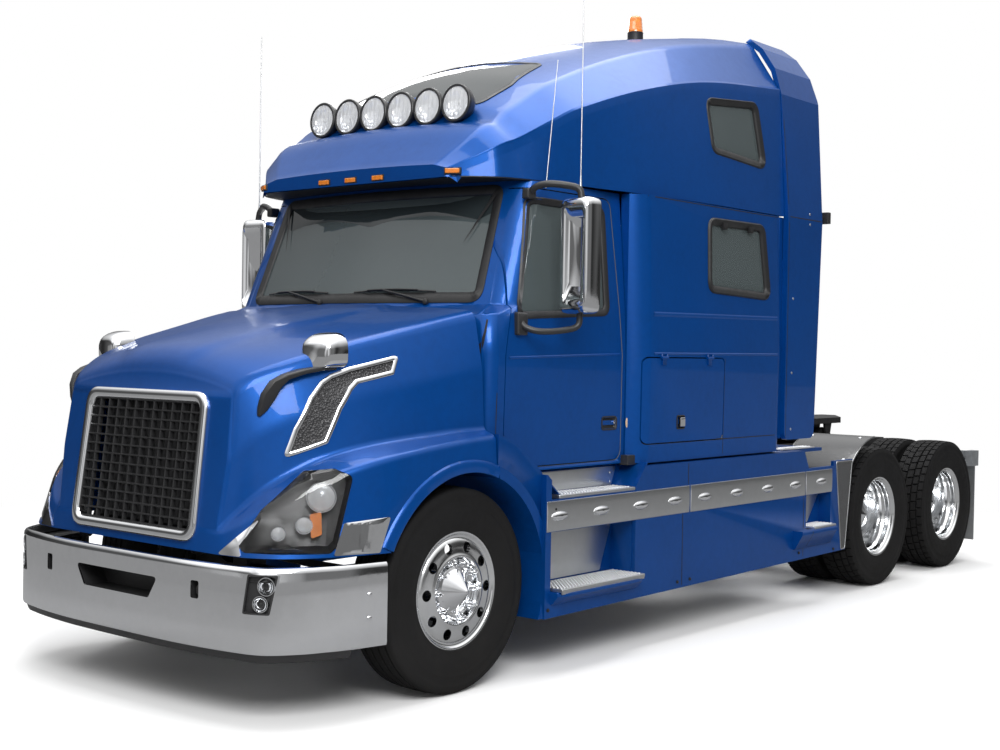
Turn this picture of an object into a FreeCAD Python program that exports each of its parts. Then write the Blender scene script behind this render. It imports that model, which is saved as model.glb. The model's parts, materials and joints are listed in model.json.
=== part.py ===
"""Semi truck tractor unit: a conventional tractor with a tilting hood, a raised
roof sleeper cab and two drive axles with twin wheels.

The truck is drawn with X across (the truck's left is positive), Y towards the
rear from the front axle and Z up from the ground. Every piece is moved along Y
when it is saved, so that the origin lies on the ground below the middle of the
whole truck. All sizes are in millimetres.
"""
import FreeCAD
import Part
import math
import os

V = FreeCAD.Vector
AXIS_X = V(1, 0, 0)
AXIS_Y = V(0, 1, 0)
AXIS_Z = V(0, 0, 1)

# Wheels and axles
tyre_radius = 518.0
tyre_width = 276.0
tyre_sides = 36
rim_flange = 9.0
rim_setback = 24.0
rim_radius = 298.0
bead_radius = 272.0
front_wheel_x = 1026.0
twin_outer_x = 1082.0
twin_spacing = 328.0
wheelbase = 5348.0
tandem_spacing = 1273.0
kingpin_x = 858.0
kingpin_radius = 22.0
hub_bore = 62.0
stud_circle = 142.0
hand_hole_circle = 222.0
hand_hole_radius = 28.0
drive_hole_circle = 196.0
drive_hole_radius = 22.0
steer_arm_y = 190.0
tie_rod_z = 362.0
tie_rod_radius = 19.0
rod_eye_radius = 24.0
ball_radius = 11.0
ball_clearance = 0.6
pivot_clearance = 0.4
running_clearance = 6.0
journal_gap = 0.3

# Ladder frame
rail_half_spacing = 430.0
rail_height = 270.0
rail_flange = 88.0
rail_thickness = 9.0
rail_top = 1010.0
frame_front = -1010.0
frame_rear = 6450.0

# Hood, bumper and front
hood_wall = 30.0
hood_rear = 246.0
hood_bottom = 762.0
hood_hinge_y = -1070.0
hood_hinge_z = 752.0
hood_hinge_x = 470.0
hood_pin_radius = 14.0
horn_nose = 18.0
hood_half_width = 1186.0
fender_shoulder_z = 1192.0
fender_rear_z = 1292.0
fascia_front = -1128.0
fascia_half_width = 640.0
fascia_top = 1486.0
arch_radius = 592.0
arch_y = 34.0
arch_lip_width = 58.0
arch_lip_stand = 12.0
tail_radius = 805.0
tail_sheet = 22.0
tail_clearance = 34.0
grille_half_width = 452.0
grille_low = 846.0
grille_high = 1452.0
grille_rim = 52.0
grille_tilt = 7.2
grille_frame_depth = 30.0
grille_columns = 12
grille_rows = 10
grille_bar = 13.0
grille_lip = 8.0
bumper_low = 332.0
bumper_high = 732.0
bumper_nose = -1226.0
bumper_end = -546.0
bumper_half_width = 1206.0
bumper_sheet = 7.0
bracket_top = 682.0

# Cab and sleeper
cab_wall = 56.0
cab_floor = 1078.0
floor_sheet = 32.0
cowl_front = 262.0
cowl_z = 1902.0
seat_gap = 0.3
crease_z = 1702.0
belt_z = 1962.0
roof_seam = 2642.0
cab_side = 1098.0
cab_side_top = 1036.0
sleeper_side = 1200.0
sleeper_side_top = 1176.0
sleeper_front = 1496.0
sleeper_rear = 3204.0
panel_gap = 7.0
door_hinge_x = 1114.0
door_hinge_y = 424.0
door_rear = 1452.0
door_bottom = 1104.0
door_top = 2596.0
glass_sheet = 6.0
windshield_inset = 10.0
window_inset = 14.0
glass_gap = 0.4
baggage_front = 1560.0
baggage_rear = 2430.0
baggage_low = 1190.0
baggage_high = 1690.0
baggage_hinge_x = sleeper_side + 9.0
baggage_hinge_z = baggage_high + panel_gap / 2.0
roof_wall = 34.0
extender_rear = 3700.0
extender_low = 1150.0
extender_sheet = 36.0

# Side fairings and steps
fairing_x = 1220.0
fairing_sheet = 22.0
fairing_front = 612.0
fairing_rear = 3480.0
guard_foot = 4114.0
guard_rear = 4212.0
guard_high = 975.0
fairing_low = 300.0
step_depth = 190.0
fairing_high = 1066.0
step_front = 640.0
step_rear = 1450.0
step_low_z = 440.0
step_high_z = 930.0
rear_step_front = 3515.0
rear_step_rear = 3880.0
rear_step_low = 530.0
rear_well_depth = 92.0
step_out = 1296.0
tread_sheet = 22.0
trim_low = 758.0
trim_high = 925.0
trim_sheet = 6.0
trim_seam = 2024.0
trim_rear = 3890.0

# Fifth wheel, rear end and lamps
fifth_wheel_y = 5330.0
fifth_wheel_top = 1212.0
fifth_plate = 46.0
fifth_half_width = 480.0
kingpin_throat = 25.8
fifth_pin_z = 1102.0
fifth_pin_radius = 22.0
mudflap_y = 6548.0
mudflap_low = 172.0
mudflap_sheet = 10.0
lamp_pitch = 216.0
lamp_count = 6
lamp_radius = 108.0
lamp_y = 632.0
lamp_z = 3096.0
beacon_radius = 62.0
mirror_x = 1308.0
mirror_y = 762.0
mirror_low = 1919.0
mirror_high = 2543.0
mirror_width = 214.0
mirror_depth = 112.0
antenna_top = 3722.0
handle_depth = 14.0
work_lamp_radius = 42.0
work_lamp_z = 2680.0

rear_end = mudflap_y + 76.0
origin_y = (bumper_nose + rear_end) / 2.0
twin_inner_x = twin_outer_x - twin_spacing
first_drive_y = wheelbase - tandem_spacing / 2.0
second_drive_y = wheelbase + tandem_spacing / 2.0


def box(x0, x1, y0, y1, z0, z1):
    """Block between two corners."""
    return Part.makeBox(x1 - x0, y1 - y0, z1 - z0, V(x0, y0, z0))


def rod(start, axis, radius, length):
    """Round bar from a start point along an axis."""
    return Part.makeCylinder(radius, length, V(*start), axis)


def tube(start, axis, outer, inner, length):
    """Hollow round bar."""
    return rod(start, axis, outer, length).cut(rod(start, axis, inner, length))


def polygon(points):
    """Closed wire through points."""
    return Part.makePolygon(points + [points[0]])


def prism_x(points, x0, x1):
    """Side outline of (y, z) points, pushed from x0 to x1."""
    face = Part.Face(polygon([V(x0, y, z) for y, z in points]))
    return face.extrude(V(x1 - x0, 0, 0))


def prism_y(points, y0, y1):
    """Front outline of (x, z) points, pushed from y0 to y1."""
    face = Part.Face(polygon([V(x, y0, z) for x, z in points]))
    return face.extrude(V(0, y1 - y0, 0))


def prism_z(points, z0, z1):
    """Plan outline of (x, y) points, pushed from z0 to z1."""
    face = Part.Face(polygon([V(x, y, z0) for x, y in points]))
    return face.extrude(V(0, 0, z1 - z0))


def rounded(points, radius):
    """Closed wire through points with each corner rounded to one radius."""
    edges = []
    last = None
    first = None
    count = len(points)
    for index in range(count):
        corner = points[index]
        back = (points[index - 1] - corner).normalize()
        ahead = (points[(index + 1) % count] - corner).normalize()
        half = back.getAngle(ahead) / 2.0
        cut = radius / math.tan(half)
        start = corner + back * cut
        end = corner + ahead * cut
        inward = (back + ahead).normalize()
        middle = corner + inward * (radius / math.sin(half) - radius)
        if last is not None:
            edges.append(Part.makeLine(last, start))
        else:
            first = start
        edges.append(Part.Arc(start, middle, end).toShape())
        last = end
    edges.append(Part.makeLine(last, first))
    return Part.Wire(edges)


def rounded_x(points, radius, x0, x1):
    """Side outline with rounded corners, pushed from x0 to x1."""
    wire = rounded([V(x0, y, z) for y, z in points], radius)
    return Part.Face(wire).extrude(V(x1 - x0, 0, 0))


def rounded_y(points, radius, y0, y1):
    """Front outline with rounded corners, pushed from y0 to y1."""
    wire = rounded([V(x, y0, z) for x, z in points], radius)
    return Part.Face(wire).extrude(V(0, y1 - y0, 0))


def rounded_z(points, radius, z0, z1):
    """Plan outline with rounded corners, pushed from z0 to z1."""
    wire = rounded([V(x, y, z0) for x, y in points], radius)
    return Part.Face(wire).extrude(V(0, 0, z1 - z0))


def shrink(points, amount):
    """Outline with every side moved inwards by an amount, or outwards if it is negative."""
    area = 0.0
    count = len(points)
    for index in range(count):
        u0, w0 = points[index]
        u1, w1 = points[(index + 1) % count]
        area += u0 * w1 - u1 * w0
    turn = 1.0 if area > 0 else -1.0
    lines = []
    for index in range(count):
        u0, w0 = points[index]
        u1, w1 = points[(index + 1) % count]
        length = math.hypot(u1 - u0, w1 - w0)
        nu = -(w1 - w0) / length * turn
        nw = (u1 - u0) / length * turn
        lines.append((nu, nw, nu * u0 + nw * w0 + amount))
    moved = []
    for index in range(count):
        a0, b0, c0 = lines[index - 1]
        a1, b1, c1 = lines[index]
        det = a0 * b1 - a1 * b0
        moved.append(((c0 * b1 - c1 * b0) / det, (a0 * c1 - a1 * c0) / det))
    return moved


def revolve_x(points, y, z):
    """Solid turned about a line along X, from (x, radius) points."""
    face = Part.Face(polygon([V(x, y, z + r) for x, r in points]))
    return face.revolve(V(0, y, z), AXIS_X, 360)


def both_sides(shape):
    """The shape and its mirror image across the middle of the truck."""
    return [shape, shape.mirror(V(0, 0, 0), AXIS_X)]


def mirrored(shape):
    """The shape as it is on the truck's right side."""
    return shape.mirror(V(0, 0, 0), AXIS_X)


def join(shapes):
    """One solid from pieces that meet."""
    return shapes[0].multiFuse(shapes[1:]).removeSplitter()


def bar_between(start, end, radius):
    """Round bar from one point to another."""
    a = V(*start)
    b = V(*end)
    return Part.makeCylinder(radius, (b - a).Length, a, b - a)


def bent_bar(points, radius):
    """Round bar through points with a ball at each bend."""
    pieces = []
    for index in range(len(points) - 1):
        pieces.append(bar_between(points[index], points[index + 1], radius))
    for point in points[1:-1]:
        pieces.append(Part.makeSphere(radius, V(*point)))
    return join(pieces)


# Ladder frame and running gear

def frame_rail():
    """Left channel rail with its open side towards the middle."""
    outer = rail_half_spacing
    inner = outer - rail_thickness
    low = rail_top - rail_height
    web = box(inner, outer, frame_front, frame_rear, low, rail_top)
    flange_in = outer - rail_flange
    top = box(flange_in, outer, frame_front, frame_rear, rail_top - rail_thickness, rail_top)
    bottom = box(flange_in, outer, frame_front, frame_rear, low, low + rail_thickness)
    return join([web, top, bottom])


crossmember_places = [frame_front + 60.0, 1640.0, 2900.0, 4130.0, fifth_wheel_y + 18.0, frame_rear - 70.0]
crossmember_half_depth = 50.0
shaft_passage = 96.0


def ladder_frame():
    """Two rails joined by crossmembers, with the hood pivots at the front."""
    rail = frame_rail()
    pieces = both_sides(rail)
    reach = rail_half_spacing - rail_thickness / 2.0
    low = rail_top - rail_height + rail_thickness
    high = rail_top - rail_thickness
    for place in crossmember_places:
        y0 = place - crossmember_half_depth
        y1 = place + crossmember_half_depth
        web = box(-reach, reach, y0, y0 + rail_thickness, low, high)
        if place != crossmember_places[-1]:
            web = web.cut(box(-shaft_passage, shaft_passage, y0 - 5.0, y1, low - 5.0, high - 40.0))
        pieces.append(web)
        pieces.append(box(-reach, reach, y0, y1, high - rail_thickness, high))
    horn = [(frame_front, rail_top - rail_height + 40.0), (hood_hinge_y, hood_hinge_z - horn_nose)]
    horn += [(hood_hinge_y - horn_nose, hood_hinge_z - 8.0), (hood_hinge_y - horn_nose, hood_hinge_z + 8.0)]
    horn += [(hood_hinge_y, hood_hinge_z + horn_nose + 4.0), (frame_front, rail_top - 60.0)]
    horn += [(frame_front + 120.0, rail_top - 60.0), (frame_front + 120.0, rail_top - rail_height + 40.0)]
    plate = prism_x(horn, rail_half_spacing - rail_thickness, rail_half_spacing + 6.0)
    pin = rod((rail_half_spacing, hood_hinge_y, hood_hinge_z), AXIS_X, hood_pin_radius,
              hood_hinge_x + 22.0 - rail_half_spacing)
    pieces += both_sides(plate)
    pieces += both_sides(pin)
    return join(pieces)


axle_z = tyre_radius
engine_low = rail_top - 235.0


def cab_mounts():
    """Mounting blocks between the rails and the cab and sleeper floors."""
    blocks = []
    for y in (560.0, 1300.0, 1700.0, 3060.0):
        blocks.append(box(rail_half_spacing - rail_flange + 4.0, rail_half_spacing, y - 45.0, y + 45.0,
                          rail_top + seat_gap, cab_floor - seat_gap))
    left = Part.makeCompound(blocks)
    return Part.makeCompound(both_sides(left))


def engine():
    """Engine and gearbox as plain blocks at their real place."""
    block = box(-300.0, 300.0, -590.0, cowl_front - 12.0, engine_low, 1500.0)
    bell = box(-250.0, 250.0, cowl_front - 12.0, 620.0, engine_low, 1060.0)
    gearbox = box(-190.0, 190.0, 620.0, gearbox_rear, engine_low + 20.0, 1050.0)
    mount = box(-rail_half_spacing + rail_thickness, rail_half_spacing - rail_thickness,
                -120.0, -20.0, 880.0, 960.0)
    return join([block, bell, gearbox, mount])


fan_z = 1190.0


def radiator():
    """Radiator core with its tanks and the fan behind it."""
    core = box(-420.0, 420.0, -900.0, -800.0, rail_top + seat_gap, 1500.0)
    lower = box(-330.0, 330.0, -900.0 + seat_gap, -800.0, 800.0, rail_top + 10.0)
    tanks = box(-440.0, 440.0, -915.0, -785.0, 1480.0, 1550.0)
    shroud = tube((0.0, -800.0, fan_z), AXIS_Y, 320.0, 296.0, 90.0)
    hub = rod((0.0, -800.0, fan_z), AXIS_Y, 60.0, 800.0 - 590.0 - seat_gap)
    blades = []
    for index in range(8):
        blade = box(30.0, 286.0, -770.0, -758.0, fan_z - 40.0, fan_z + 40.0)
        blade.rotate(V(0, 0, fan_z), AXIS_Y, index * 45.0)
        blades.append(blade)
    return join([core, lower, tanks, shroud, hub] + blades)


spring_half = 45.0
spring_half_length = 690.0
front_beam_low = 372.0
beam_eye_radius = 45.0
beam_eye_height = 120.0
knuckle_reach = 112.0
knuckle_gap = 2.0
arm_drop = 124.0
arm_sheet = 28.0


def front_axle():
    """Drop centre beam with leaf springs and their hangers."""
    eye = beam_eye_height / 2.0
    beam = [(-kingpin_x, axle_z - eye), (-kingpin_x + 60.0, axle_z - eye)]
    beam += [(-620.0, front_beam_low), (620.0, front_beam_low)]
    beam += [(kingpin_x - 60.0, axle_z - eye), (kingpin_x, axle_z - eye)]
    beam += [(kingpin_x, axle_z + eye), (kingpin_x - 70.0, axle_z + eye)]
    beam += [(600.0, front_beam_low + 105.0), (-600.0, front_beam_low + 105.0)]
    beam += [(-kingpin_x + 70.0, axle_z + eye), (-kingpin_x, axle_z + eye)]
    body = prism_y(beam, -beam_eye_radius, beam_eye_radius)
    pins = []
    for side in (-1, 1):
        pins.append(rod((side * kingpin_x, 0.0, axle_z - eye), AXIS_Z, beam_eye_radius, beam_eye_height))
        pins.append(rod((side * kingpin_x, 0.0, axle_z - knuckle_reach), AXIS_Z, kingpin_radius, 2 * knuckle_reach))
    springs = []
    seat_z = front_beam_low + 105.0
    for side in (-1, 1):
        middle = side * (rail_half_spacing + 12.0)
        leaf = [(-spring_half_length, 690.0), (0.0, seat_z + 24.0), (spring_half_length, 690.0)]
        leaf += [(spring_half_length, 712.0), (0.0, seat_z + 80.0), (-spring_half_length, 712.0)]
        springs.append(prism_x(leaf, middle - spring_half, middle + spring_half))
        springs.append(box(middle - 60.0, middle + 60.0, -70.0, 70.0, seat_z - 6.0, seat_z + 90.0))
        for end in (-spring_half_length, spring_half_length):
            springs.append(box(side * rail_half_spacing - 30.0 + 30.0 * side,
                               side * rail_half_spacing + 30.0 + 30.0 * side,
                               end - 40.0, end + 40.0, 680.0, 860.0))
    return join([body] + pins + springs)


hub_face_x = 1000.0
spindle_end = 1098.0


def knuckle():
    """Left steering knuckle with its spindle and steering arm."""
    eye = beam_eye_height / 2.0 + knuckle_gap
    boss_height = knuckle_reach - eye
    bore = kingpin_radius + pivot_clearance
    boss_high = rod((kingpin_x, 0.0, axle_z + eye), AXIS_Z, 48.0, boss_height)
    boss_low = rod((kingpin_x, 0.0, axle_z - arm_drop), AXIS_Z, 48.0, arm_drop - eye)
    plate_x = kingpin_x + beam_eye_radius + 9.0
    plate = box(plate_x, plate_x + 30.0, -70.0, 70.0, axle_z - knuckle_reach, axle_z + knuckle_reach)
    web_high = box(kingpin_x + 30.0, plate_x + 30.0, -36.0, 36.0, axle_z + eye, axle_z + knuckle_reach)
    web_low = box(kingpin_x + 30.0, plate_x + 30.0, -36.0, 36.0, axle_z - knuckle_reach, axle_z - eye)
    spindle = rod((plate_x + 10.0, 0.0, axle_z), AXIS_X, hub_bore - running_clearance, spindle_end - plate_x - 10.0)
    journal = rod((hub_face_x, 0.0, axle_z), AXIS_X, hub_bore - journal_gap, 60.0)
    arm = prism_z([(kingpin_x - 30.0, 20.0), (kingpin_x + 30.0, 20.0), (kingpin_x + 26.0, steer_arm_y + 26.0),
                   (kingpin_x - 26.0, steer_arm_y + 26.0)], axle_z - arm_drop, axle_z - arm_drop + arm_sheet)
    body = join([boss_high, boss_low, plate, web_high, web_low, spindle, journal, arm])
    body = body.cut(rod((kingpin_x, 0.0, axle_z - 200.0), AXIS_Z, bore, 400.0))
    ball_low = tie_rod_z - 30.0
    ball = rod((kingpin_x, steer_arm_y, ball_low), AXIS_Z, ball_radius, axle_z - arm_drop + 4.0 - ball_low)
    return join([body, ball])


def tie_rod():
    """Tie rod behind the axle from the left steering arm to the right one."""
    reach = kingpin_x
    bar = rod((-reach + 40.0, steer_arm_y, tie_rod_z), AXIS_X, tie_rod_radius, 2 * reach - 80.0)
    eyes = []
    for side in (-1, 1):
        eye = rod((side * reach, steer_arm_y, tie_rod_z - 22.0), AXIS_Z, rod_eye_radius, 44.0)
        neck = box(min(side * reach, side * (reach - 50.0)), max(side * reach, side * (reach - 50.0)),
                   steer_arm_y - 14.0, steer_arm_y + 14.0, tie_rod_z - 14.0, tie_rod_z + 14.0)
        eyes += [eye, neck]
    body = join([bar] + eyes)
    for side in (-1, 1):
        hole = rod((side * reach, steer_arm_y, tie_rod_z - 40.0), AXIS_Z, ball_radius + ball_clearance, 90.0)
        body = body.cut(hole)
    return body


def many_sided_ring(profile, y, z, sides):
    """Ring of flat facets about a line along X, with a facet at its lowest point."""
    step = 2.0 * math.pi / sides
    stretch = 1.0 / math.cos(step / 2.0)
    rings = []
    for index in range(sides):
        angle = (index + 0.5) * step - math.pi / 2.0
        c = math.cos(angle) * stretch
        s = math.sin(angle) * stretch
        rings.append([V(x, y + r * c, z + r * s) for x, r in profile])
    faces = []
    count = len(profile)
    for index in range(sides):
        ahead = rings[(index + 1) % sides]
        here = rings[index]
        for k in range(count):
            n = (k + 1) % count
            faces.append(Part.Face(polygon([here[k], here[n], ahead[n], ahead[k]])))
    solid = Part.Solid(Part.Shell(faces))
    if solid.Volume < 0:
        solid.reverse()
    return solid


def tyre(middle_x, y):
    """Tyre with bevelled shoulders and bulged sides, in flat facets all round."""
    half = tyre_width / 2.0
    bead = half - rim_setback - rim_flange - 11.0
    outline = [(-bead, bead_radius + 2.0), (-half + 1.0, rim_radius + 74.0), (-half + 4.0, tyre_radius - 48.0)]
    outline.append((-half + 34.0, tyre_radius))
    outline += [(-x, r) for x, r in reversed(outline)]
    return many_sided_ring([(middle_x + x, r) for x, r in outline], y, axle_z, tyre_sides)


def front_rim():
    """Left front disc wheel with hand holes, hub and hub cover."""
    face = front_wheel_x + tyre_width / 2.0 - rim_setback
    back = front_wheel_x - tyre_width / 2.0 + rim_setback
    profile = [(back, bead_radius), (back, rim_radius), (back + rim_flange, rim_radius), (back + 16.0, bead_radius + 1.0)]
    profile += [(face - 16.0, bead_radius + 1.0), (face - rim_flange, rim_radius), (face, rim_radius)]
    profile += [(face, bead_radius - 10.0), (face - 26.0, bead_radius - 22.0), (face + 2.0, 216.0)]
    profile += [(face + 8.0, 176.0), (face - 30.0, 160.0), (face - 30.0, hub_bore), (face - 46.0, hub_bore)]
    profile += [(face - 46.0, 182.0), (face - 14.0, 206.0), (face - 48.0, bead_radius - 30.0)]
    profile += [(back + 20.0, bead_radius - 14.0)]
    disc = revolve_x(profile, 0.0, axle_z)
    for index in range(10):
        angle = math.radians(36.0 * index)
        y = hand_hole_circle * math.cos(angle)
        z = axle_z + hand_hole_circle * math.sin(angle)
        disc = disc.cut(rod((face - 80.0, y, z), AXIS_X, hand_hole_radius, 120.0))
    hub = revolve_x([(kingpin_x + 92.0, hub_bore), (kingpin_x + 92.0, 150.0), (kingpin_x + 130.0, 168.0),
                     (face - 46.0, 168.0), (face - 46.0, hub_bore)], 0.0, axle_z)
    cover = revolve_x([(face - 30.0, 0.0), (face - 30.0, 122.0), (face - 12.0, 118.0), (face - 8.0, 108.0),
                       (face + 74.0, 8.0), (face + 76.0, 0.0)], 0.0, axle_z)
    nuts = []
    for index in range(10):
        angle = math.radians(36.0 * index + 18.0)
        y = stud_circle * math.cos(angle)
        z = axle_z + stud_circle * math.sin(angle)
        nut = Part.makeCone(17.0, 5.0, 72.0, V(face - 32.0, y, z), AXIS_X)
        nuts.append(nut)
    return join([disc, hub, cover] + nuts)


def drive_rim():
    """Left pair of twin rims with their hub and axle end cap."""
    outer_face = twin_outer_x + tyre_width / 2.0 - rim_setback
    outer_back = twin_outer_x - tyre_width / 2.0 + rim_setback
    inner_face = twin_inner_x + tyre_width / 2.0 - rim_setback
    inner_back = twin_inner_x - tyre_width / 2.0 + rim_setback
    mount = (outer_back + inner_face) / 2.0
    outer = [(outer_back, bead_radius), (outer_back, rim_radius), (outer_back + rim_flange, rim_radius)]
    outer += [(outer_back + 16.0, bead_radius + 1.0), (outer_face - 16.0, bead_radius + 1.0)]
    outer += [(outer_face - rim_flange, rim_radius), (outer_face, rim_radius), (outer_face, bead_radius - 10.0)]
    outer += [(outer_face - 110.0, bead_radius - 40.0), (mount + 34.0, 208.0), (mount + 10.0, 170.0)]
    outer += [(mount + 10.0, 108.0), (mount, 108.0), (mount, 180.0), (mount + 20.0, 214.0)]
    outer += [(outer_back + 20.0, bead_radius - 22.0)]
    disc = revolve_x(outer, 0.0, axle_z)
    inner = [(2 * mount - x, r) for x, r in outer]
    inner = revolve_x(inner, 0.0, axle_z)
    for index in range(10):
        angle = math.radians(36.0 * index)
        y = drive_hole_circle * math.cos(angle)
        z = axle_z + drive_hole_circle * math.sin(angle)
        hole = rod((mount - 90.0, y, z), AXIS_X, drive_hole_radius, 180.0)
        disc = disc.cut(hole)
        inner = inner.cut(hole)
    hub = revolve_x([(inner_back + 40.0, drive_hub_bore), (inner_back + 40.0, 104.0), (mount + 10.0, 104.0),
                     (mount + 10.0, 109.0), (mount + 60.0, 109.0), (mount + 150.0, 96.0),
                     (mount + 150.0, 0.0), (mount + 120.0, 0.0), (mount + 120.0, drive_hub_bore)], 0.0, axle_z)
    flange = revolve_x([(mount - 10.0, 100.0), (mount - 10.0, 172.0), (mount, 172.0), (mount, 100.0)], 0.0, axle_z)
    cap = revolve_x([(mount + 150.0, 0.0), (mount + 150.0, 78.0), (mount + 172.0, 62.0), (mount + 182.0, 0.0)],
                    0.0, axle_z)
    nuts = []
    for index in range(10):
        angle = math.radians(36.0 * index + 18.0)
        y = stud_circle * math.cos(angle)
        z = axle_z + stud_circle * math.sin(angle)
        nuts.append(rod((mount + 6.0, y, z), AXIS_X, 17.0, 34.0))
    return join([disc, inner, hub, flange, cap] + nuts)


drive_hub_bore = 84.0
drive_axle_half = 950.0
shaft_radius = 52.0
gearbox_rear = 1390.0


def drive_axles():
    """Two driven axle housings with their differentials and the shafts to them."""
    pieces = []
    tube_radius = drive_hub_bore - running_clearance
    for y in (first_drive_y, second_drive_y):
        journal = drive_hub_bore - journal_gap
        half = [(drive_axle_half, 0.0), (drive_axle_half, tube_radius), (drive_axle_half - 40.0, tube_radius)]
        half += [(drive_axle_half - 40.0, journal), (drive_axle_half - 90.0, journal)]
        half += [(drive_axle_half - 90.0, tube_radius), (330.0, tube_radius), (150.0, 178.0), (60.0, 200.0)]
        outline = half + [(-x, r) for x, r in reversed(half)]
        pieces.append(revolve_x(outline, y, axle_z))
        pieces.append(rod((0.0, y - 270.0, axle_z + 40.0), AXIS_Y, 92.0, 240.0))
    pieces.append(rod((0.0, first_drive_y, axle_z + 60.0), AXIS_Y, 44.0, tandem_spacing - 240.0))
    nose = V(0.0, first_drive_y - 262.0, axle_z + 40.0)
    tail = V(0.0, gearbox_rear + 30.0, 890.0)
    pieces.append(Part.makeCylinder(shaft_radius, (tail - nose).Length, nose, tail - nose))
    pieces.append(rod((0.0, gearbox_rear + seat_gap, 890.0), AXIS_Y, shaft_radius + 10.0, 60.0))
    return join(pieces)


arm_low = 614.0
saddle_low = axle_z + drive_hub_bore - running_clearance + seat_gap


def drive_suspension():
    """Trailing arms, air springs and hangers of the two drive axles."""
    pieces = []
    for side in (-1, 1):
        middle = side * (rail_half_spacing + 52.0)
        for y in (first_drive_y, second_drive_y):
            arm = [(y - 470.0, 640.0), (y - 60.0, arm_low), (y + 60.0, arm_low), (y + 330.0, 470.0)]
            arm += [(y + 330.0, 500.0), (y + 60.0, 690.0), (y - 470.0, 690.0)]
            pieces.append(prism_x(arm, middle - 40.0, middle + 40.0))
            pieces.append(box(middle - 40.0, middle + 40.0, y - 50.0, y + 50.0, saddle_low, arm_low))
            inner = side * rail_half_spacing
            lo = min(inner, middle + side * 50.0)
            hi = max(inner, middle + side * 50.0)
            pieces.append(box(lo, hi, y - 530.0, y - 430.0, 610.0, 950.0))
            bag_x = side * (rail_half_spacing - 60.0)
            low_z = 492.0
            beam = box(min(bag_x - side * 60.0, middle), max(bag_x - side * 60.0, middle),
                       y + 262.0, y + 330.0, low_z - 30.0, low_z + 8.0)
            pieces.append(beam)
            pieces.append(rod((bag_x, y + 296.0, low_z), AXIS_Z, 84.0, rail_top - rail_height - low_z - 0.3))
    return join(pieces)


def fuel_tanks():
    """Round tanks hung outside the rails on straps."""
    tank = rod((0.0, 2130.0, 0.0), AXIS_Y, 305.0, 1450.0)
    tank = tank.makeFillet(40.0, tank.Edges)
    tank.translate(V(rail_half_spacing + 345.0, 0.0, 640.0))
    bracket = []
    for y in (2380.0, 3260.0):
        bracket.append(box(rail_half_spacing + 0.3, rail_half_spacing + 72.0, y, y + 70.0, 560.0, 960.0))
        bracket.append(tube((rail_half_spacing + 345.0, y + 10.0, 640.0), AXIS_Y, 309.0, 300.0, 50.0))
    left = join([tank] + bracket)
    return Part.makeCompound(both_sides(left))


# Cab, sleeper and roof

def arc_edge(start, middle, end):
    """Arc through three points."""
    return Part.Arc(start, middle, end).toShape()


def bulged(start, end, share, away):
    """Arc between two points that stands out from the chord, away from a point."""
    chord = end - start
    middle = (start + end) * 0.5
    outward = V(-chord.y, chord.x, 0).normalize()
    if outward.dot(middle - away) < 0:
        outward = outward * -1
    return arc_edge(start, middle + outward * (chord.Length * share), end)


def cab_level(z, nose_y, corner, side_x, side_y, rear_y, inset):
    """Plan outline of the cab at one height."""
    heart = V(0, rear_y, z)
    nose = V(0, nose_y + inset, z)
    right_corner = V(-corner[0] + 0.6 * inset, corner[1] + inset, z)
    left_corner = V(corner[0] - 0.6 * inset, corner[1] + inset, z)
    right_side = V(-side_x + inset, side_y + 0.6 * inset, z)
    left_side = V(side_x - inset, side_y + 0.6 * inset, z)
    right_rear = V(-side_x + inset, rear_y, z)
    left_rear = V(side_x - inset, rear_y, z)
    edges = [Part.makeLine(right_rear, right_side), bulged(right_side, right_corner, 0.16, heart)]
    edges += [arc_edge(right_corner, nose, left_corner), bulged(left_corner, left_side, 0.16, heart)]
    edges += [Part.makeLine(left_side, left_rear), Part.makeLine(left_rear, right_rear)]
    return Part.Wire(edges)


def cab_form(inset, low, rear_y):
    """Solid form of the cab, or of the space inside it."""
    top = roof_seam - seat_gap
    cowl = (1030.0, cowl_front + 12.0)
    levels = [cab_level(low, cowl_front, cowl, cab_side, cowl_front + 80.0, rear_y, inset)]
    levels += [cab_level(crease_z, cowl_front, cowl, cab_side + 4.0, cowl_front + 80.0, rear_y, inset)]
    levels += [cab_level(cowl_z, cowl_front, cowl, cab_side - 4.0, cowl_front + 80.0, rear_y, inset)]
    levels += [cab_level(belt_z, 304.0, (968.0, 412.0), cab_side - 8.0, 520.0, rear_y, inset)]
    levels += [cab_level(top, 560.0, (912.0, 662.0), cab_side_top, 772.0, rear_y, inset)]
    pieces = []
    for index in range(len(levels) - 1):
        pieces.append(Part.makeLoft([levels[index], levels[index + 1]], True, True))
    return join(pieces)


def door_outline(grow):
    """Side outline of the door, grown all round."""
    points = [(594.0, door_top), (404.0, crease_z), (394.0, door_bottom), (door_rear, door_bottom)]
    points += [(door_rear, crease_z), (1384.0, door_top)]
    return shrink(points, -grow)


window_corner = 58.0


def door_window(grow):
    """Side outline of the door window."""
    return shrink([(668.0, 2540.0), (500.0, 1900.0), (1322.0, 1940.0), (1318.0, 2540.0)], -grow)


windshield_outline = [(-902.0, 1988.0), (902.0, 1988.0), (858.0, 2606.0), (-858.0, 2606.0)]


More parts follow.
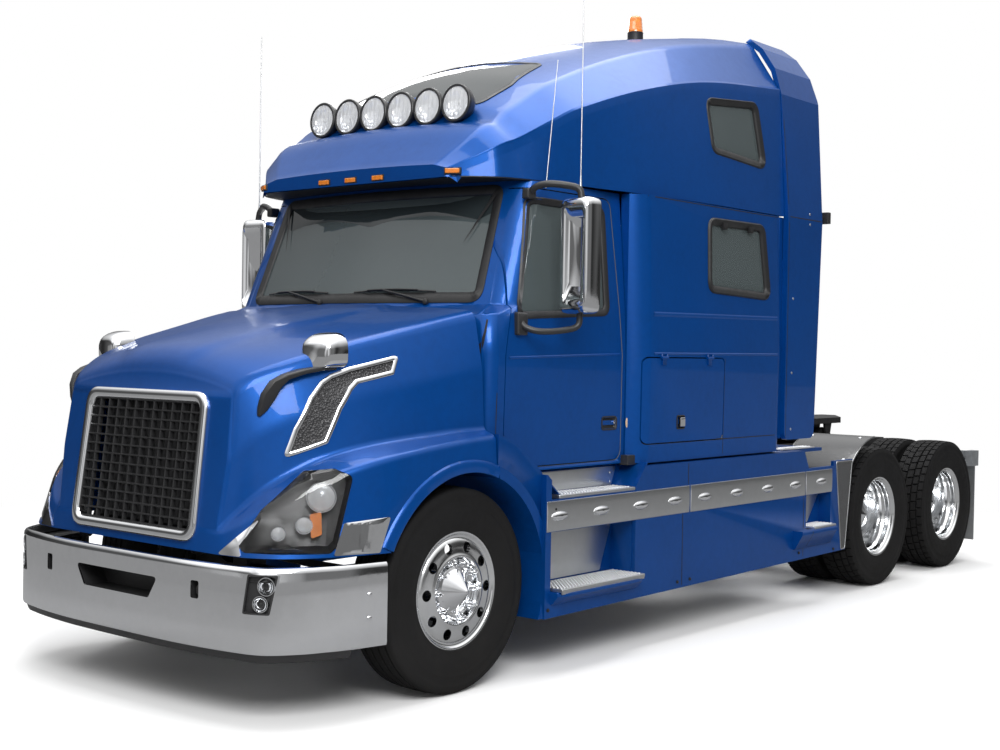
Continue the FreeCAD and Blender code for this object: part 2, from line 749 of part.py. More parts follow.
def cab_body():
    """Cab shell with its floor, windshield opening and door openings."""
    rear = sleeper_front - panel_gap
    shell = cab_form(0.0, cab_floor, rear)
    space = cab_form(cab_wall, cab_floor, rear)
    keep = box(-1300.0, 1300.0, 0.0, rear + 10.0, cab_floor + floor_sheet, roof_seam + 10.0)
    shell = shell.cut(space.common(keep))
    shell = shell.cut(rounded_y(windshield_outline, 60.0, 100.0, 760.0))
    for x0, x1 in ((-1300.0, -900.0), (900.0, 1300.0)):
        opening = rounded_x(door_outline(panel_gap), 60.0 + panel_gap, x0, x1)
        tail = rod((x0, arch_y, axle_z), AXIS_X, tail_radius + tail_clearance - panel_gap, x1 - x0)
        shell = shell.cut(opening.cut(tail))
    return shell


def latched(panel, x, y, z, length, height):
    """Panel with a latch pocket in its outer face and a paddle in the pocket."""
    pocket = box(x - handle_depth, x + 40.0, y - length / 2.0, y + length / 2.0, z - height / 2.0, z + height / 2.0)
    paddle = box(x - handle_depth - 2.0, x - 3.0, y - length / 2.0 + 8.0, y + length / 2.0 - 8.0,
                 z - height / 6.0, z + height / 4.0)
    return join([panel.cut(pocket), paddle])


def door():
    """Left door as thick as the cab wall, with its window cut and its handle."""
    wall = cab_form(0.0, cab_floor, sleeper_front).cut(cab_form(cab_wall, cab_floor - 10.0, sleeper_front + 10.0))
    panel = wall.common(rounded_x(door_outline(0.0), 60.0, 900.0, 1300.0))
    panel = panel.cut(rod((900.0, arch_y, axle_z), AXIS_X, tail_radius + tail_clearance, 400.0))
    panel = panel.cut(rounded_x(door_window(0.0), window_corner, 900.0, 1300.0))
    return latched(panel, cab_side, door_rear - 114.0, 1314.0, 132.0, 62.0)


def door_glass():
    """Left door window pane."""
    outer = cab_form(window_inset, cab_floor, sleeper_front)
    pane = outer.cut(cab_form(window_inset + glass_sheet, cab_floor - 10.0, sleeper_front + 10.0))
    return pane.common(rounded_x(door_window(-glass_gap), window_corner - glass_gap, 900.0, 1300.0))


def sleeper_level(z, side_x, inset, front_y):
    """Plan outline of the sleeper at one height."""
    r = 90.0
    x = side_x - inset
    rear = sleeper_rear - inset
    step_x = cab_side + 6.0 - inset
    points = [V(-step_x, front_y, z), V(-x, front_y + 120.0, z), V(-x, rear - r, z), V(-x + r, rear, z)]
    points += [V(x - r, rear, z), V(x, rear - r, z), V(x, front_y + 120.0, z), V(step_x, front_y, z)]
    heart = V(0, sleeper_front + 800.0, z)
    edges = [bulged(points[0], points[1], 0.1, heart), Part.makeLine(points[1], points[2])]
    edges += [bulged(points[2], points[3], 0.2, heart), Part.makeLine(points[3], points[4])]
    edges += [bulged(points[4], points[5], 0.2, heart), Part.makeLine(points[5], points[6])]
    edges += [bulged(points[6], points[7], 0.1, heart), Part.makeLine(points[7], points[0])]
    return Part.Wire(edges)


def sleeper_form(inset, low, front_y):
    """Solid form of the sleeper, or of the space inside it."""
    top = roof_seam - seat_gap
    levels = [sleeper_level(low, sleeper_side - 6.0, inset, front_y)]
    levels += [sleeper_level(crease_z, sleeper_side, inset, front_y)]
    levels += [sleeper_level(top, sleeper_side_top, inset, front_y)]
    pieces = [Part.makeLoft(levels[0:2], True, True), Part.makeLoft(levels[1:3], True, True)]
    return join(pieces)


sleeper_window = [(2258.0, 2118.0), (2990.0, 2096.0), (2914.0, 2550.0), (2258.0, 2544.0)]
upper_window = [(2350.0, 2990.0), (2968.0, 2950.0), (2890.0, 3352.0), (2300.0, 3300.0)]
baggage_hinge_places = (1740.0, 2250.0)


def baggage_outline(grow):
    """Side outline of the baggage door."""
    points = [(baggage_front, baggage_low), (baggage_rear, baggage_low), (baggage_rear, baggage_high)]
    points.append((baggage_front, baggage_high))
    return shrink(points, -grow)


def sleeper_body():
    """Sleeper shell with its floor, side windows and baggage door openings."""
    shell = sleeper_form(0.0, cab_floor, sleeper_front)
    space = sleeper_form(cab_wall, cab_floor, sleeper_front)
    keep = box(-1300.0, 1300.0, 0.0, sleeper_rear, cab_floor + floor_sheet, roof_seam + 10.0)
    shell = shell.cut(space.common(keep))
    for x0, x1 in ((-1300.0, -1000.0), (1000.0, 1300.0)):
        shell = shell.cut(rounded_x(sleeper_window, 60.0, x0, x1))
        shell = shell.cut(rounded_x(baggage_outline(panel_gap), 40.0, x0, x1))
    hinges = []
    for y in baggage_hinge_places:
        for end in (y - 34.0, y + 22.0):
            ear = rod((baggage_hinge_x, end, baggage_hinge_z), AXIS_Y, 8.0, 12.0)
            foot = box(sleeper_side - 12.0, baggage_hinge_x, end, end + 12.0, baggage_hinge_z, baggage_high + 26.0)
            hinges += both_sides(join([ear, foot]))
        hinges += both_sides(rod((baggage_hinge_x, y - 34.0, baggage_hinge_z), AXIS_Y, 4.0, 68.0))
    return join([shell] + hinges)


def baggage_door():
    """Left baggage door, hinged along its top edge."""
    space = sleeper_form(cab_wall, cab_floor - 10.0, sleeper_front - 10.0)
    wall = sleeper_form(0.0, cab_floor, sleeper_front).cut(space)
    panel = wall.common(rounded_x(baggage_outline(0.0), 40.0, 1000.0, 1300.0))
    pieces = [panel]
    for y in baggage_hinge_places:
        pieces.append(rod((baggage_hinge_x, y - 20.0, baggage_hinge_z), AXIS_Y, 8.0, 40.0))
        pieces.append(box(sleeper_side - 10.0, baggage_hinge_x, y - 20.0, y + 20.0,
                          baggage_high - 40.0, baggage_hinge_z))
    panel = join(pieces)
    for y in baggage_hinge_places:
        panel = panel.cut(rod((baggage_hinge_x, y - 40.0, baggage_hinge_z), AXIS_Y, 4.0 + pivot_clearance, 80.0))
    return latched(panel, sleeper_side - 6.0, 1942.0, 1307.0, 74.0, 70.0)


# Stations of the roof along the truck: y, base half width, crease (x, z), shoulder (x, z), crown height
roof_stations = [
    (338.0, 740.0, (738.0, 2688.0), (640.0, 2722.0), 2736.0),
    (500.0, 940.0, (926.0, 2800.0), (800.0, 2908.0), 2946.0),
    (700.0, 1012.0, (980.0, 2892.0), (826.0, 2990.0), 3040.0),
    (1060.0, 1052.0, (1036.0, 3096.0), (836.0, 3250.0), 3370.0),
    (1640.0, 1130.0, (1076.0, 3286.0), (850.0, 3470.0), 3586.0),
    (2300.0, 1168.0, (1096.0, 3430.0), (872.0, 3668.0), 3778.0),
    (3202.0, 1176.0, (1116.0, 3512.0), (900.0, 3830.0), 3962.0),
]


def roof_section(station, inset):
    """Closed outline of the roof across the truck at one station."""
    y, base, crease, shoulder, crown = station
    zb = roof_seam
    left = [V(base - inset, y, zb), V(crease[0] - inset, y, crease[1] - 0.3 * inset)]
    left += [V(shoulder[0] - 0.5 * inset, y, shoulder[1] - inset)]
    right = [V(-p.x, p.y, p.z) for p in left]
    top = V(0, y, crown - inset)
    upper = (left[1] + left[2]) * 0.5 + V(16.0, 0, 16.0)
    upper_right = V(-upper.x, y, upper.z)
    edges = [Part.makeLine(right[0], left[0]), Part.makeLine(left[0], left[1])]
    edges += [arc_edge(left[1], upper, left[2]), arc_edge(left[2], top, right[2])]
    edges += [arc_edge(right[2], upper_right, right[1]), Part.makeLine(right[1], right[0])]
    return Part.Wire(edges)


def roof_form(inset):
    """Solid form of the raised roof, or of the space inside it."""
    sections = [roof_section(station, inset) for station in roof_stations]
    return Part.makeLoft(sections, True, True)


def roof_cap():
    """Raised roof shell, open below, with its upper side windows cut."""
    shell = roof_form(0.0).cut(roof_form(roof_wall).common(
        box(-1300.0, 1300.0, 700.0, sleeper_rear - roof_wall, roof_seam - 10.0, 4200.0)))
    for x0, x1 in ((-1300.0, -900.0), (900.0, 1300.0)):
        shell = shell.cut(rounded_x(upper_window, 60.0, x0, x1))
    return shell


def window_pane(form, inset, outline, x0, x1):
    """Pane that follows a wall, cut to an outline."""
    pane = form(inset).cut(form(inset + glass_sheet))
    return pane.common(rounded_x(shrink(outline, glass_gap), 60.0 - glass_gap, x0, x1))


def fixed_glass():
    """Windshield and the four sleeper windows."""
    front = cab_form(windshield_inset, cab_floor, sleeper_front)
    front = front.cut(cab_form(windshield_inset + glass_sheet, cab_floor - 10.0, sleeper_front + 10.0))
    outline = rounded_y(shrink(windshield_outline, glass_gap), 60.0 - glass_gap, 100.0, 760.0)
    windshield = front.common(outline)
    lower = window_pane(lambda inset: sleeper_form(inset, cab_floor, sleeper_front), window_inset,
                        sleeper_window, 1000.0, 1300.0)
    upper = window_pane(roof_form, window_inset, upper_window, 900.0, 1300.0)
    return Part.makeCompound([windshield] + both_sides(lower) + both_sides(upper))


def side_extenders():
    """Curved wings that carry the sleeper's sides and roof edges backwards."""
    low = extender_low
    skin = sleeper_side + 4.0
    outer = [(skin, low), (skin, roof_seam), (1134.0, 3470.0), (1080.0, 3650.0), (985.0, 3790.0), (880.0, 3872.0)]
    inner = [(x - extender_sheet * 0.8, z - extender_sheet * 0.6) for x, z in reversed(outer[2:])]
    inner += [(skin - extender_sheet, roof_seam), (skin - extender_sheet, low)]
    front = sleeper_rear + panel_gap
    band = prism_y(outer + inner, front, extender_rear + 60.0)
    outline = [(front, low), (extender_rear - 70.0, low), (extender_rear, roof_seam)]
    outline += [(extender_rear + 40.0, 3500.0), (extender_rear - 30.0, 3900.0), (front, 3900.0)]
    wing = band.common(rounded_x(outline, 60.0, 700.0, 1300.0))
    mounts = []
    for z in (1500.0, 2300.0):
        mounts.append(box(1040.0, skin - extender_sheet + 2.0, sleeper_rear + seat_gap, front + 40.0, z, z + 60.0))
    return Part.makeCompound(both_sides(join([wing] + mounts)))


wheel_y = 872.0
wheel_z = 1812.0


def dashboard():
    """Dashboard across the cab with a hood over the dials."""
    front = cowl_front
    outline = [(front, 1540.0), (660.0, 1540.0), (740.0, 1700.0), (690.0, 1830.0), (560.0, 1900.0), (front, 1895.0)]
    main = prism_x(outline, -930.0, 930.0)
    legs = box(-930.0, -820.0, front, 560.0, cab_floor + floor_sheet + seat_gap, 1560.0)
    column = bar_between((470.0, 640.0, 1700.0), (470.0, wheel_y - 14.0, wheel_z - 8.0), 34.0)
    panel = join([main] + both_sides(legs) + [column])
    return panel.common(cab_form(cab_wall + seat_gap, cab_floor, sleeper_front))


def steering_wheel():
    """Steering wheel on its column."""
    ring = Part.makeTorus(210.0, 15.0, V(0, 0, 0), AXIS_Z)
    spokes = [box(-208.0, 208.0, -22.0, 22.0, -8.0, 8.0), box(-22.0, 22.0, -208.0, 0.0, -8.0, 8.0)]
    hub = rod((0.0, 0.0, -14.0), AXIS_Z, 62.0, 34.0)
    wheel = join([ring, hub] + spokes)
    wheel.rotate(V(0, 0, 0), AXIS_X, -62.0)
    wheel.translate(V(470.0, wheel_y, wheel_z))
    return wheel


def seats():
    """Two seats on pedestals."""
    base = box(-200.0, 200.0, -170.0, 200.0, seat_gap, 320.0)
    cushion = box(-260.0, 260.0, -220.0, 290.0, 320.0, 450.0)
    back = prism_x([(180.0, 450.0), (300.0, 450.0), (400.0, 1160.0), (300.0, 1160.0)], -250.0, 250.0)
    seat = join([base, cushion, back])
    seat.translate(V(520.0, 1160.0, cab_floor + floor_sheet))
    return Part.makeCompound(both_sides(seat))


# Hood and front end

def hood_section(y, half, edge_z, crown, flare, inset):
    """Closed outline of the hood across the truck at one station."""
    low = 940.0 - 1.5 * inset
    left = [V(half + flare - inset, y, low), V(half - inset, y, edge_z - 90.0 - 0.6 * inset)]
    left += [V(half - 90.0 - 0.6 * inset, y, edge_z - inset)]
    right = [V(-p.x, p.y, p.z) for p in left]
    upper = (left[1] + left[2]) * 0.5 + V(12.0, 0, 12.0)
    upper_right = V(-upper.x, y, upper.z)
    edges = [Part.makeLine(right[0], left[0]), Part.makeLine(left[0], left[1])]
    edges += [arc_edge(left[1], upper, left[2]), arc_edge(left[2], V(0, y, crown - inset), right[2])]
    edges += [arc_edge(right[2], upper_right, right[1]), Part.makeLine(right[1], right[0])]
    return Part.Wire(edges)


# Stations of the hood: y, half width, edge height, crown height, how far the side spreads at its foot
hood_stations = [
    (-1034.0, 646.0, 1500.0, 1574.0, 40.0),
    (-930.0, 730.0, 1610.0, 1716.0, 110.0),
    (-481.0, 880.0, 1746.0, 1826.0, 230.0),
    (hood_rear, 1000.0, 1922.0, 1958.0, 120.0),
]


def hood_plan(inset):
    """Plan outline of the fenders and front corners."""
    side = hood_half_width - inset
    rear = hood_rear + (2.0 if inset else 0.0)
    left = [(560.0, fascia_front + inset), (850.0 - 0.3 * inset, -1100.0 + inset)]
    left += [(985.0 - inset, -1010.0 + 0.6 * inset), (1108.0 - inset, -800.0), (side, -430.0), (side, rear)]
    right = [(-x, y) for x, y in reversed(left)]
    return left + right


def hood_form(inset):
    """Solid form of the hood and fenders, or of the space inside it."""
    sections = []
    for y, half, edge, crown, flare in hood_stations:
        if y < fascia_front + 200.0:
            y += inset
        if y > hood_rear - 10.0 and inset:
            y += 2.0
        sections.append(hood_section(y, half, edge, crown, flare, inset))
    centre = Part.makeLoft(sections, True, True)
    low = hood_bottom - (10.0 if inset else 0.0)
    skirts = rounded_z(hood_plan(inset), 60.0, low, fender_rear_z + 40.0)
    rear = hood_rear + 20.0
    side = [(-1200.0, low), (rear, low), (rear, fender_rear_z - inset), (-60.0, 1264.0 - inset)]
    side += [(-640.0, fender_shoulder_z - inset), (-900.0, 1066.0 - inset), (-1030.0, 960.0 - inset)]
    side.append((-1200.0, 900.0 - inset))
    fenders = skirts.common(prism_x(side, -1300.0, 1300.0))
    slope = math.tan(math.radians(grille_tilt))
    top = fascia_top - inset
    foot = fascia_front + inset / math.cos(math.radians(grille_tilt))
    face = [(foot - 10.0 * slope, hood_bottom - 10.0), (-900.0, hood_bottom - 10.0), (-900.0, top)]
    face.append((foot + (top - hood_bottom) * slope, top))
    fascia = prism_x(face, -fascia_half_width + inset, fascia_half_width - inset)
    ahead = [(foot - 10.0 * slope, hood_bottom - 10.0), (foot + (top - hood_bottom) * slope, top)]
    ahead += [(-1400.0, top), (-1400.0, hood_bottom - 10.0)]
    fenders = fenders.cut(prism_x(ahead, -fascia_half_width, fascia_half_width))
    if not inset:
        fascia = fascia.common(box(-700.0, 700.0, -1300.0, 0.0, hood_bottom, 1600.0))
    return join([centre, fenders, fascia])


def lean(shape):
    """Turn a front piece back about the foot of the fascia, as the grille leans."""
    shape.rotate(V(0, fascia_front, hood_bottom), AXIS_X, -grille_tilt)
    return shape


grille_corner = 50.0


def grille_outline(grow):
    """Front outline of the grille opening, grown all round."""
    points = [(-grille_half_width, grille_low), (grille_half_width, grille_low)]
    points += [(grille_half_width - 14.0, grille_high), (-grille_half_width + 14.0, grille_high)]
    return shrink(points, -grow)


def arch_cut():
    """Wheel arch through both fenders, open below."""
    return rod((-1300.0, arch_y, axle_z), AXIS_X, arch_radius, 2600.0)


# Headlamp outline seen from the front left corner: distance to the left of the corner line, height
lamp_outline = [(-196.0, 1150.0), (-66.0, 1152.0), (226.0, 800.0), (60.0, 784.0), (-226.0, 786.0)]


def lamp_cut(grow):
    """Diagonal prism over the left headlamp."""
    away = V(0.74, -0.67, 0.0).normalize()
    across = V(away.y, -away.x, 0.0)
    corner = V(1000.0, -960.0, 0.0) + away * 300.0
    points = [corner + across * s + V(0, 0, z) for s, z in shrink(lamp_outline, -grow)]
    return Part.Face(polygon(points)).extrude(away * -600.0)


vent_outline = [(-296.0, 1690.0), (-316.0, 1612.0), (-640.0, 1572.0), (-790.0, 1290.0)]
vent_outline += [(-1000.0, 1236.0), (-745.0, 1600.0)]


def vent_cut(shrink_by):
    """Side prism over the left hood vent."""
    return prism_x(shrink(vent_outline, shrink_by), 560.0, 1180.0)


def hood_shell():
    """Hood wall with its wheel arches and the raised bands round them."""
    shell = hood_form(0.0).cut(hood_form(hood_wall)).cut(arch_cut())
    band = tube((hood_half_width - 90.0, arch_y, axle_z), AXIS_X, arch_radius + arch_lip_width, arch_radius, 160.0)
    reach = box(0.0, 1400.0, -1000.0, hood_rear, hood_bottom, 1300.0)
    lip = hood_form(-arch_lip_stand).cut(hood_form(6.0)).common(band).common(reach)
    return join([shell, lip, mirrored(lip)])


def hood():
    """Tilting hood with fenders, its grille, lamp and vent openings and its pivot arms."""
    shell = hood_shell()
    opening = lean(rounded_y(grille_outline(0.0), grille_corner, fascia_front - 90.0, fascia_front + 120.0))
    shell = shell.cut(opening)
    for cutter in (lamp_cut(0.6), vent_cut(0.0)):
        shell = shell.cut(cutter).cut(mirrored(cutter))
    lug = rod((hood_hinge_x, hood_hinge_y, hood_hinge_z), AXIS_X, 26.0, 18.0)
    arm = box(hood_hinge_x, hood_hinge_x + 18.0, fascia_front + 12.0, hood_hinge_y + 26.0,
              hood_hinge_z + 12.0, 806.0)
    ear = box(hood_hinge_x, hood_hinge_x + 18.0, hood_hinge_y - 20.0, hood_hinge_y + 26.0, hood_hinge_z, 806.0)
    lug = join([lug, arm, ear]).cut(rod((hood_hinge_x - 10.0, hood_hinge_y, hood_hinge_z), AXIS_X,
                                   hood_pin_radius + pivot_clearance, 60.0))
    return join([shell] + both_sides(lug))


def headlamps():
    """Headlamp housings that follow the hood corners."""
    lamp = hood_form(2.0).cut(hood_form(hood_wall + 12.0)).common(lamp_cut(-0.6))
    lamp = max(lamp.Solids, key=lambda s: s.Volume)
    return Part.makeCompound(both_sides(lamp))


def side_vents():
    """Vent panels in the hood sides."""
    vent = hood_form(8.0).cut(hood_form(hood_wall - 4.0)).common(vent_cut(0.8))
    vent = max(vent.Solids, key=lambda s: s.Volume)
    return Part.makeCompound(both_sides(vent))


def grille_surround():
    """Bright frame round the grille, with a rim that reaches into the opening."""
    front = fascia_front - seat_gap - grille_frame_depth
    outer = rounded_y(grille_outline(grille_rim), grille_corner + grille_rim, front, fascia_front - seat_gap)
    rim = rounded_y(grille_outline(-seat_gap), grille_corner - seat_gap, fascia_front - 2.0, fascia_front + 20.0)
    hole = rounded_y(grille_outline(-grille_lip), grille_corner - grille_lip, front - 10.0, fascia_front + 60.0)
    return lean(join([outer, rim]).cut(hole))


def grille_mesh():
    """Black grille with a grid of rectangular cells."""
    inset = grille_lip + seat_gap
    half = grille_half_width - inset
    low = grille_low + inset
    high = grille_high - inset
    plate = rounded_y(grille_outline(-inset), grille_corner - inset, fascia_front - 8.0, fascia_front + 18.0)
    width = (2 * half - 44.0) / grille_columns
    height = (high - low - 16.0) / grille_rows
    for column in range(grille_columns):
        for row in range(grille_rows):
            x = -half + 22.0 + column * width + grille_bar / 2.0
            z = low + 8.0 + row * height + grille_bar / 2.0
            if column in (0, grille_columns - 1) and row in (0, grille_rows - 1):
                continue
            plate = plate.cut(box(x, x + width - grille_bar, fascia_front - 20.0, fascia_front + 30.0,
                                  z, z + height - grille_bar))
    return lean(plate)


def bumper_plan(inset):
    """Plan outline of the bumper skin."""
    half = bumper_half_width - inset
    left = [(480.0, bumper_nose + 12.0 + inset), (1000.0 - 0.7 * inset, bumper_nose + 92.0 + inset)]
    left += [(1108.0 - inset, -900.0), (half, bumper_end + (80.0 if inset else 0.0))]
    right = [(-x, y) for x, y in reversed(left)]
    return left + right


bumper_opening = [(-330.0, 628.0), (330.0, 628.0), (262.0, 524.0), (-262.0, 524.0)]
fog_opening = [(890.0, 700.0), (1030.0, 700.0), (1030.0, 520.0), (912.0, 520.0)]
tow_slot_x = 590.0
tow_slot_z = 592.0


def bumper():
    """Bright bumper skin with a top flange, centre opening, lamp pockets and tow slots."""
    outer = rounded_z(bumper_plan(0.0), 70.0, bumper_low, bumper_high)
    inner = rounded_z(bumper_plan(bumper_sheet), 66.0, bumper_low - 5.0, bumper_high + 5.0)
    front_only = box(-1400.0, 1400.0, -1400.0, bumper_end - 0.1, 0.0, 900.0)
    skin = outer.cut(inner).common(front_only)
    skin = skin.cut(rounded_y(bumper_opening, 24.0, -1300.0, -1000.0))
    pocket = fog_pocket(0.0)
    skin = skin.cut(pocket).cut(mirrored(pocket))
    for side in (-1, 1):
        skin = skin.cut(rod((side * tow_slot_x, -1300.0, tow_slot_z - 16.0), AXIS_Y, 15.0, 260.0))
        skin = skin.cut(rod((side * tow_slot_x, -1300.0, tow_slot_z + 16.0), AXIS_Y, 15.0, 260.0))
        skin = skin.cut(box(side * tow_slot_x - 15.0, side * tow_slot_x + 15.0, -1300.0, -1040.0,
                            tow_slot_z - 16.0, tow_slot_z + 16.0))
    brackets = []
    for side in (-1, 1):
        x = side * (rail_half_spacing - 40.0)
        brackets.append(box(x - 30.0, x + 30.0, -1211.0, frame_front - seat_gap, 630.0, bracket_top))
        brackets.append(box(x - 30.0, x + 30.0, frame_front - 40.0, frame_front - seat_gap, 630.0, 900.0))
    return join([skin] + brackets)


def fog_pocket(grow):
    """Pocket through the left bumper corner for two small lamps."""
    points = [V(x, -1300.0, z) for x, z in fog_opening]
    if grow:
        points = [V(x, -1300.0, z) for x, z in shrink(fog_opening, grow)]
    return Part.Face(rounded(points, 16.0)).extrude(V(0, 330.0, 0))


def fog_lamps():
    """Two small round lamps in a housing in each bumper corner."""
    back = rounded_z(bumper_plan(bumper_sheet + 24.0), 60.0, bumper_low, bumper_high)
    front = rounded_z(bumper_plan(bumper_sheet - 2.0), 70.0, bumper_low, bumper_high)
    housing = front.cut(back).common(fog_pocket(0.8))
    housing = max(housing.Solids, key=lambda s: s.Volume)
    return Part.makeCompound(both_sides(housing))


def hood_mirrors():
    """Small bright mirrors on arms at the hood corners."""
    head = Part.makeSphere(100.0, V(0, 0, 0))
    stretch = FreeCAD.Matrix()
    stretch.scale(V(1.12, 0.62, 0.94))
    head = head.transformGeometry(stretch)
    head = head.common(box(-150.0, 150.0, -80.0, 22.0, -110.0, 110.0))
    head.translate(V(836.0, -640.0, 1706.0))
    arm = bent_bar([(836.0, -640.0, 1640.0), (800.0, -760.0, 1590.0), (772.0, -850.0, 1520.0)], 24.0)
    foot = join([head, arm])
    foot = foot.cut(hood_form(-0.3))
    foot = max(foot.Solids, key=lambda s: s.Volume)
    return Part.makeCompound(both_sides(foot))


# Mirrors, lamps and trim

def door_mirror():
    """Tall left mirror on its arms with the antenna above."""
    half = mirror_width / 2.0
    plan = [(-half, 40.0), (half, 40.0), (half - 10.0, -30.0), (half - 50.0, 40.0 - mirror_depth)]
    plan += [(-half + 50.0, 40.0 - mirror_depth), (-half + 10.0, -30.0)]
    head = rounded_z(plan, 18.0, mirror_low, mirror_high)
    head.translate(V(mirror_x, mirror_y, 0.0))
    pieces = [head]
    pieces.append(bent_bar([(1020.0, 640.0, 2564.0), (1120.0, 640.0, 2590.0), (mirror_x, mirror_y, 2590.0),
                            (mirror_x, mirror_y, 2500.0)], 17.0))
    pieces.append(bent_bar([(1112.0, 520.0, 1866.0), (1200.0, 580.0, 1850.0), (mirror_x, mirror_y, 1870.0),
                            (mirror_x, mirror_y, 1960.0)], 19.0))
    pieces.append(box(1070.0, 1126.0, 476.0, 556.0, 1800.0, 1925.0))
    pieces.append(rod((mirror_x, mirror_y, 2560.0), AXIS_Z, 9.0, 90.0))
    pieces.append(rod((mirror_x, mirror_y, 2640.0), AXIS_Z, 4.0, antenna_top - 2640.0))
    body = join(pieces)
    body = body.cut(cab_form(-seat_gap, cab_floor, sleeper_front))
    return max(body.Solids, key=lambda s: s.Volume)


def roof_lamps():
    """Six round lamps in a row on the roof front."""
    pieces = []
    for index in range(lamp_count):
        x = (index - (lamp_count - 1) / 2.0) * lamp_pitch
        bowl = Part.makeCone(lamp_radius, 60.0, 90.0, V(x, lamp_y, lamp_z), AXIS_Y)
        rim = rod((x, lamp_y - 16.0, lamp_z), AXIS_Y, lamp_radius, 18.0)
        foot = box(x - 16.0, x + 16.0, lamp_y + 10.0, lamp_y + 60.0, lamp_z - 130.0, lamp_z - 40.0)
        pieces.append(join([bowl, rim, foot]))
    cover = roof_form(-0.3)
    cut = []
    for piece in pieces:
        rest = piece.cut(cover)
        cut.append(max(rest.Solids, key=lambda s: s.Volume))
    return Part.makeCompound(cut)


def work_lamp():
    """Left work lamp on a bracket at the rear edge of the side extender."""
    y = extender_rear + 2.0 * work_lamp_radius
    x = sleeper_side - 20.0
    body = rod((x - 34.0, y, work_lamp_z), AXIS_X, work_lamp_radius, 78.0)
    arm = box(x - 8.0, x + 8.0, extender_rear - 40.0, y, work_lamp_z - 12.0, work_lamp_z + 12.0)
    wing = side_extenders()
    wing.translate(V(0.0, seat_gap, 0.0))
    return max(join([body, arm]).cut(wing).Solids, key=lambda s: s.Volume)


def signal_lamps():
    """Five marker lamps under the brow and a work lamp each side."""
    pieces = []
    cover = roof_form(-0.3)
    for x in (-760.0, -216.0, 0.0, 216.0, 760.0):
        lamp = box(x - 46.0, x + 46.0, 330.0, 420.0, 2652.0, 2684.0)
        if abs(x) > 700.0:
            lamp.translate(V(0.0, 40.0, 10.0))
        lamp = lamp.cut(cover)
        pieces.append(max(lamp.Solids, key=lambda s: s.Volume))
    return Part.makeCompound(pieces + both_sides(work_lamp()))


def beacon():
    """Amber beacon on a black base."""
    y = 3120.0
    base = rod((0.0, y, 3900.0), AXIS_Z, beacon_radius, 110.0)
    base = base.cut(roof_form(-0.3))
    base = max(base.Solids, key=lambda s: s.BoundBox.ZMax)
    lens = Part.makeCone(beacon_radius - 8.0, beacon_radius - 20.0, 120.0, V(0.0, y, 4010.0), AXIS_Z)
    return join([base, lens])


def wipers():
    """Two wipers parked along the windshield foot."""
    blade_form = cab_form(-16.0, cab_floor, sleeper_front)
    blade_form = blade_form.cut(cab_form(windshield_inset - seat_gap, cab_floor - 10.0, sleeper_front + 10.0))
    arm_form = cab_form(-14.0, cab_floor, sleeper_front)
    arm_form = arm_form.cut(cab_form(-seat_gap, cab_floor - 10.0, sleeper_front + 10.0))
    pieces = []
    for x in (-470.0, 330.0):
        blade = [(x - 290.0, 2002.0), (x + 290.0, 2014.0), (x + 290.0, 2030.0), (x - 290.0, 2018.0)]
        arm = [(x - 10.0, 2008.0), (x + 300.0, 1950.0), (x + 330.0, 1950.0), (x + 330.0, 1972.0), (x + 14.0, 2024.0)]
        blade = blade_form.common(prism_y(blade, 0.0, 760.0))
        arm = arm_form.common(prism_y(arm, 0.0, 760.0))
        pieces.append(join([blade, arm]))
    return Part.makeCompound(pieces)


def fairing_outline():
    """Side outline of the fairing, with the guard before the drive wheel at its rear."""
    tread_seat = step_high_z + 12.0
    points = [(fairing_front, fairing_low), (guard_foot, fairing_low + 30.0), (guard_rear, guard_high)]
    points += [(rear_step_rear + 35.0, guard_high), (rear_step_rear + 35.0, tread_seat)]
    points += [(fairing_rear + 66.0, tread_seat), (fairing_rear, fairing_high), (fairing_front, fairing_high)]
    return points


def rear_step():
    """Box of the small rear step, with the well behind it."""
    inner = fairing_x - rear_well_depth
    skin = fairing_x - fairing_sheet
    toe = [(skin, rear_step_low), (step_out, rear_step_low), (step_out, rear_step_low - 26.0)]
    toe += [(fairing_x + 18.0, rear_step_low - 126.0), (skin, rear_step_low - 126.0)]
    body = prism_y(toe, rear_step_front - 185.0, rear_step_rear - 40.0)
    back = box(inner - fairing_sheet, inner, rear_step_front - 20.0, rear_step_rear + 20.0,
               rear_step_low - 22.0, trim_high)
    floor = box(inner - fairing_sheet, fairing_x, rear_step_front - 20.0, rear_step_rear + 20.0,
                rear_step_low - 22.0, rear_step_low)
    cheeks = []
    for y in (rear_step_front - 20.0, rear_step_rear):
        cheeks.append(box(inner - fairing_sheet, skin + 2.0, y, y + 20.0, rear_step_low - 22.0, trim_high))
    return [body, back, floor] + cheeks


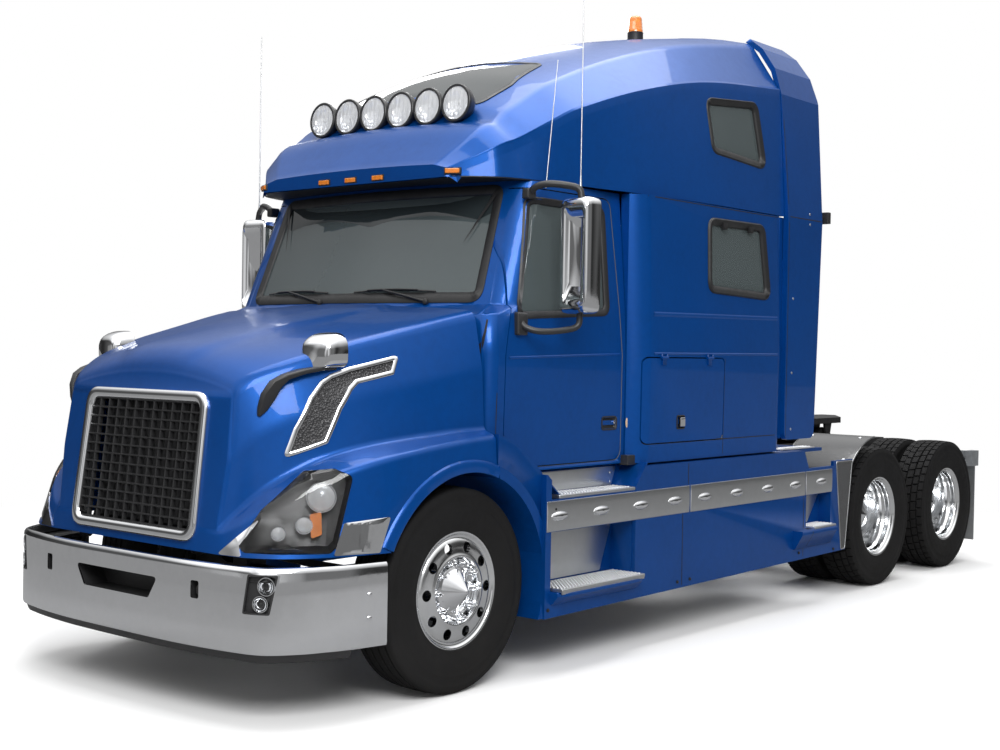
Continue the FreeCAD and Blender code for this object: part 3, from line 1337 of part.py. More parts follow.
def side_fairings():
    """Lower side panels with step openings, returns to the frame and the rear half of the front wheel arch."""
    skin = prism_x(fairing_outline(), fairing_x - fairing_sheet, fairing_x)
    shelf_low = fairing_high - fairing_sheet
    shelf = box(760.0, fairing_x, fairing_front, fairing_rear, shelf_low, fairing_high)
    rear_shelf = box(760.0, fairing_x - 100.0, fairing_rear - 10.0, fairing_rear + 445.0, shelf_low, fairing_high)
    front = box(760.0, fairing_x, fairing_front, fairing_front + fairing_sheet, fairing_low + 10.0, fairing_high)
    back = box(900.0, fairing_x, guard_foot - 51.0, guard_foot - 29.0, fairing_low + 40.0, trim_low - 40.0)
    well = fairing_x - step_depth
    well_back = box(well, well + fairing_sheet, step_front, step_rear + 40.0, fairing_low + 10.0, fairing_high - 10.0)
    floor = box(well, fairing_x, step_front, step_rear + 40.0, step_low_z - 62.0, step_low_z - 40.0)
    wells = [(step_front + 20.0, step_rear, step_low_z, trim_low)]
    wells.append((step_front + 20.0, step_rear, step_high_z, fairing_high - 30.0))
    wells.append((rear_step_front, rear_step_rear, rear_step_low, trim_low))
    arms = []
    for y in (700.0, 1800.0, 3700.0):
        arms.append(box(rail_half_spacing + seat_gap, 800.0, y, y + 60.0, 900.0, 960.0))
        arms.append(box(760.0, 800.0, y, y + 60.0, 900.0, fairing_high - 5.0))
    panel = join([skin, shelf, rear_shelf, front, back, well_back, floor] + rear_step() + arms)
    for y0, y1, z0, z1 in wells:
        panel = panel.cut(box(fairing_x - 60.0, fairing_x + 40.0, y0, y1, z0, z1))
    return Part.makeCompound(both_sides(join([panel, arch_tail()])))


def arch_lip():
    """Raised band round the left wheel arch."""
    return tube((hood_half_width - 10.0, arch_y, axle_z), AXIS_X, arch_radius + arch_lip_width, arch_radius,
                arch_lip_stand + 10.0)


def arch_tail():
    """Rear half of the left wheel arch, from the hood's fender down to the side panel."""
    rear = fairing_front + fairing_sheet
    start = hood_rear + panel_gap
    region = box(700.0, 1300.0, start, rear, fairing_low, fender_rear_z + 30.0)
    outer_skin = tube((hood_half_width - tail_sheet, arch_y, axle_z), AXIS_X, tail_radius, arch_radius, tail_sheet)
    top = tube((cab_side + 14.0, arch_y, axle_z), AXIS_X, tail_radius, tail_radius - tail_sheet,
               hood_half_width - cab_side - 14.0)
    liner = tube((700.0, arch_y, axle_z), AXIS_X, arch_radius + 16.0, arch_radius, hood_half_width - 700.0)
    keep_off = cab_form(-running_clearance, cab_floor - running_clearance, sleeper_front)
    return join([outer_skin, top, liner, arch_lip()]).common(region).cut(keep_off)


def fairing_trim():
    """Bright strips along the fairings."""
    pieces = []
    for y0, y1 in ((fairing_front + 4.0, trim_seam - 8.0), (trim_seam + 8.0, trim_rear)):
        pieces.append(box(fairing_x + 0.3, fairing_x + 0.3 + trim_sheet, y0, y1, trim_low, trim_high))
    return Part.makeCompound(pieces + [mirrored(p) for p in pieces])


def cab_steps():
    """Treads of the cab steps, the rear steps and the rear shelf."""
    well = fairing_x - step_depth + fairing_sheet
    upper = box(well + 0.3, fairing_x - 1.0, step_front + 90.0, step_rear - 0.3, step_high_z - tread_sheet, step_high_z)
    lower = box(well + 0.3, step_out, step_front + 30.0, step_rear - 0.3, step_low_z + 0.3,
                step_low_z + 0.3 + tread_sheet)
    upper.translate(V(0.0, 0.0, tread_sheet + 0.3))
    seat = step_high_z + 12.0 + seat_gap
    inner = fairing_x - rear_well_depth
    sill = box(inner + 4.0, fairing_x + 4.0, fairing_rear + 70.0, rear_step_rear + 30.0, seat, seat + tread_sheet)
    toe = box(inner + seat_gap, step_out - 4.0, rear_step_front + seat_gap, rear_step_rear - 44.0,
              rear_step_low + seat_gap, rear_step_low + 18.0)
    shelf = box(fairing_x - 220.0, fairing_x - 102.0, fairing_rear - 128.0, fairing_rear + 352.0,
                fairing_high + seat_gap, fairing_high + 10.0)
    treads = []
    for tread in (upper, lower, sill, toe, shelf):
        treads += both_sides(tread)
    return Part.makeCompound(treads)


def quarter_fenders():
    """Curved fenders before the drive wheels."""
    outer = tyre_radius + 92.0
    inner = outer - 8.0
    reach = fairing_x - fairing_sheet - running_clearance
    band = tube((640.0, first_drive_y, axle_z), AXIS_X, outer, inner, reach - 640.0)
    sector = [(first_drive_y, axle_z), (first_drive_y - 900.0, axle_z + 160.0)]
    sector += [(first_drive_y - 900.0, axle_z + 900.0), (first_drive_y - 120.0, axle_z + 900.0)]
    band = band.common(prism_x(sector, 600.0, 1250.0))
    low = rail_top - 24.0
    post = box(rail_half_spacing + seat_gap, 660.0, first_drive_y - 330.0, first_drive_y - 270.0, low, rail_top)
    riser = box(640.0, 690.0, first_drive_y - 330.0, first_drive_y - 270.0, low, rail_top + 50.0)
    fender = join([band, post, riser])
    return Part.makeCompound(both_sides(fender))


def mudflaps():
    """Rear flaps on their hanger bars."""
    bar = box(rail_half_spacing + 0.3, 1200.0, mudflap_y - 30.0, mudflap_y + 30.0, 866.0, 926.0)
    tail = box(rail_half_spacing + 0.3, rail_half_spacing + 60.0, 6300.0, mudflap_y + 10.0, 866.0, 926.0)
    flap = box(600.0, 1216.0, mudflap_y - mudflap_sheet / 2.0, mudflap_y + mudflap_sheet / 2.0, mudflap_low, 870.0)
    box_end = box(1150.0, 1216.0, mudflap_y - 50.0, rear_end, 800.0, 930.0)
    return Part.makeCompound(both_sides(join([bar, tail, flap, box_end])))


def deck_plate():
    """Tread plate over the rails behind the sleeper."""
    return box(-520.0, 520.0, 3560.0, 4080.0, rail_top + 0.3, rail_top + 34.0)


def fifth_wheel_base():
    """Side brackets and crossing plate that carry the fifth wheel."""
    pieces = []
    for side in (-1, 1):
        x = side * 400.0
        y = fifth_wheel_y
        low = rail_top + seat_gap
        bracket = [(y - 160.0, rail_top + 24.0), (y + 160.0, rail_top + 24.0), (y + 50.0, 1130.0), (y - 50.0, 1130.0)]
        pieces.append(prism_x(bracket, x - 26.0, x + 26.0))
        pieces.append(rod((x - 60.0, y, fifth_pin_z), AXIS_X, fifth_pin_radius, 120.0))
        pieces.append(box(x - 80.0, x + 80.0, y - 330.0, y + 330.0, low, rail_top + 26.0))
    pieces.append(box(-400.0, 400.0, y - 100.0, y + 100.0, low, rail_top + 26.0))
    return join(pieces)


def fifth_wheel():
    """Coupling plate with its slot, tilting about a pin across the truck."""
    y = fifth_wheel_y
    half = fifth_half_width
    outline = [(-half + 90.0, y - 400.0), (half - 90.0, y - 400.0), (half, y - 250.0), (half, y + 180.0)]
    outline += [(260.0, y + 520.0), (140.0, y + 520.0), (kingpin_throat, y + 60.0), (kingpin_throat, y)]
    outline += [(-kingpin_throat, y), (-kingpin_throat, y + 60.0), (-140.0, y + 520.0), (-260.0, y + 520.0)]
    outline += [(-half, y + 180.0), (-half, y - 250.0)]
    plate = prism_z(outline, fifth_wheel_top - fifth_plate, fifth_wheel_top)
    plate = plate.cut(rod((0.0, y, fifth_wheel_top - 100.0), AXIS_Z, kingpin_throat, 200.0))
    lugs = []
    for side in (-1, 1):
        for dx in (-50.0, 50.0):
            x = side * 400.0 + dx
            top = fifth_wheel_top - fifth_plate + 2.0
            lug = [(y - 60.0, top), (y + 60.0, top), (y + 34.0, 1072.0), (y - 34.0, 1072.0)]
            lugs.append(prism_x(lug, x - 9.0, x + 9.0))
    body = join([plate] + lugs)
    for side in (-1, 1):
        body = body.cut(rod((side * 400.0 - 90.0, y, fifth_pin_z), AXIS_X, fifth_pin_radius + pivot_clearance, 180.0))
    return body


def save(name, shape):
    """Write one node, moved so that the truck stands over the origin."""
    shape = shape.copy()
    shape.translate(V(0.0, -origin_y, 0.0))
    if not shape.isValid():
        print("not valid", name)
    if len(shape.Solids) == 1:
        shape = shape.Solids[0]
    shape.exportStep("parts/" + name + ".step")


def save_pair(name, left):
    """Write the left and the right piece of a pair."""
    save(name + "_left", left)
    save(name + "_right", mirrored(left))


def placed(shape, y):
    """Copy of a wheel piece moved back to its axle."""
    copy = shape.copy()
    copy.translate(V(0.0, y, 0.0))
    return copy


def main():
    """Build and save every node."""
    os.makedirs("parts", exist_ok=True)
    fixed = {"ladder_frame": ladder_frame, "cab_mounts": cab_mounts, "engine": engine, "radiator": radiator,
             "front_axle": front_axle, "drive_axles": drive_axles, "drive_suspension": drive_suspension, "fuel_tanks": fuel_tanks,
             "cab_body": cab_body, "sleeper_body": sleeper_body, "roof_cap": roof_cap,
             "side_extenders": side_extenders, "fixed_glass": fixed_glass, "dashboard": dashboard,
             "seats": seats, "steering_wheel": steering_wheel, "side_fairings": side_fairings,
             "fairing_trim": fairing_trim, "cab_steps": cab_steps, "bumper": bumper, "fog_lamps": fog_lamps,
             "quarter_fenders": quarter_fenders, "mudflaps": mudflaps, "deck_plate": deck_plate,
             "roof_lamps": roof_lamps, "marker_lamps": signal_lamps, "beacon": beacon, "wipers": wipers,
             "fifth_wheel_base": fifth_wheel_base, "hood": hood, "grille_surround": grille_surround,
             "grille_mesh": grille_mesh, "headlamps": headlamps, "side_vents": side_vents,
             "hood_mirrors": hood_mirrors, "tie_rod": tie_rod, "fifth_wheel": fifth_wheel}
    for name, build in fixed.items():
        save(name, build())
    save_pair("door", door())
    save_pair("door_glass", door_glass())
    save_pair("door_mirror", door_mirror())
    save_pair("baggage_door", baggage_door())
    save_pair("knuckle", knuckle())
    save_pair("front_tyre", tyre(front_wheel_x, 0.0))
    save_pair("front_rim", front_rim())
    twin = Part.makeCompound([tyre(twin_outer_x, 0.0), tyre(twin_inner_x, 0.0)])
    rims = drive_rim()
    for axle, y in (("drive1", first_drive_y), ("drive2", second_drive_y)):
        save_pair(axle + "_tyres", placed(twin, y))
        save_pair(axle + "_rims", placed(rims, y))


main()
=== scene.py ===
"""Semi truck tractor unit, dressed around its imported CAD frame.

Sizes are in metres. Pieces are drawn in truck coordinates: X across with the
truck's left positive, Y backwards from the front axle, Z up from the ground.
Every finished piece is moved onto the frame when it is placed.
"""
import sys

import json
import logging
import math
from collections.abc import Sequence
from dataclasses import dataclass
from enum import Enum

import bmesh
import bpy
from mathutils import Matrix, Vector
from mathutils.bvhtree import BVHTree
from mathutils.geometry import delaunay_2d_cdt, tessellate_polygon


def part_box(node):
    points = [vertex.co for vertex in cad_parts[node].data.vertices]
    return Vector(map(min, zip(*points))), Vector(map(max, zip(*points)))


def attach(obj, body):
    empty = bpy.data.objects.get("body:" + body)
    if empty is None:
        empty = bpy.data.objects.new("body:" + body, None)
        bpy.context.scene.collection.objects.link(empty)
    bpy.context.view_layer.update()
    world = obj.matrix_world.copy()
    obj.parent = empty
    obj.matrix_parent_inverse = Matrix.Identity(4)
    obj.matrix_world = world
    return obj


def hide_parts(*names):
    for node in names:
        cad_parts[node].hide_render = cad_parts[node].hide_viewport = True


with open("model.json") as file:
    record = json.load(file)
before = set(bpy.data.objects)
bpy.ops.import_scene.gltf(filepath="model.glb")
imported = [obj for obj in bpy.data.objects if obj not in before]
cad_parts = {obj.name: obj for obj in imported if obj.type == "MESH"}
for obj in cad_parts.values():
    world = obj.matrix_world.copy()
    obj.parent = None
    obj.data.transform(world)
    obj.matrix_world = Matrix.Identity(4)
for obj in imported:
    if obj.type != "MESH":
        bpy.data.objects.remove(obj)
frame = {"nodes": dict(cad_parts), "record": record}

Pair = tuple[float, float]
Triple = tuple[float, float, float]
log = logging.getLogger("tractor")


def clear_defaults() -> None:
    """Remove the objects that Blender starts with."""
    for name in ("Cube", "Light", "Camera"):
        if name in bpy.data.objects:
            bpy.data.objects.remove(bpy.data.objects[name])


clear_defaults()
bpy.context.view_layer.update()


def axle_offset() -> Vector:
    """Return the front axle's place along the frame."""
    low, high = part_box("front_rim_left")
    return Vector((0.0, (low[1] + high[1]) / 2.0, 0.0))


AXLE = axle_offset()


class Side(Enum):
    """The truck's two sides, by the sign of X."""

    LEFT = 1
    RIGHT = -1

    @property
    def word(self) -> str:
        """Name ending of the side."""
        return self.name.lower()


# Finishes


class Grain(Enum):
    """How a finish varies over its surface."""

    FLAKE = "flake"
    POLISH = "polish"
    BRUSH = "brush"
    SATIN = "satin"
    CAST = "cast"
    MOULDED = "moulded"
    RUBBER = "rubber"
    WOVEN = "woven"
    CLEAR = "clear"
    RIBBED = "ribbed"
    FINS = "fins"
    MESH = "mesh"


@dataclass(frozen=True)
class Pattern:
    """Fine texture of a grain: its kind, its size per metre and its relief."""

    kind: str
    size: float
    stretch: Triple = (1.0, 1.0, 1.0)
    relief: float = 0.0002
    swing: float = 0.08
    stain: float = 0.1


PATTERNS = {
    Grain.FLAKE: Pattern("cells", 900.0, relief=0.00002, swing=0.03, stain=0.1),
    Grain.POLISH: Pattern("cloud", 14.0, relief=0.00012, swing=0.05, stain=0.03),
    Grain.BRUSH: Pattern("cloud", 30.0, (1.0, 0.6, 40.0), relief=0.00005, swing=0.03, stain=0.04),
    Grain.SATIN: Pattern("cloud", 120.0, relief=0.00015, swing=0.12, stain=0.18),
    Grain.CAST: Pattern("cloud", 260.0, relief=0.0008, swing=0.15, stain=0.3),
    Grain.MOULDED: Pattern("cells", 420.0, relief=0.00006, swing=0.08, stain=0.1),
    Grain.RUBBER: Pattern("cloud", 190.0, relief=0.00035, swing=0.12, stain=0.28),
    Grain.WOVEN: Pattern("weave", 240.0, relief=0.0006, swing=0.1, stain=0.2),
    Grain.CLEAR: Pattern("cloud", 1.5, relief=0.00001, swing=0.005, stain=0.02),
    Grain.RIBBED: Pattern("ribs", 60.0, relief=0.0012, swing=0.03, stain=0.05),
    Grain.MESH: Pattern("cells", 95.0, relief=0.006, swing=0.1, stain=0.1),
    Grain.FINS: Pattern("ribs", 55.0, relief=0.004, swing=0.1, stain=0.25),
}


class NodeDesk:
    """Small helper that adds and links shader nodes."""

    def __init__(self, tree: bpy.types.NodeTree) -> None:
        """Start on an emptied tree."""
        self.tree = tree
        tree.nodes.clear()

    def add(self, kind: str, settings: dict | None = None, **values: object) -> bpy.types.Node:
        """Add a node.

        Args:
            kind: Blender's node type name.
            settings: Node properties.
            values: Input values or output sockets to link, by the input's name with _ for a space, or
                by i and the input's number.

        Returns:
            The new node.
        """
        node = self.tree.nodes.new(kind)
        for key, value in (settings or {}).items():
            setattr(node, key, value)
        for key, value in values.items():
            numbered = key[0] == "i" and key[1:].isdigit()
            socket = node.inputs[int(key[1:]) if numbered else key.replace("_", " ")]
            if isinstance(value, bpy.types.NodeSocket):
                self.tree.links.new(value, socket)
            else:
                socket.default_value = value
        return node

    def span(self, value: bpy.types.NodeSocket, low: float, high: float, start: float = 0.0,
             end: float = 1.0) -> bpy.types.NodeSocket:
        """Return a value mapped from start..end to low..high."""
        return self.add("ShaderNodeMapRange", Value=value, From_Min=start, From_Max=end, To_Min=low,
                        To_Max=high).outputs[0]

    def blend(self, share: object, first: object, second: object) -> bpy.types.NodeSocket:
        """Return a colour between two colours.

        Args:
            share: How much of the second colour, as a number or a socket.
            first: The colour at 0.
            second: The colour at 1.

        Returns:
            The mixed colour's socket.
        """
        node = self.tree.nodes.new("ShaderNodeMix")
        node.data_type = "RGBA"
        for index, value in ((0, share), (6, first), (7, second)):
            if isinstance(value, bpy.types.NodeSocket):
                self.tree.links.new(value, node.inputs[index])
            else:
                node.inputs[index].default_value = value
        return node.outputs[2]

    def times(self, first: object, second: object) -> bpy.types.NodeSocket:
        """Return the product of two numbers."""
        return self.add("ShaderNodeMath", {"operation": "MULTIPLY"}, i0=first, i1=second).outputs[0]


def tint(colour: Triple, by: float) -> tuple[float, float, float, float]:
    """Return a colour made lighter or darker by a factor, with full alpha."""
    return (colour[0] * by, colour[1] * by, colour[2] * by, 1.0)


WHITE = (1.0, 1.0, 1.0, 1.0)
DUST = (0.23, 0.21, 0.18, 1.0)
DUST_TOP = 1.3
SPECK_SHADE = 0.72
COAT_ROUGH = 0.03
WAVE_TURN = 6.3


@dataclass(frozen=True)
class Finish:
    """A surface finish: colour, gloss and the way both vary."""

    name: str
    slot: str
    colour: Triple
    grain: Grain
    metal: float = 0.0
    rough: float = 0.5
    coat: float = 0.0
    clear: float = 0.0
    index: float = 1.45
    dust: float = 0.0

    def material(self) -> bpy.types.Material:
        """Return the finish's material, made on first use."""
        if self.name in bpy.data.materials:
            return bpy.data.materials[self.name]
        made = bpy.data.materials.new(self.name)
        made.use_nodes = True
        desk = NodeDesk(made.node_tree)
        pattern = PATTERNS[self.grain]
        place = desk.add("ShaderNodeTexCoord").outputs["Object"]
        broad = desk.add("ShaderNodeTexNoise", Vector=place, Scale=2.3, Detail=4.0, Roughness=0.6).outputs[0]
        small = desk.add("ShaderNodeTexNoise", Vector=place, Scale=21.0, Detail=5.0, Roughness=0.7).outputs[0]
        fine = self.fine(desk, place, pattern)
        worn = desk.times(broad, small)
        colour = desk.blend(desk.span(worn, 0.0, 1.0, 0.12, 0.42), tint(self.colour, 1.0 + pattern.stain),
                            tint(self.colour, 1.0 - pattern.stain))
        if self.grain in (Grain.FLAKE, Grain.RUBBER, Grain.WOVEN, Grain.CAST):
            colour = desk.blend(desk.span(fine, 0.0, 0.35), colour, tint(self.colour, SPECK_SHADE))
        if self.dust > 0.0:
            height = desk.add("ShaderNodeSeparateXYZ", Vector=place).outputs[2]
            low = desk.span(height, self.dust, 0.0, 0.0, DUST_TOP)
            colour = desk.blend(desk.times(low, desk.span(small, 0.2, 1.6, 0.3, 0.7)), colour, DUST)
        rough = desk.span(worn, max(self.rough - pattern.swing, 0.02), min(self.rough + pattern.swing, 1.0),
                          0.1, 0.45)
        relief = desk.add("ShaderNodeBump", Height=fine, Strength=1.0, Distance=pattern.relief).outputs[0]
        shader = desk.add("ShaderNodeBsdfPrincipled", Base_Color=colour, Roughness=rough, Normal=relief,
                          Metallic=self.metal, IOR=self.index)
        shader.inputs["Coat Weight"].default_value = self.coat
        shader.inputs["Coat Roughness"].default_value = COAT_ROUGH
        shader.inputs["Transmission Weight"].default_value = self.clear
        out = desk.add("ShaderNodeOutputMaterial", Surface=shader.outputs[0])
        out.is_active_output = True
        made.diffuse_color = tint(self.colour, 1.0)
        return made

    @staticmethod
    def fine(desk: NodeDesk, place: bpy.types.NodeSocket, pattern: Pattern) -> bpy.types.NodeSocket:
        """Return the fine texture's height.

        Args:
            desk: Where the nodes are added.
            place: The object coordinates.
            pattern: The kind and size of the texture.

        Returns:
            The height's socket.
        """
        spot = desk.add("ShaderNodeMapping", Vector=place, Scale=pattern.stretch).outputs[0]
        if pattern.kind == "cells":
            return desk.add("ShaderNodeTexVoronoi", Vector=spot, Scale=pattern.size).outputs["Distance"]
        if pattern.kind in ("ribs", "weave"):
            waves = [desk.add("ShaderNodeTexWave", {"bands_direction": way}, Vector=spot,
                              Scale=pattern.size / WAVE_TURN).outputs["Fac"]
                     for way in ("XZ" if pattern.kind == "weave" else "X")]
            return desk.times(*waves) if len(waves) > 1 else waves[0]
        return desk.add("ShaderNodeTexNoise", Vector=spot, Scale=pattern.size, Detail=3.0).outputs[0]


BLUE = Finish("blue_paint_finish", "blue_paint", (0.0008, 0.056, 0.258), Grain.FLAKE, metal=0.42, rough=0.34,
              coat=0.28, index=1.22)
# Painted shade: the body blue darkened to about 0.87 of its colour, for the low fairings, the step boxes and
# the fillers in the extender gaps, where shade falls.
BLUE_PAINTED_SHADE = Finish("blue_panel_finish", "blue_trim_paint", (0.0008, 0.049, 0.225), Grain.FLAKE, metal=0.4,
                   rough=0.36, coat=0.24, index=1.22)
CHROME = Finish("chrome_finish", "chrome", (0.83, 0.84, 0.86), Grain.POLISH, metal=1.0, rough=0.07)
STAINLESS = Finish("stainless_finish", "stainless", (0.58, 0.59, 0.6), Grain.BRUSH, metal=1.0, rough=0.34)
TREAD_METAL = Finish("tread_metal_finish", "tread_metal", (0.62, 0.63, 0.64), Grain.BRUSH, metal=1.0,
                     rough=0.38, dust=0.04)
WHEEL_METAL = Finish("wheel_metal_finish", "wheel_metal", (0.8, 0.81, 0.82), Grain.POLISH, metal=1.0,
                     rough=0.13)
TYRE = Finish("tyre_finish", "tyre", (0.0085, 0.0085, 0.009), Grain.RUBBER, rough=0.66, index=1.2, dust=0.02)
FRAME_BLACK = Finish("frame_black_finish", "frame_black", (0.013, 0.013, 0.014), Grain.SATIN, rough=0.42,
                     index=1.3, dust=0.05)
CAST = Finish("cast_black_finish", "cast", (0.018, 0.018, 0.019), Grain.CAST, rough=0.55, index=1.3,
              dust=0.08)
GRILLE_BLACK = Finish("grille_black_finish", "grille_black", (0.019, 0.019, 0.02), Grain.MOULDED, rough=0.36)
BLACK_PLASTIC = Finish("black_plastic_finish", "black_plastic", (0.018, 0.018, 0.019), Grain.MOULDED,
                       rough=0.45)
SEAL = Finish("seal_rubber_finish", "black_plastic", (0.012, 0.012, 0.013), Grain.RUBBER, rough=0.5)
GLASS = Finish("tinted_glass_finish", "glass", (0.105, 0.13, 0.134), Grain.CLEAR, rough=0.03, clear=0.42)
VISOR = Finish("visor_shade_finish", "glass", (0.02, 0.026, 0.028), Grain.CLEAR, rough=0.06)
LENS = Finish("clear_lens_finish", "lamp_lens", (0.95, 0.96, 0.97), Grain.CLEAR, rough=0.02, clear=1.0)
RIBBED_LENS = Finish("ribbed_lens_finish", "lamp_lens", (0.93, 0.94, 0.95), Grain.RIBBED, rough=0.12,
                     clear=0.55)
AMBER = Finish("amber_lens_finish", "amber_lens", (0.85, 0.24, 0.02), Grain.RIBBED, rough=0.12, coat=0.8,
               clear=0.25)
INTERIOR = Finish("interior_grey_finish", "interior_grey", (0.13, 0.135, 0.14), Grain.MOULDED, rough=0.62)
FABRIC = Finish("seat_fabric_finish", "seat_fabric", (0.075, 0.082, 0.1), Grain.WOVEN, rough=0.85)
FLAP = Finish("flap_rubber_finish", "flap_rubber", (0.14, 0.15, 0.16), Grain.RUBBER, rough=0.65, dust=0.2)
FENDER_GREY = Finish("fender_plastic_finish", "grey_plastic", (0.028, 0.029, 0.031), Grain.MOULDED,
                     rough=0.2, coat=0.5)
WOVEN_MESH = Finish("woven_mesh_finish", "grille_black", (0.045, 0.045, 0.047), Grain.MESH, metal=0.5,
                    rough=0.38)
AMBER_PALE = Finish("reflector_finish", "amber_lens", (0.55, 0.4, 0.26), Grain.RIBBED, rough=0.2, coat=0.6)
CORE = Finish("radiator_core_finish", "frame_black", (0.035, 0.035, 0.037), Grain.FINS, metal=0.4, rough=0.5)


# Mesh making

ORIGIN = (0.0, 0.0, 0.0)
ALONG_X = (1.0, 0.0, 0.0)
ALONG_Y = (0.0, 1.0, 0.0)
ALONG_Z = (0.0, 0.0, 1.0)
DOWN = (0.0, 0.0, -1.0)
MOST_RUN = 0.48
CORNER_STEPS = 6
SIDE_PARTS = 8
SIDE_EYE = 1.6


def shift(x: float, y: float, z: float) -> Matrix:
    """Return the matrix of a move."""
    return Matrix.Translation((x, y, z))


def curve(keys: Sequence[Pair], at: float) -> float:
    """Smooth value between keys.

    Args:
        keys: (place, value) pairs in rising order of place.
        at: Where the value is wanted.

    Returns:
        The value on a cubic through the keys, held level outside them.
    """
    if at <= keys[0][0]:
        return keys[0][1]
    if at >= keys[-1][0]:
        return keys[-1][1]
    k = max(i for i in range(len(keys) - 1) if keys[i][0] <= at)
    (x0, y0), (x1, y1) = keys[k], keys[k + 1]
    run = x1 - x0
    before = keys[k - 1] if k else (x0 - run, y0 - (y1 - y0))
    after = keys[k + 2] if k + 2 < len(keys) else (x1 + run, y1 + (y1 - y0))
    m0 = (y1 - before[1]) / (x1 - before[0]) * run
    m1 = (after[1] - y0) / (after[0] - x0) * run
    t = (at - x0) / run
    return ((2 * t ** 3 - 3 * t ** 2 + 1) * y0 + (t ** 3 - 2 * t ** 2 + t) * m0
            + (3 * t ** 2 - 2 * t ** 3) * y1 + (t ** 3 - t ** 2) * m1)


def spread(low: float, high: float, count: int) -> list[float]:
    """Return evenly spread numbers, both ends included."""
    return [low + (high - low) * k / (count - 1) for k in range(count)]


def smooth_path(points: Sequence[Sequence[float]], steps: int = 8) -> list[Vector]:
    """Return a smooth line through points, with steps pieces between each two.

    Args:
        points: What the line passes through.
        steps: Pieces between two points.

    Returns:
        The line's points.
    """
    path = [Vector(p) for p in points]
    line = []
    for k in range(len(path) - 1):
        before = path[k - 1] if k else path[0] * 2.0 - path[1]
        after = path[k + 2] if k + 2 < len(path) else path[-1] * 2.0 - path[-2]
        for s in range(steps):
            t = s / steps
            line.append(0.5 * (2.0 * path[k] + (path[k + 1] - before) * t
                               + (2.0 * before - 5.0 * path[k] + 4.0 * path[k + 1] - after) * t * t
                               + (3.0 * path[k] - before - 3.0 * path[k + 1] + after) * t ** 3))
    line.append(path[-1])
    return line


def rounded(points: Sequence[Sequence[float]], radius: float | Sequence[float], steps: int = 5,
            closed: bool = True) -> list[Vector]:
    """Polyline with its corners rounded.

    Args:
        points: Corner points in two or three dimensions.
        radius: Corner radius, or one for each point, made smaller where a side is short.
        steps: Pieces in each corner.
        closed: Whether the last point leads back to the first.

    Returns:
        The points of the rounded line, steps + 1 for each rounded corner.
    """
    path = [Vector(p) for p in points]
    count = len(path)
    line: list[Vector] = []
    for k, corner in enumerate(path):
        if not closed and k in (0, count - 1):
            line.append(corner.copy())
            continue
        back = path[k - 1] - corner
        ahead = path[(k + 1) % count] - corner
        half = max(back.angle(ahead) / 2.0, 0.02)
        wanted = radius if isinstance(radius, (int, float)) else radius[k]
        run = min(wanted / math.tan(half), back.length * MOST_RUN, ahead.length * MOST_RUN)
        start = corner + back.normalized() * run
        end = corner + ahead.normalized() * run
        for s in range(steps + 1):
            t = s / steps
            line.append(start * (1 - t) ** 2 + corner * (2 * t * (1 - t)) + end * t * t)
    return line


def grown(points: Sequence[Sequence[float]], amount: float) -> list[Vector]:
    """Return a closed flat outline with every side moved outwards by an amount.

    Args:
        points: The outline's corners.
        amount: How far the sides move, negative for inwards.

    Returns:
        The new corners.
    """
    path = [Vector((p[0], p[1])) for p in points]
    count = len(path)
    area = sum(path[k - 1].x * path[k].y - path[k].x * path[k - 1].y for k in range(count))
    turn = -1.0 if area > 0 else 1.0
    lines = []
    for k in range(count):
        along = (path[(k + 1) % count] - path[k]).normalized()
        normal = Vector((-along.y, along.x)) * turn
        lines.append((normal, normal.dot(path[k]) + amount))
    moved = []
    for k in range(count):
        (n0, c0), (n1, c1) = lines[k - 1], lines[k]
        det = n0.x * n1.y - n1.x * n0.y
        if abs(det) < 1e-6:
            moved.append(path[k] + n1 * amount)
        else:
            moved.append(Vector(((c0 * n1.y - c1 * n0.y) / det, (n0.x * c1 - n1.x * c0) / det)))
    return moved


def across(aim: Vector) -> tuple[Vector, Vector]:
    """Return two unit vectors square to a direction and to each other."""
    up = Vector(ALONG_Z) if abs(aim.z) < 0.95 else Vector(ALONG_Y)
    first = aim.cross(up).normalized()
    return first, first.cross(aim).normalized()


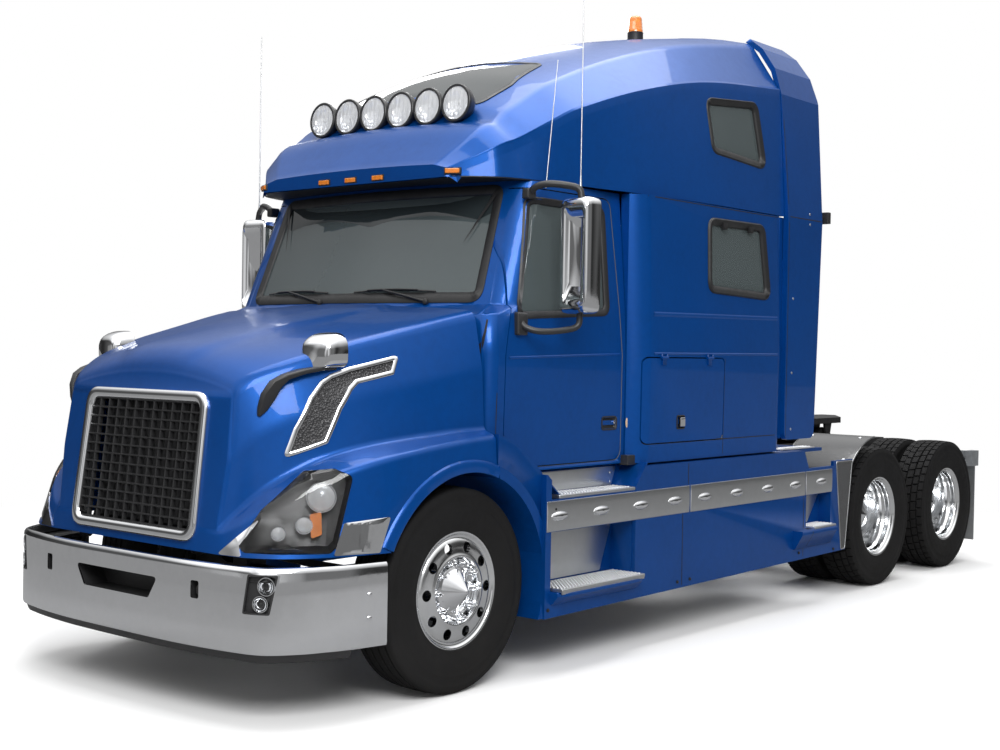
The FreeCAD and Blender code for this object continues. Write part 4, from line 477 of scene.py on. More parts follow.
class Form:
    """A mesh in the making, in truck coordinates."""

    def __init__(self) -> None:
        """Start empty."""
        self.mesh = bmesh.new()

    def loft(self, rows: Sequence[Sequence[Vector]], closed: bool = False, caps: bool = False) -> "Form":
        """Add quads between rows of points.

        Args:
            rows: Rows with the same number of points.
            closed: Whether each row's end joins its start.
            caps: Whether the first and the last row are filled.

        Returns:
            The form itself.
        """
        rings = [[self.mesh.verts.new(p) for p in row] for row in rows]
        count = len(rings[0])
        for a, b in zip(rings, rings[1:]):
            for k in range(count if closed else count - 1):
                n = (k + 1) % count
                self.mesh.faces.new((a[k], a[n], b[n], b[k]))
        if caps:
            self.mesh.faces.new(list(reversed(rings[0])))
            self.mesh.faces.new(rings[-1])
        return self

    def turned(self, profile: Sequence[Pair], centre: Sequence[float], aim: Sequence[float],
               steps: int = 48) -> "Form":
        """Add a turned shape from (distance along aim, radius) points.

        Args:
            profile: The points of the profile.
            centre: Where the distances start.
            aim: Direction of the axis.
            steps: Sides of the turned shape.

        Returns:
            The form itself.
        """
        axis = Vector(aim).normalized()
        u, v = across(axis)
        rows = []
        for k in range(steps + 1):
            angle = 2.0 * math.pi * k / steps
            out = u * math.cos(angle) + v * math.sin(angle)
            rows.append([Vector(centre) + axis * a + out * r for a, r in profile])
        return self.loft(rows)

    def tube(self, path: Sequence[Vector], radius: float | Sequence[float], sides: int = 12) -> "Form":
        """Add a round bar along a path, with one radius or one for each point.

        Args:
            path: The middle line.
            radius: One radius, or one for each point.
            sides: Sides of the section.

        Returns:
            The form itself.
        """
        points = [Vector(p) for p in path]
        count = len(points)
        radii = [radius] * count if isinstance(radius, (int, float)) else list(radius)
        ahead = (points[1] - points[0]).normalized()
        u, v = across(ahead)
        rows = []
        for k, point in enumerate(points):
            along = (points[min(k + 1, count - 1)] - points[max(k - 1, 0)]).normalized()
            turn = ahead.rotation_difference(along)
            u, v, ahead = turn @ u, turn @ v, along
            rows.append([point + (u * math.cos(2 * math.pi * s / sides)
                                  + v * math.sin(2 * math.pi * s / sides)) * radii[k] for s in range(sides)])
        return self.loft(rows, closed=True, caps=True)

    def slab(self, outline: Sequence[Sequence[float]], push: Sequence[float]) -> "Form":
        """Add a prism: an outline pushed along a vector."""
        first = [Vector(p) for p in outline]
        return self.loft([first, [p + Vector(push) for p in first]], closed=True, caps=True)

    def solid(self, rows: Sequence[Sequence[Vector]]) -> "Form":
        """Add a closed body lofted through rows of points."""
        return self.loft(rows, closed=True, caps=True)

    def block(self, low: Sequence[float], high: Sequence[float]) -> "Form":
        """Add a block between two corners."""
        (x0, y0, z0), (x1, y1, z1) = low, high
        return self.slab([(x0, y0, z0), (x1, y0, z0), (x1, y1, z0), (x0, y1, z0)], (0.0, 0.0, z1 - z0))

    def pad(self, low: Sequence[float], high: Sequence[float], round_by: float, segments: int = 2) -> "Form":
        """Add a block with rounded edges."""
        return self.join(Form().block(low, high).bevel(round_by, segments))

    def face(self, points: Sequence[Vector]) -> "Form":
        """Add one flat face."""
        self.mesh.faces.new([self.mesh.verts.new(p) for p in points])
        return self

    def tidy(self, gap: float = 1e-5, outward: bool = True) -> "Form":
        """Merge doubled points and turn the faces outwards.

        Args:
            gap: Points closer than this are merged.
            outward: Whether the faces are turned.

        Returns:
            The form itself.
        """
        bmesh.ops.remove_doubles(self.mesh, verts=self.mesh.verts[:], dist=gap)
        bmesh.ops.dissolve_degenerate(self.mesh, edges=self.mesh.edges[:], dist=gap)
        if outward:
            bmesh.ops.recalc_face_normals(self.mesh, faces=self.mesh.faces[:])
        return self

    def facing(self, way: Vector) -> "Form":
        """Turn an open skin so that its furthest face along a direction looks that way."""
        furthest = max(self.mesh.faces, key=lambda f: f.calc_center_median().dot(way))
        if furthest.normal.dot(way) < 0:
            bmesh.ops.reverse_faces(self.mesh, faces=self.mesh.faces[:])
        return self

    def bevel(self, width: float, segments: int = 2, angle: float = 30.0) -> "Form":
        """Round the edges that are sharper than an angle in degrees.

        Args:
            width: Width of the rounding.
            segments: Steps across it.
            angle: Sharpest bend that stays as it is.

        Returns:
            The form itself.
        """
        self.tidy()
        limit = math.radians(angle)
        edges = [e for e in self.mesh.edges if len(e.link_faces) == 2 and e.calc_face_angle(0.0) > limit]
        bmesh.ops.bevel(self.mesh, geom=edges, offset=width, segments=segments, profile=0.7, affect="EDGES",
                        clamp_overlap=True)
        return self

    def copy(self) -> "Form":
        """Return a copy."""
        twin = Form()
        twin.mesh.free()
        twin.mesh = self.mesh.copy()
        return twin

    def moved(self, matrix: Matrix) -> "Form":
        """Return a copy moved by a matrix."""
        twin = self.copy()
        bmesh.ops.transform(twin.mesh, matrix=matrix, verts=twin.mesh.verts[:])
        if matrix.determinant() < 0:
            bmesh.ops.reverse_faces(twin.mesh, faces=twin.mesh.faces[:])
        return twin

    def on(self, side: Side) -> "Form":
        """Return a copy on one side of the truck, drawn on the left."""
        return self.moved(Matrix.Diagonal((float(side.value), 1.0, 1.0, 1.0)))

    def join(self, other: "Form") -> "Form":
        """Add a copy of another form."""
        spare = bpy.data.meshes.new("spare")
        other.mesh.to_mesh(spare)
        self.mesh.from_mesh(spare)
        bpy.data.meshes.remove(spare)
        return self

    def both(self) -> "Form":
        """Return the form with its mirror image."""
        return self.on(Side.LEFT).join(self.on(Side.RIGHT))

    def tree(self) -> BVHTree:
        """Return a search tree of the faces."""
        return BVHTree.FromBMesh(self.mesh)

    def raw(self, name: str) -> bpy.types.Object:
        """Return the form as an object, still in truck coordinates."""
        mesh = bpy.data.meshes.new(name)
        self.mesh.to_mesh(mesh)
        item = bpy.data.objects.new(name, mesh)
        bpy.context.scene.collection.objects.link(item)
        return item


def drop(item: bpy.types.Object) -> None:
    """Delete an object and its mesh."""
    mesh = item.data
    bpy.data.objects.remove(item)
    if mesh is not None and mesh.users == 0:
        bpy.data.meshes.remove(mesh)


def apply_modifiers(item: bpy.types.Object) -> None:
    """Turn an object's modifiers into plain mesh."""
    graph = bpy.context.evaluated_depsgraph_get()
    result = bpy.data.meshes.new_from_object(item.evaluated_get(graph), preserve_all_data_layers=True,
                                             depsgraph=graph)
    old = item.data
    item.modifiers.clear()
    item.data = result
    if old.users == 0:
        bpy.data.meshes.remove(old)


def from_object(item: bpy.types.Object) -> Form:
    """Return an object's mesh as a form, and delete the object."""
    form = Form()
    form.mesh.from_mesh(item.data)
    drop(item)
    return form


def cut(form: Form, *cutters: Form, keep: bool = False) -> Form:
    """Boolean of closed forms.

    Args:
        form: What is cut.
        cutters: What is taken away, or kept in common.
        keep: True keeps the common part.

    Returns:
        The result.
    """
    base = form.raw("cut_base")
    tools = [tool.raw("cut_tool") for tool in cutters]
    for tool in tools:
        modifier = base.modifiers.new("cut", "BOOLEAN")
        modifier.operation = "INTERSECT" if keep else "DIFFERENCE"
        modifier.solver = "EXACT"
        modifier.object = tool
    apply_modifiers(base)
    for tool in tools:
        drop(tool)
    return from_object(base)


def walled(form: Form, thickness: float) -> Form:
    """Return an open skin with a wall grown against its normals.

    Args:
        form: The open skin.
        thickness: Thickness of the wall.

    Returns:
        The closed form.
    """
    item = form.raw("wall")
    modifier = item.modifiers.new("wall", "SOLIDIFY")
    modifier.thickness = thickness
    modifier.offset = -1.0
    modifier.use_even_offset = True
    apply_modifiers(item)
    return from_object(item)


def place(form: Form, name: str, finish: Finish, body: str, nodes: Sequence[str] = (), *,
          angle: float = 32.0, bevel: float = 0.0, inside: Finish | None = None,
          heart: Sequence[float] = (0.0, 1.4, 1.9), tidy: bool = True) -> bpy.types.Object:
    """Make a finished piece of a form.

    Args:
        form: The piece in truck coordinates.
        name: Name of the piece.
        finish: Its finish.
        body: The CAD body it rides on.
        nodes: CAD nodes that it stands for.
        angle: Edges sharper than this many degrees shade as edges.
        bevel: Width of a rounding on sharp edges.
        inside: Finish of the faces that look towards the heart.
        heart: A point inside a hollow piece.
        tidy: Whether doubled points are merged and faces turned outwards.

    Returns:
        The new object.
    """
    if tidy:
        form.tidy()
    item = form.raw(name)
    mesh = item.data
    mesh.materials.append(finish.material())
    if inside is not None:
        mesh.materials.append(inside.material())
        middle = Vector(heart)
        for face in mesh.polygons:
            towards = Vector((0.0, middle.y, middle.z)) - face.center
            towards.x = -face.center.x
            face.material_index = 1 if face.normal.dot(towards) > 0.15 * towards.length else 0
    if bevel:
        modifier = item.modifiers.new("edges", "BEVEL")
        modifier.width = bevel
        modifier.segments = 2
        modifier.limit_method = "ANGLE"
        modifier.angle_limit = math.radians(angle)
        modifier.use_clamp_overlap = False
        modifier.miter_outer = "MITER_ARC"
        apply_modifiers(item)
    mesh = item.data
    mesh.transform(Matrix.Translation(AXLE))
    mesh.polygons.foreach_set("use_smooth", [True] * len(mesh.polygons))
    mesh.set_sharp_from_angle(angle=math.radians(angle))
    if bevel:
        modifier = item.modifiers.new("normals", "WEIGHTED_NORMAL")
        modifier.keep_sharp = True
        apply_modifiers(item)
    mesh = item.data
    mesh.name = name
    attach(item, body)
    if nodes:
        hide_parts(*nodes)
    log.info("%s: %d faces on %s", name, len(mesh.polygons), body)
    return item


def node_form(node: str) -> Form:
    """Return a CAD node's mesh as a merged form in truck coordinates."""
    form = Form()
    form.mesh.from_mesh(frame["nodes"][node].data)
    bmesh.ops.transform(form.mesh, matrix=Matrix.Translation(-AXLE), verts=form.mesh.verts[:])
    bmesh.ops.remove_doubles(form.mesh, verts=form.mesh.verts[:], dist=2e-5)
    bmesh.ops.dissolve_limit(form.mesh, angle_limit=math.radians(0.4), verts=form.mesh.verts[:],
                             edges=form.mesh.edges[:])
    return form


def body_of(node: str) -> str:
    """Return the body that carries a CAD node."""
    return next(name for name, nodes in frame["record"]["behaviour"]["bodies"].items() if node in nodes)


def carry(node: str, name: str, finish: Finish, **options: object) -> bpy.types.Object:
    """Stand a copy of a CAD node in its place.

    Args:
        node: The CAD node.
        name: Name of the piece.
        finish: Its finish.
        options: Further options of place.

    Returns:
        The new object.
    """
    return place(node_form(node), name, finish, body_of(node), [node], tidy=False, **options)


@dataclass
class Drape:
    """Lays flat outlines onto a surface, along one direction."""

    tree: BVHTree
    origin: Triple
    u: Triple
    v: Triple

    @property
    def aim(self) -> Vector:
        """Direction in which points are cast."""
        return Vector(self.u).cross(Vector(self.v)).normalized()

    def spot(self, point: Sequence[float], lift: float = 0.0) -> Vector:
        """Return where a flat point lands, lifted off the surface.

        Args:
            point: The flat point.
            lift: Height over the surface.

        Returns:
            The point in space.
        """
        start = Vector(self.origin) + Vector(self.u) * point[0] + Vector(self.v) * point[1]
        hit, normal, _, _ = self.tree.ray_cast(start, self.aim)
        if hit is None:
            hit, normal, _, _ = self.tree.find_nearest(start + self.aim * 0.3)
        if normal.dot(self.aim) > 0:
            normal = -normal
        return hit + normal * lift

    def patch(self, outline: Sequence[Sequence[float]], lift: float, gap: float = 0.03) -> Form:
        """Return a filled patch over an outline.

        Args:
            outline: Flat points of the edge.
            lift: Height over the surface.
            gap: Distance between the points inside.

        Returns:
            The open patch.
        """
        edge = [Vector((p[0], p[1])) for p in outline]
        count = len(edge)
        low = Vector((min(p.x for p in edge), min(p.y for p in edge)))
        high = Vector((max(p.x for p in edge), max(p.y for p in edge)))
        inner = []
        for i in range(1, int((high.x - low.x) / gap)):
            for j in range(1, int((high.y - low.y) / gap)):
                inner.append(low + Vector((i * gap, j * gap)))
        verts, _, faces, _, _, _ = delaunay_2d_cdt(edge + inner, [], [list(range(count))], 1, gap * 0.02)
        form = Form()
        points = [form.mesh.verts.new(self.spot(p, lift)) for p in verts]
        for face in faces:
            if len(set(face)) == 3:
                form.mesh.faces.new([points[k] for k in face])
        loose = [p for p in form.mesh.verts if not p.link_faces]
        bmesh.ops.delete(form.mesh, geom=loose, context="VERTS")
        self.turn(form)
        return form

    def turn(self, form: Form) -> None:
        """Turn a patch's faces against the casting direction."""
        form.mesh.normal_update()
        back = [f for f in form.mesh.faces if f.normal.dot(self.aim) > 0]
        bmesh.ops.reverse_faces(form.mesh, faces=back)

    def rings(self, outline: Sequence[Sequence[float]], steps: Sequence[Pair], radius: float = 0.0) -> Form:
        """Add bands round an outline.

        Args:
            outline: Corner points of the flat outline.
            steps: (growth, lift) of each ring.
            radius: Corner radius of the outline.

        Returns:
            A form with the bands between the rings.
        """
        rows = []
        for growth, lift in steps:
            edge = rounded(grown(outline, growth), max(radius + growth, 0.003), CORNER_STEPS)
            rows.append([self.spot(p, lift) for p in divided(edge)])
        return Form().loft(rows, closed=True)


def divided(line: Sequence[Vector]) -> list[Vector]:
    """Return a rounded outline with the sides between its corners cut into pieces."""
    result = []
    count = len(line)
    for k in range(count):
        start, end = line[k], line[(k + 1) % count]
        parts = SIDE_PARTS if k % (CORNER_STEPS + 1) == CORNER_STEPS else 1
        result += [start.lerp(end, s / parts) for s in range(parts)]
    return result


# Geometry Nodes for what repeats


class Repeat(Enum):
    """Rules by which an element is repeated."""

    RING = "ring"
    ROWS = "rows"
    SPOTS = "spots"


class Repeater:
    """Builds Geometry Nodes trees that repeat an element and end in plain mesh."""

    trees: dict[Repeat, bpy.types.GeometryNodeTree] = {}

    @classmethod
    def tree(cls, rule: Repeat) -> bpy.types.GeometryNodeTree:
        """Return the tree of a rule, made on first use."""
        if rule not in cls.trees:
            cls.trees[rule] = cls.build(rule)
        return cls.trees[rule]

    @classmethod
    def build(cls, rule: Repeat) -> bpy.types.GeometryNodeTree:
        """Build a rule's tree.

        Args:
            rule: How the element is repeated.

        Returns:
            The tree, which ends in plain mesh.
        """
        tree = bpy.data.node_groups.new("repeat_" + rule.value, "GeometryNodeTree")
        face = tree.interface
        face.new_socket("Geometry", in_out="INPUT", socket_type="NodeSocketGeometry")
        face.new_socket("Element", in_out="INPUT", socket_type="NodeSocketObject")
        face.new_socket("Finish", in_out="INPUT", socket_type="NodeSocketMaterial")
        for name in ("Count", "Rows"):
            face.new_socket(name, in_out="INPUT", socket_type="NodeSocketInt")
        for name in ("Step", "Row Step", "Stagger"):
            face.new_socket(name, in_out="INPUT", socket_type="NodeSocketVector")
        face.new_socket("Geometry", in_out="OUTPUT", socket_type="NodeSocketGeometry")
        add, link = tree.nodes.new, tree.links.new
        given = add("NodeGroupInput").outputs
        info = add("GeometryNodeObjectInfo")
        link(given["Element"], info.inputs["Object"])
        stand = add("GeometryNodeInstanceOnPoints")
        link(info.outputs["Geometry"], stand.inputs["Instance"])
        if rule is Repeat.SPOTS:
            link(given["Geometry"], stand.inputs["Points"])
            aim = add("GeometryNodeInputNamedAttribute")
            aim.data_type = "FLOAT_VECTOR"
            aim.inputs["Name"].default_value = "aim"
            turn = add("FunctionNodeAlignRotationToVector")
            turn.axis = "Z"
            link(aim.outputs[0], turn.inputs["Vector"])
            link(turn.outputs[0], stand.inputs["Rotation"])
        else:
            cls.lay_points(tree, rule, given, stand)
        real = add("GeometryNodeRealizeInstances")
        link(stand.outputs[0], real.inputs[0])
        dress = add("GeometryNodeSetMaterial")
        link(real.outputs[0], dress.inputs["Geometry"])
        link(given["Finish"], dress.inputs["Material"])
        link(dress.outputs[0], add("NodeGroupOutput").inputs[0])
        return tree

    @staticmethod
    def lay_points(tree: bpy.types.GeometryNodeTree, rule: Repeat, given: object,
                   stand: bpy.types.Node) -> None:
        """Add the points of a ring or of rows to a tree.

        Args:
            tree: The tree.
            rule: Ring or rows.
            given: Outputs of the tree's group input.
            stand: The node that stands the element on the points.
        """
        add, link = tree.nodes.new, tree.links.new

        def math_node(kind: str, first: object, second: object) -> bpy.types.NodeSocket:
            """Return the result of one sum.

            Args:
                kind: The node's operation.
                first: First number or socket.
                second: Second one.

            Returns:
                The result's socket.
            """
            node = add("ShaderNodeMath")
            node.operation = kind
            for socket, value in zip(node.inputs, (first, second)):
                if isinstance(value, bpy.types.NodeSocket):
                    link(value, socket)
                else:
                    socket.default_value = value
            return node.outputs[0]

        def scaled(vector: bpy.types.NodeSocket, by: bpy.types.NodeSocket) -> bpy.types.NodeSocket:
            """Return a vector times a number."""
            node = add("ShaderNodeVectorMath")
            node.operation = "SCALE"
            link(vector, node.inputs[0])
            link(by, node.inputs["Scale"])
            return node.outputs[0]

        index = add("GeometryNodeInputIndex").outputs[0]
        points = add("GeometryNodePoints")
        link(points.outputs[0], stand.inputs["Points"])
        if rule is Repeat.RING:
            link(given["Count"], points.inputs["Count"])
            turn = add("ShaderNodeCombineXYZ")
            full = math_node("DIVIDE", 2.0 * math.pi, given["Count"])
            link(math_node("MULTIPLY", index, full), turn.inputs[0])
            link(turn.outputs[0], stand.inputs["Rotation"])
            return
        link(math_node("MULTIPLY", given["Count"], given["Rows"]), points.inputs["Count"])
        row = math_node("FLOOR", math_node("DIVIDE", index, given["Count"]), 0.0)
        column = math_node("MODULO", index, given["Count"])
        total = scaled(given["Step"], column)
        for vector, by in ((given["Row Step"], row), (given["Stagger"], math_node("MODULO", row, 2.0))):
            plus = add("ShaderNodeVectorMath")
            plus.operation = "ADD"
            link(total, plus.inputs[0])
            link(scaled(vector, by), plus.inputs[1])
            total = plus.outputs[0]
        link(total, points.inputs["Position"])

    @classmethod
    def run(cls, rule: Repeat, element: Form, finish: Finish, base: Form | None = None,
            **values: object) -> Form:
        """Repeat an element.

        Args:
            rule: How it is repeated.
            element: What is repeated.
            finish: Finish of the result.
            base: Points to stand on, for spots.
            values: Inputs of the tree by name, with _ for a space.

        Returns:
            The realized result as a form.
        """
        source = element.raw("element")
        host = (base or Form()).raw("host")
        tree = cls.tree(rule)
        modifier = host.modifiers.new("repeat", "NODES")
        modifier.node_group = tree
        values = {"Element": source, "Finish": finish.material(), **values}
        for socket in tree.interface.items_tree:
            key = socket.name.replace(" ", "_")
            if socket.in_out == "INPUT" and key in values:
                modifier[socket.identifier] = values[key]
        apply_modifiers(host)
        result = from_object(host)
        drop(source)
        return result


def ring(element: Form, count: int, centre: Sequence[float], finish: Finish) -> Form:
    """Return an element, drawn about the X axis, repeated round a centre."""
    form = Repeater.run(Repeat.RING, element, finish, Count=count)
    return form.moved(Matrix.Translation(Vector(centre)))


def rows(element: Form, finish: Finish, count: int, step: Triple, lines: int = 1, row_step: Triple = ORIGIN,
         stagger: Triple = ORIGIN) -> Form:
    """Return an element repeated in rows."""
    return Repeater.run(Repeat.ROWS, element, finish, Count=count, Rows=lines, Step=step, Row_Step=row_step,
                        Stagger=stagger)


def spots(element: Form, finish: Finish, places: Sequence[tuple[Sequence[float], Sequence[float]]]) -> Form:
    """Return an element, drawn about the Z axis, stood at points with directions.

    Args:
        element: What is repeated.
        finish: Finish of the result.
        places: Points with the directions in which the element's Z axis looks.

    Returns:
        The repeated form.
    """
    base = Form()
    layer = base.mesh.verts.layers.float_vector.new("aim")
    for point, aim in places:
        vert = base.mesh.verts.new(Vector(point))
        vert[layer] = Vector(aim).normalized()
    return Repeater.run(Repeat.SPOTS, element, finish, base)


# Studio


@dataclass
class Studio:
    """Floor, world, lamps and camera."""

    azimuth: float = 39.898
    pitch: float = -1.043
    roll: float = 0.959
    lens: float = 50.69
    eye: Triple = (5.789, -5.251, 1.726)
    floor_half: float = 60.0
    fade_start: float = 4.5
    fade_end: float = 7.6
    sky_light: float = 0.6
    near_shade: float = 0.94
    mirrored_shade: float = 0.26
    far_glow: float = 0.3
    wall_glow: Pair = (0.4, 0.6)
    sky_glow: Pair = (0.22, 0.75)

    def camera(self) -> None:
        """Set the camera where the photograph was taken."""
        a, p, r = (math.radians(v) for v in (self.azimuth, self.pitch, self.roll))
        forward = Vector((-math.sin(a) * math.cos(p), math.cos(a) * math.cos(p), math.sin(p)))
        right = Vector((math.cos(a), math.sin(a), 0.0))
        up = right.cross(forward)
        right, up = math.cos(r) * right + math.sin(r) * up, math.cos(r) * up - math.sin(r) * right
        turn = Matrix((right, up, -forward)).transposed()
        data = bpy.data.cameras.new("photo_camera")
        data.lens = self.lens
        data.sensor_width = 36.0
        data.clip_end = 300.0
        item = bpy.data.objects.new("photo_camera", data)
        item.matrix_world = Matrix.Translation(Vector(self.eye) + AXLE) @ turn.to_4x4()
        bpy.context.scene.collection.objects.link(item)
        bpy.context.scene.camera = item

    def floor(self) -> None:
        """Lay the pale floor, which fades into the backdrop."""
        h = self.floor_half
        mesh = bpy.data.meshes.new("studio_floor")
        mesh.from_pydata([(-h, -h, 0.0), (h, -h, 0.0), (h, h, 0.0), (-h, h, 0.0)], [], [(0, 1, 2, 3)])
        item = bpy.data.objects.new("studio_floor", mesh)
        bpy.context.scene.collection.objects.link(item)
        made = bpy.data.materials.new("studio_floor_finish")
        made.use_nodes = True
        desk = NodeDesk(made.node_tree)
        place_out = desk.add("ShaderNodeTexCoord").outputs["Object"]
        away = desk.add("ShaderNodeVectorMath", {"operation": "LENGTH"}, i0=place_out).outputs["Value"]
        share = desk.span(away, 0.0, 1.0, self.fade_start, self.fade_end)
        mirrored = desk.add("ShaderNodeLightPath").outputs["Is Glossy Ray"]
        shade = desk.blend(mirrored, tint(WHITE, self.near_shade), tint(WHITE, self.mirrored_shade))
        near = desk.add("ShaderNodeBsdfDiffuse", Color=shade).outputs[0]
        seen = desk.add("ShaderNodeLightPath").outputs["Is Camera Ray"]
        glow = desk.span(seen, self.far_glow, 1.0)
        far = desk.add("ShaderNodeEmission", Color=WHITE, Strength=glow).outputs[0]
        mixed = desk.add("ShaderNodeMixShader", i0=share, i1=near, i2=far).outputs[0]
        desk.add("ShaderNodeOutputMaterial", Surface=mixed)
        mesh.materials.append(made)

    def world(self) -> None:
        """Light the room evenly, with a white backdrop in view and a darker room in reflections."""
        world = bpy.data.worlds.new("studio_world")
        bpy.context.scene.world = world
        world.use_nodes = True
        desk = NodeDesk(world.node_tree)
        rays = desk.add("ShaderNodeLightPath").outputs
        seen = rays["Is Camera Ray"]
        for name in ("Is Glossy Ray", "Is Transmission Ray"):
            seen = desk.add("ShaderNodeMath", {"operation": "MAXIMUM"}, i0=seen, i1=rays[name]).outputs[0]
        place_out = desk.add("ShaderNodeTexCoord").outputs["Generated"]
        sides = desk.add("ShaderNodeSeparateXYZ", Vector=place_out).outputs
        broad = desk.add("ShaderNodeTexNoise", Vector=place_out, Scale=1.6, Detail=1.0).outputs[0]
        walls = desk.times(desk.span(broad, 0.15, 1.0, *self.wall_glow),
                           desk.span(sides[1], 0.95, 0.16, -0.95, -0.2))
        sky = desk.span(sides[2], 0.0, 1.35, *self.sky_glow)
        dim = desk.add("ShaderNodeMath", {"operation": "ADD"}, i0=walls, i1=sky).outputs[0]
        plain = desk.add("ShaderNodeBackground", Color=WHITE, Strength=self.sky_light).outputs[0]
        straight = desk.add("ShaderNodeMath", {"operation": "MAXIMUM"}, i0=rays["Is Camera Ray"],
                            i1=rays["Is Transmission Ray"]).outputs[0]
        strength = desk.add("ShaderNodeMix", {"data_type": "FLOAT"}, i0=straight, i2=dim, i3=1.0).outputs[0]
        shown = desk.add("ShaderNodeBackground", Color=WHITE, Strength=strength).outputs[0]
        mixed = desk.add("ShaderNodeMixShader", i0=seen, i1=plain, i2=shown).outputs[0]
        desk.add("ShaderNodeOutputWorld", Surface=mixed)

    def lamp(self, name: str, spot: Triple, target: Triple, size: Pair, power: float) -> None:
        """Hang one soft lamp.

        Args:
            name: Name of the lamp.
            spot: Where it hangs.
            target: What it looks at.
            size: Width and height of the lamp.
            power: Its power in watts.
        """
        data = bpy.data.lights.new(name, "AREA")
        data.shape = "RECTANGLE"
        data.size, data.size_y = size
        data.energy = power
        item = bpy.data.objects.new(name, data)
        item.location = Vector(spot) + AXLE
        item.rotation_euler = (Vector(target) - Vector(spot)).to_track_quat("-Z", "Y").to_euler()
        bpy.context.scene.collection.objects.link(item)

    def build(self) -> None:
        """Set up the whole studio."""
        self.camera()
        self.floor()
        self.world()
        self.lamp("key_lamp", (7.5, -5.5, 7.5), (0.0, 2.0, 1.4), (5.0, 5.0), 980.0)
        self.lamp("top_lamp", (0.0, 2.5, 9.5), (0.0, 2.5, 0.0), (6.0, 10.0), 760.0)
        self.lamp("back_lamp", (-7.0, 8.0, 6.0), (0.0, 3.0, 1.5), (4.0, 4.0), 360.0)
        bpy.context.scene.view_settings.view_transform = "Standard"


# Wheels


def holed(disc: Form, count: int, circle: float, radius: float, start: float, deep: float,
          steps: int) -> Form:
    """Cut round holes through a wheel disc.

    Args:
        disc: The disc, turned about the X axis.
        count: How many holes.
        circle: Radius of the circle that they stand on.
        radius: Radius of each hole.
        start: Where the cut starts along X.
        deep: How far it goes.
        steps: Sides of each hole.

    Returns:
        The disc with its holes.
    """
    cutters = Form()
    for k in range(count):
        turn = 2.0 * math.pi * k / count
        spot = (start, circle * math.cos(turn), circle * math.sin(turn))
        cutters.join(Form().turned([(0.0, 0.0), (0.0, radius), (deep, radius), (deep, 0.0)], spot, ALONG_X,
                                   steps).tidy())
    return cut(disc, cutters)


class Tread(Enum):
    """Tread patterns of the tyres."""

    RIBS = "ribs"
    BLOCKS = "blocks"


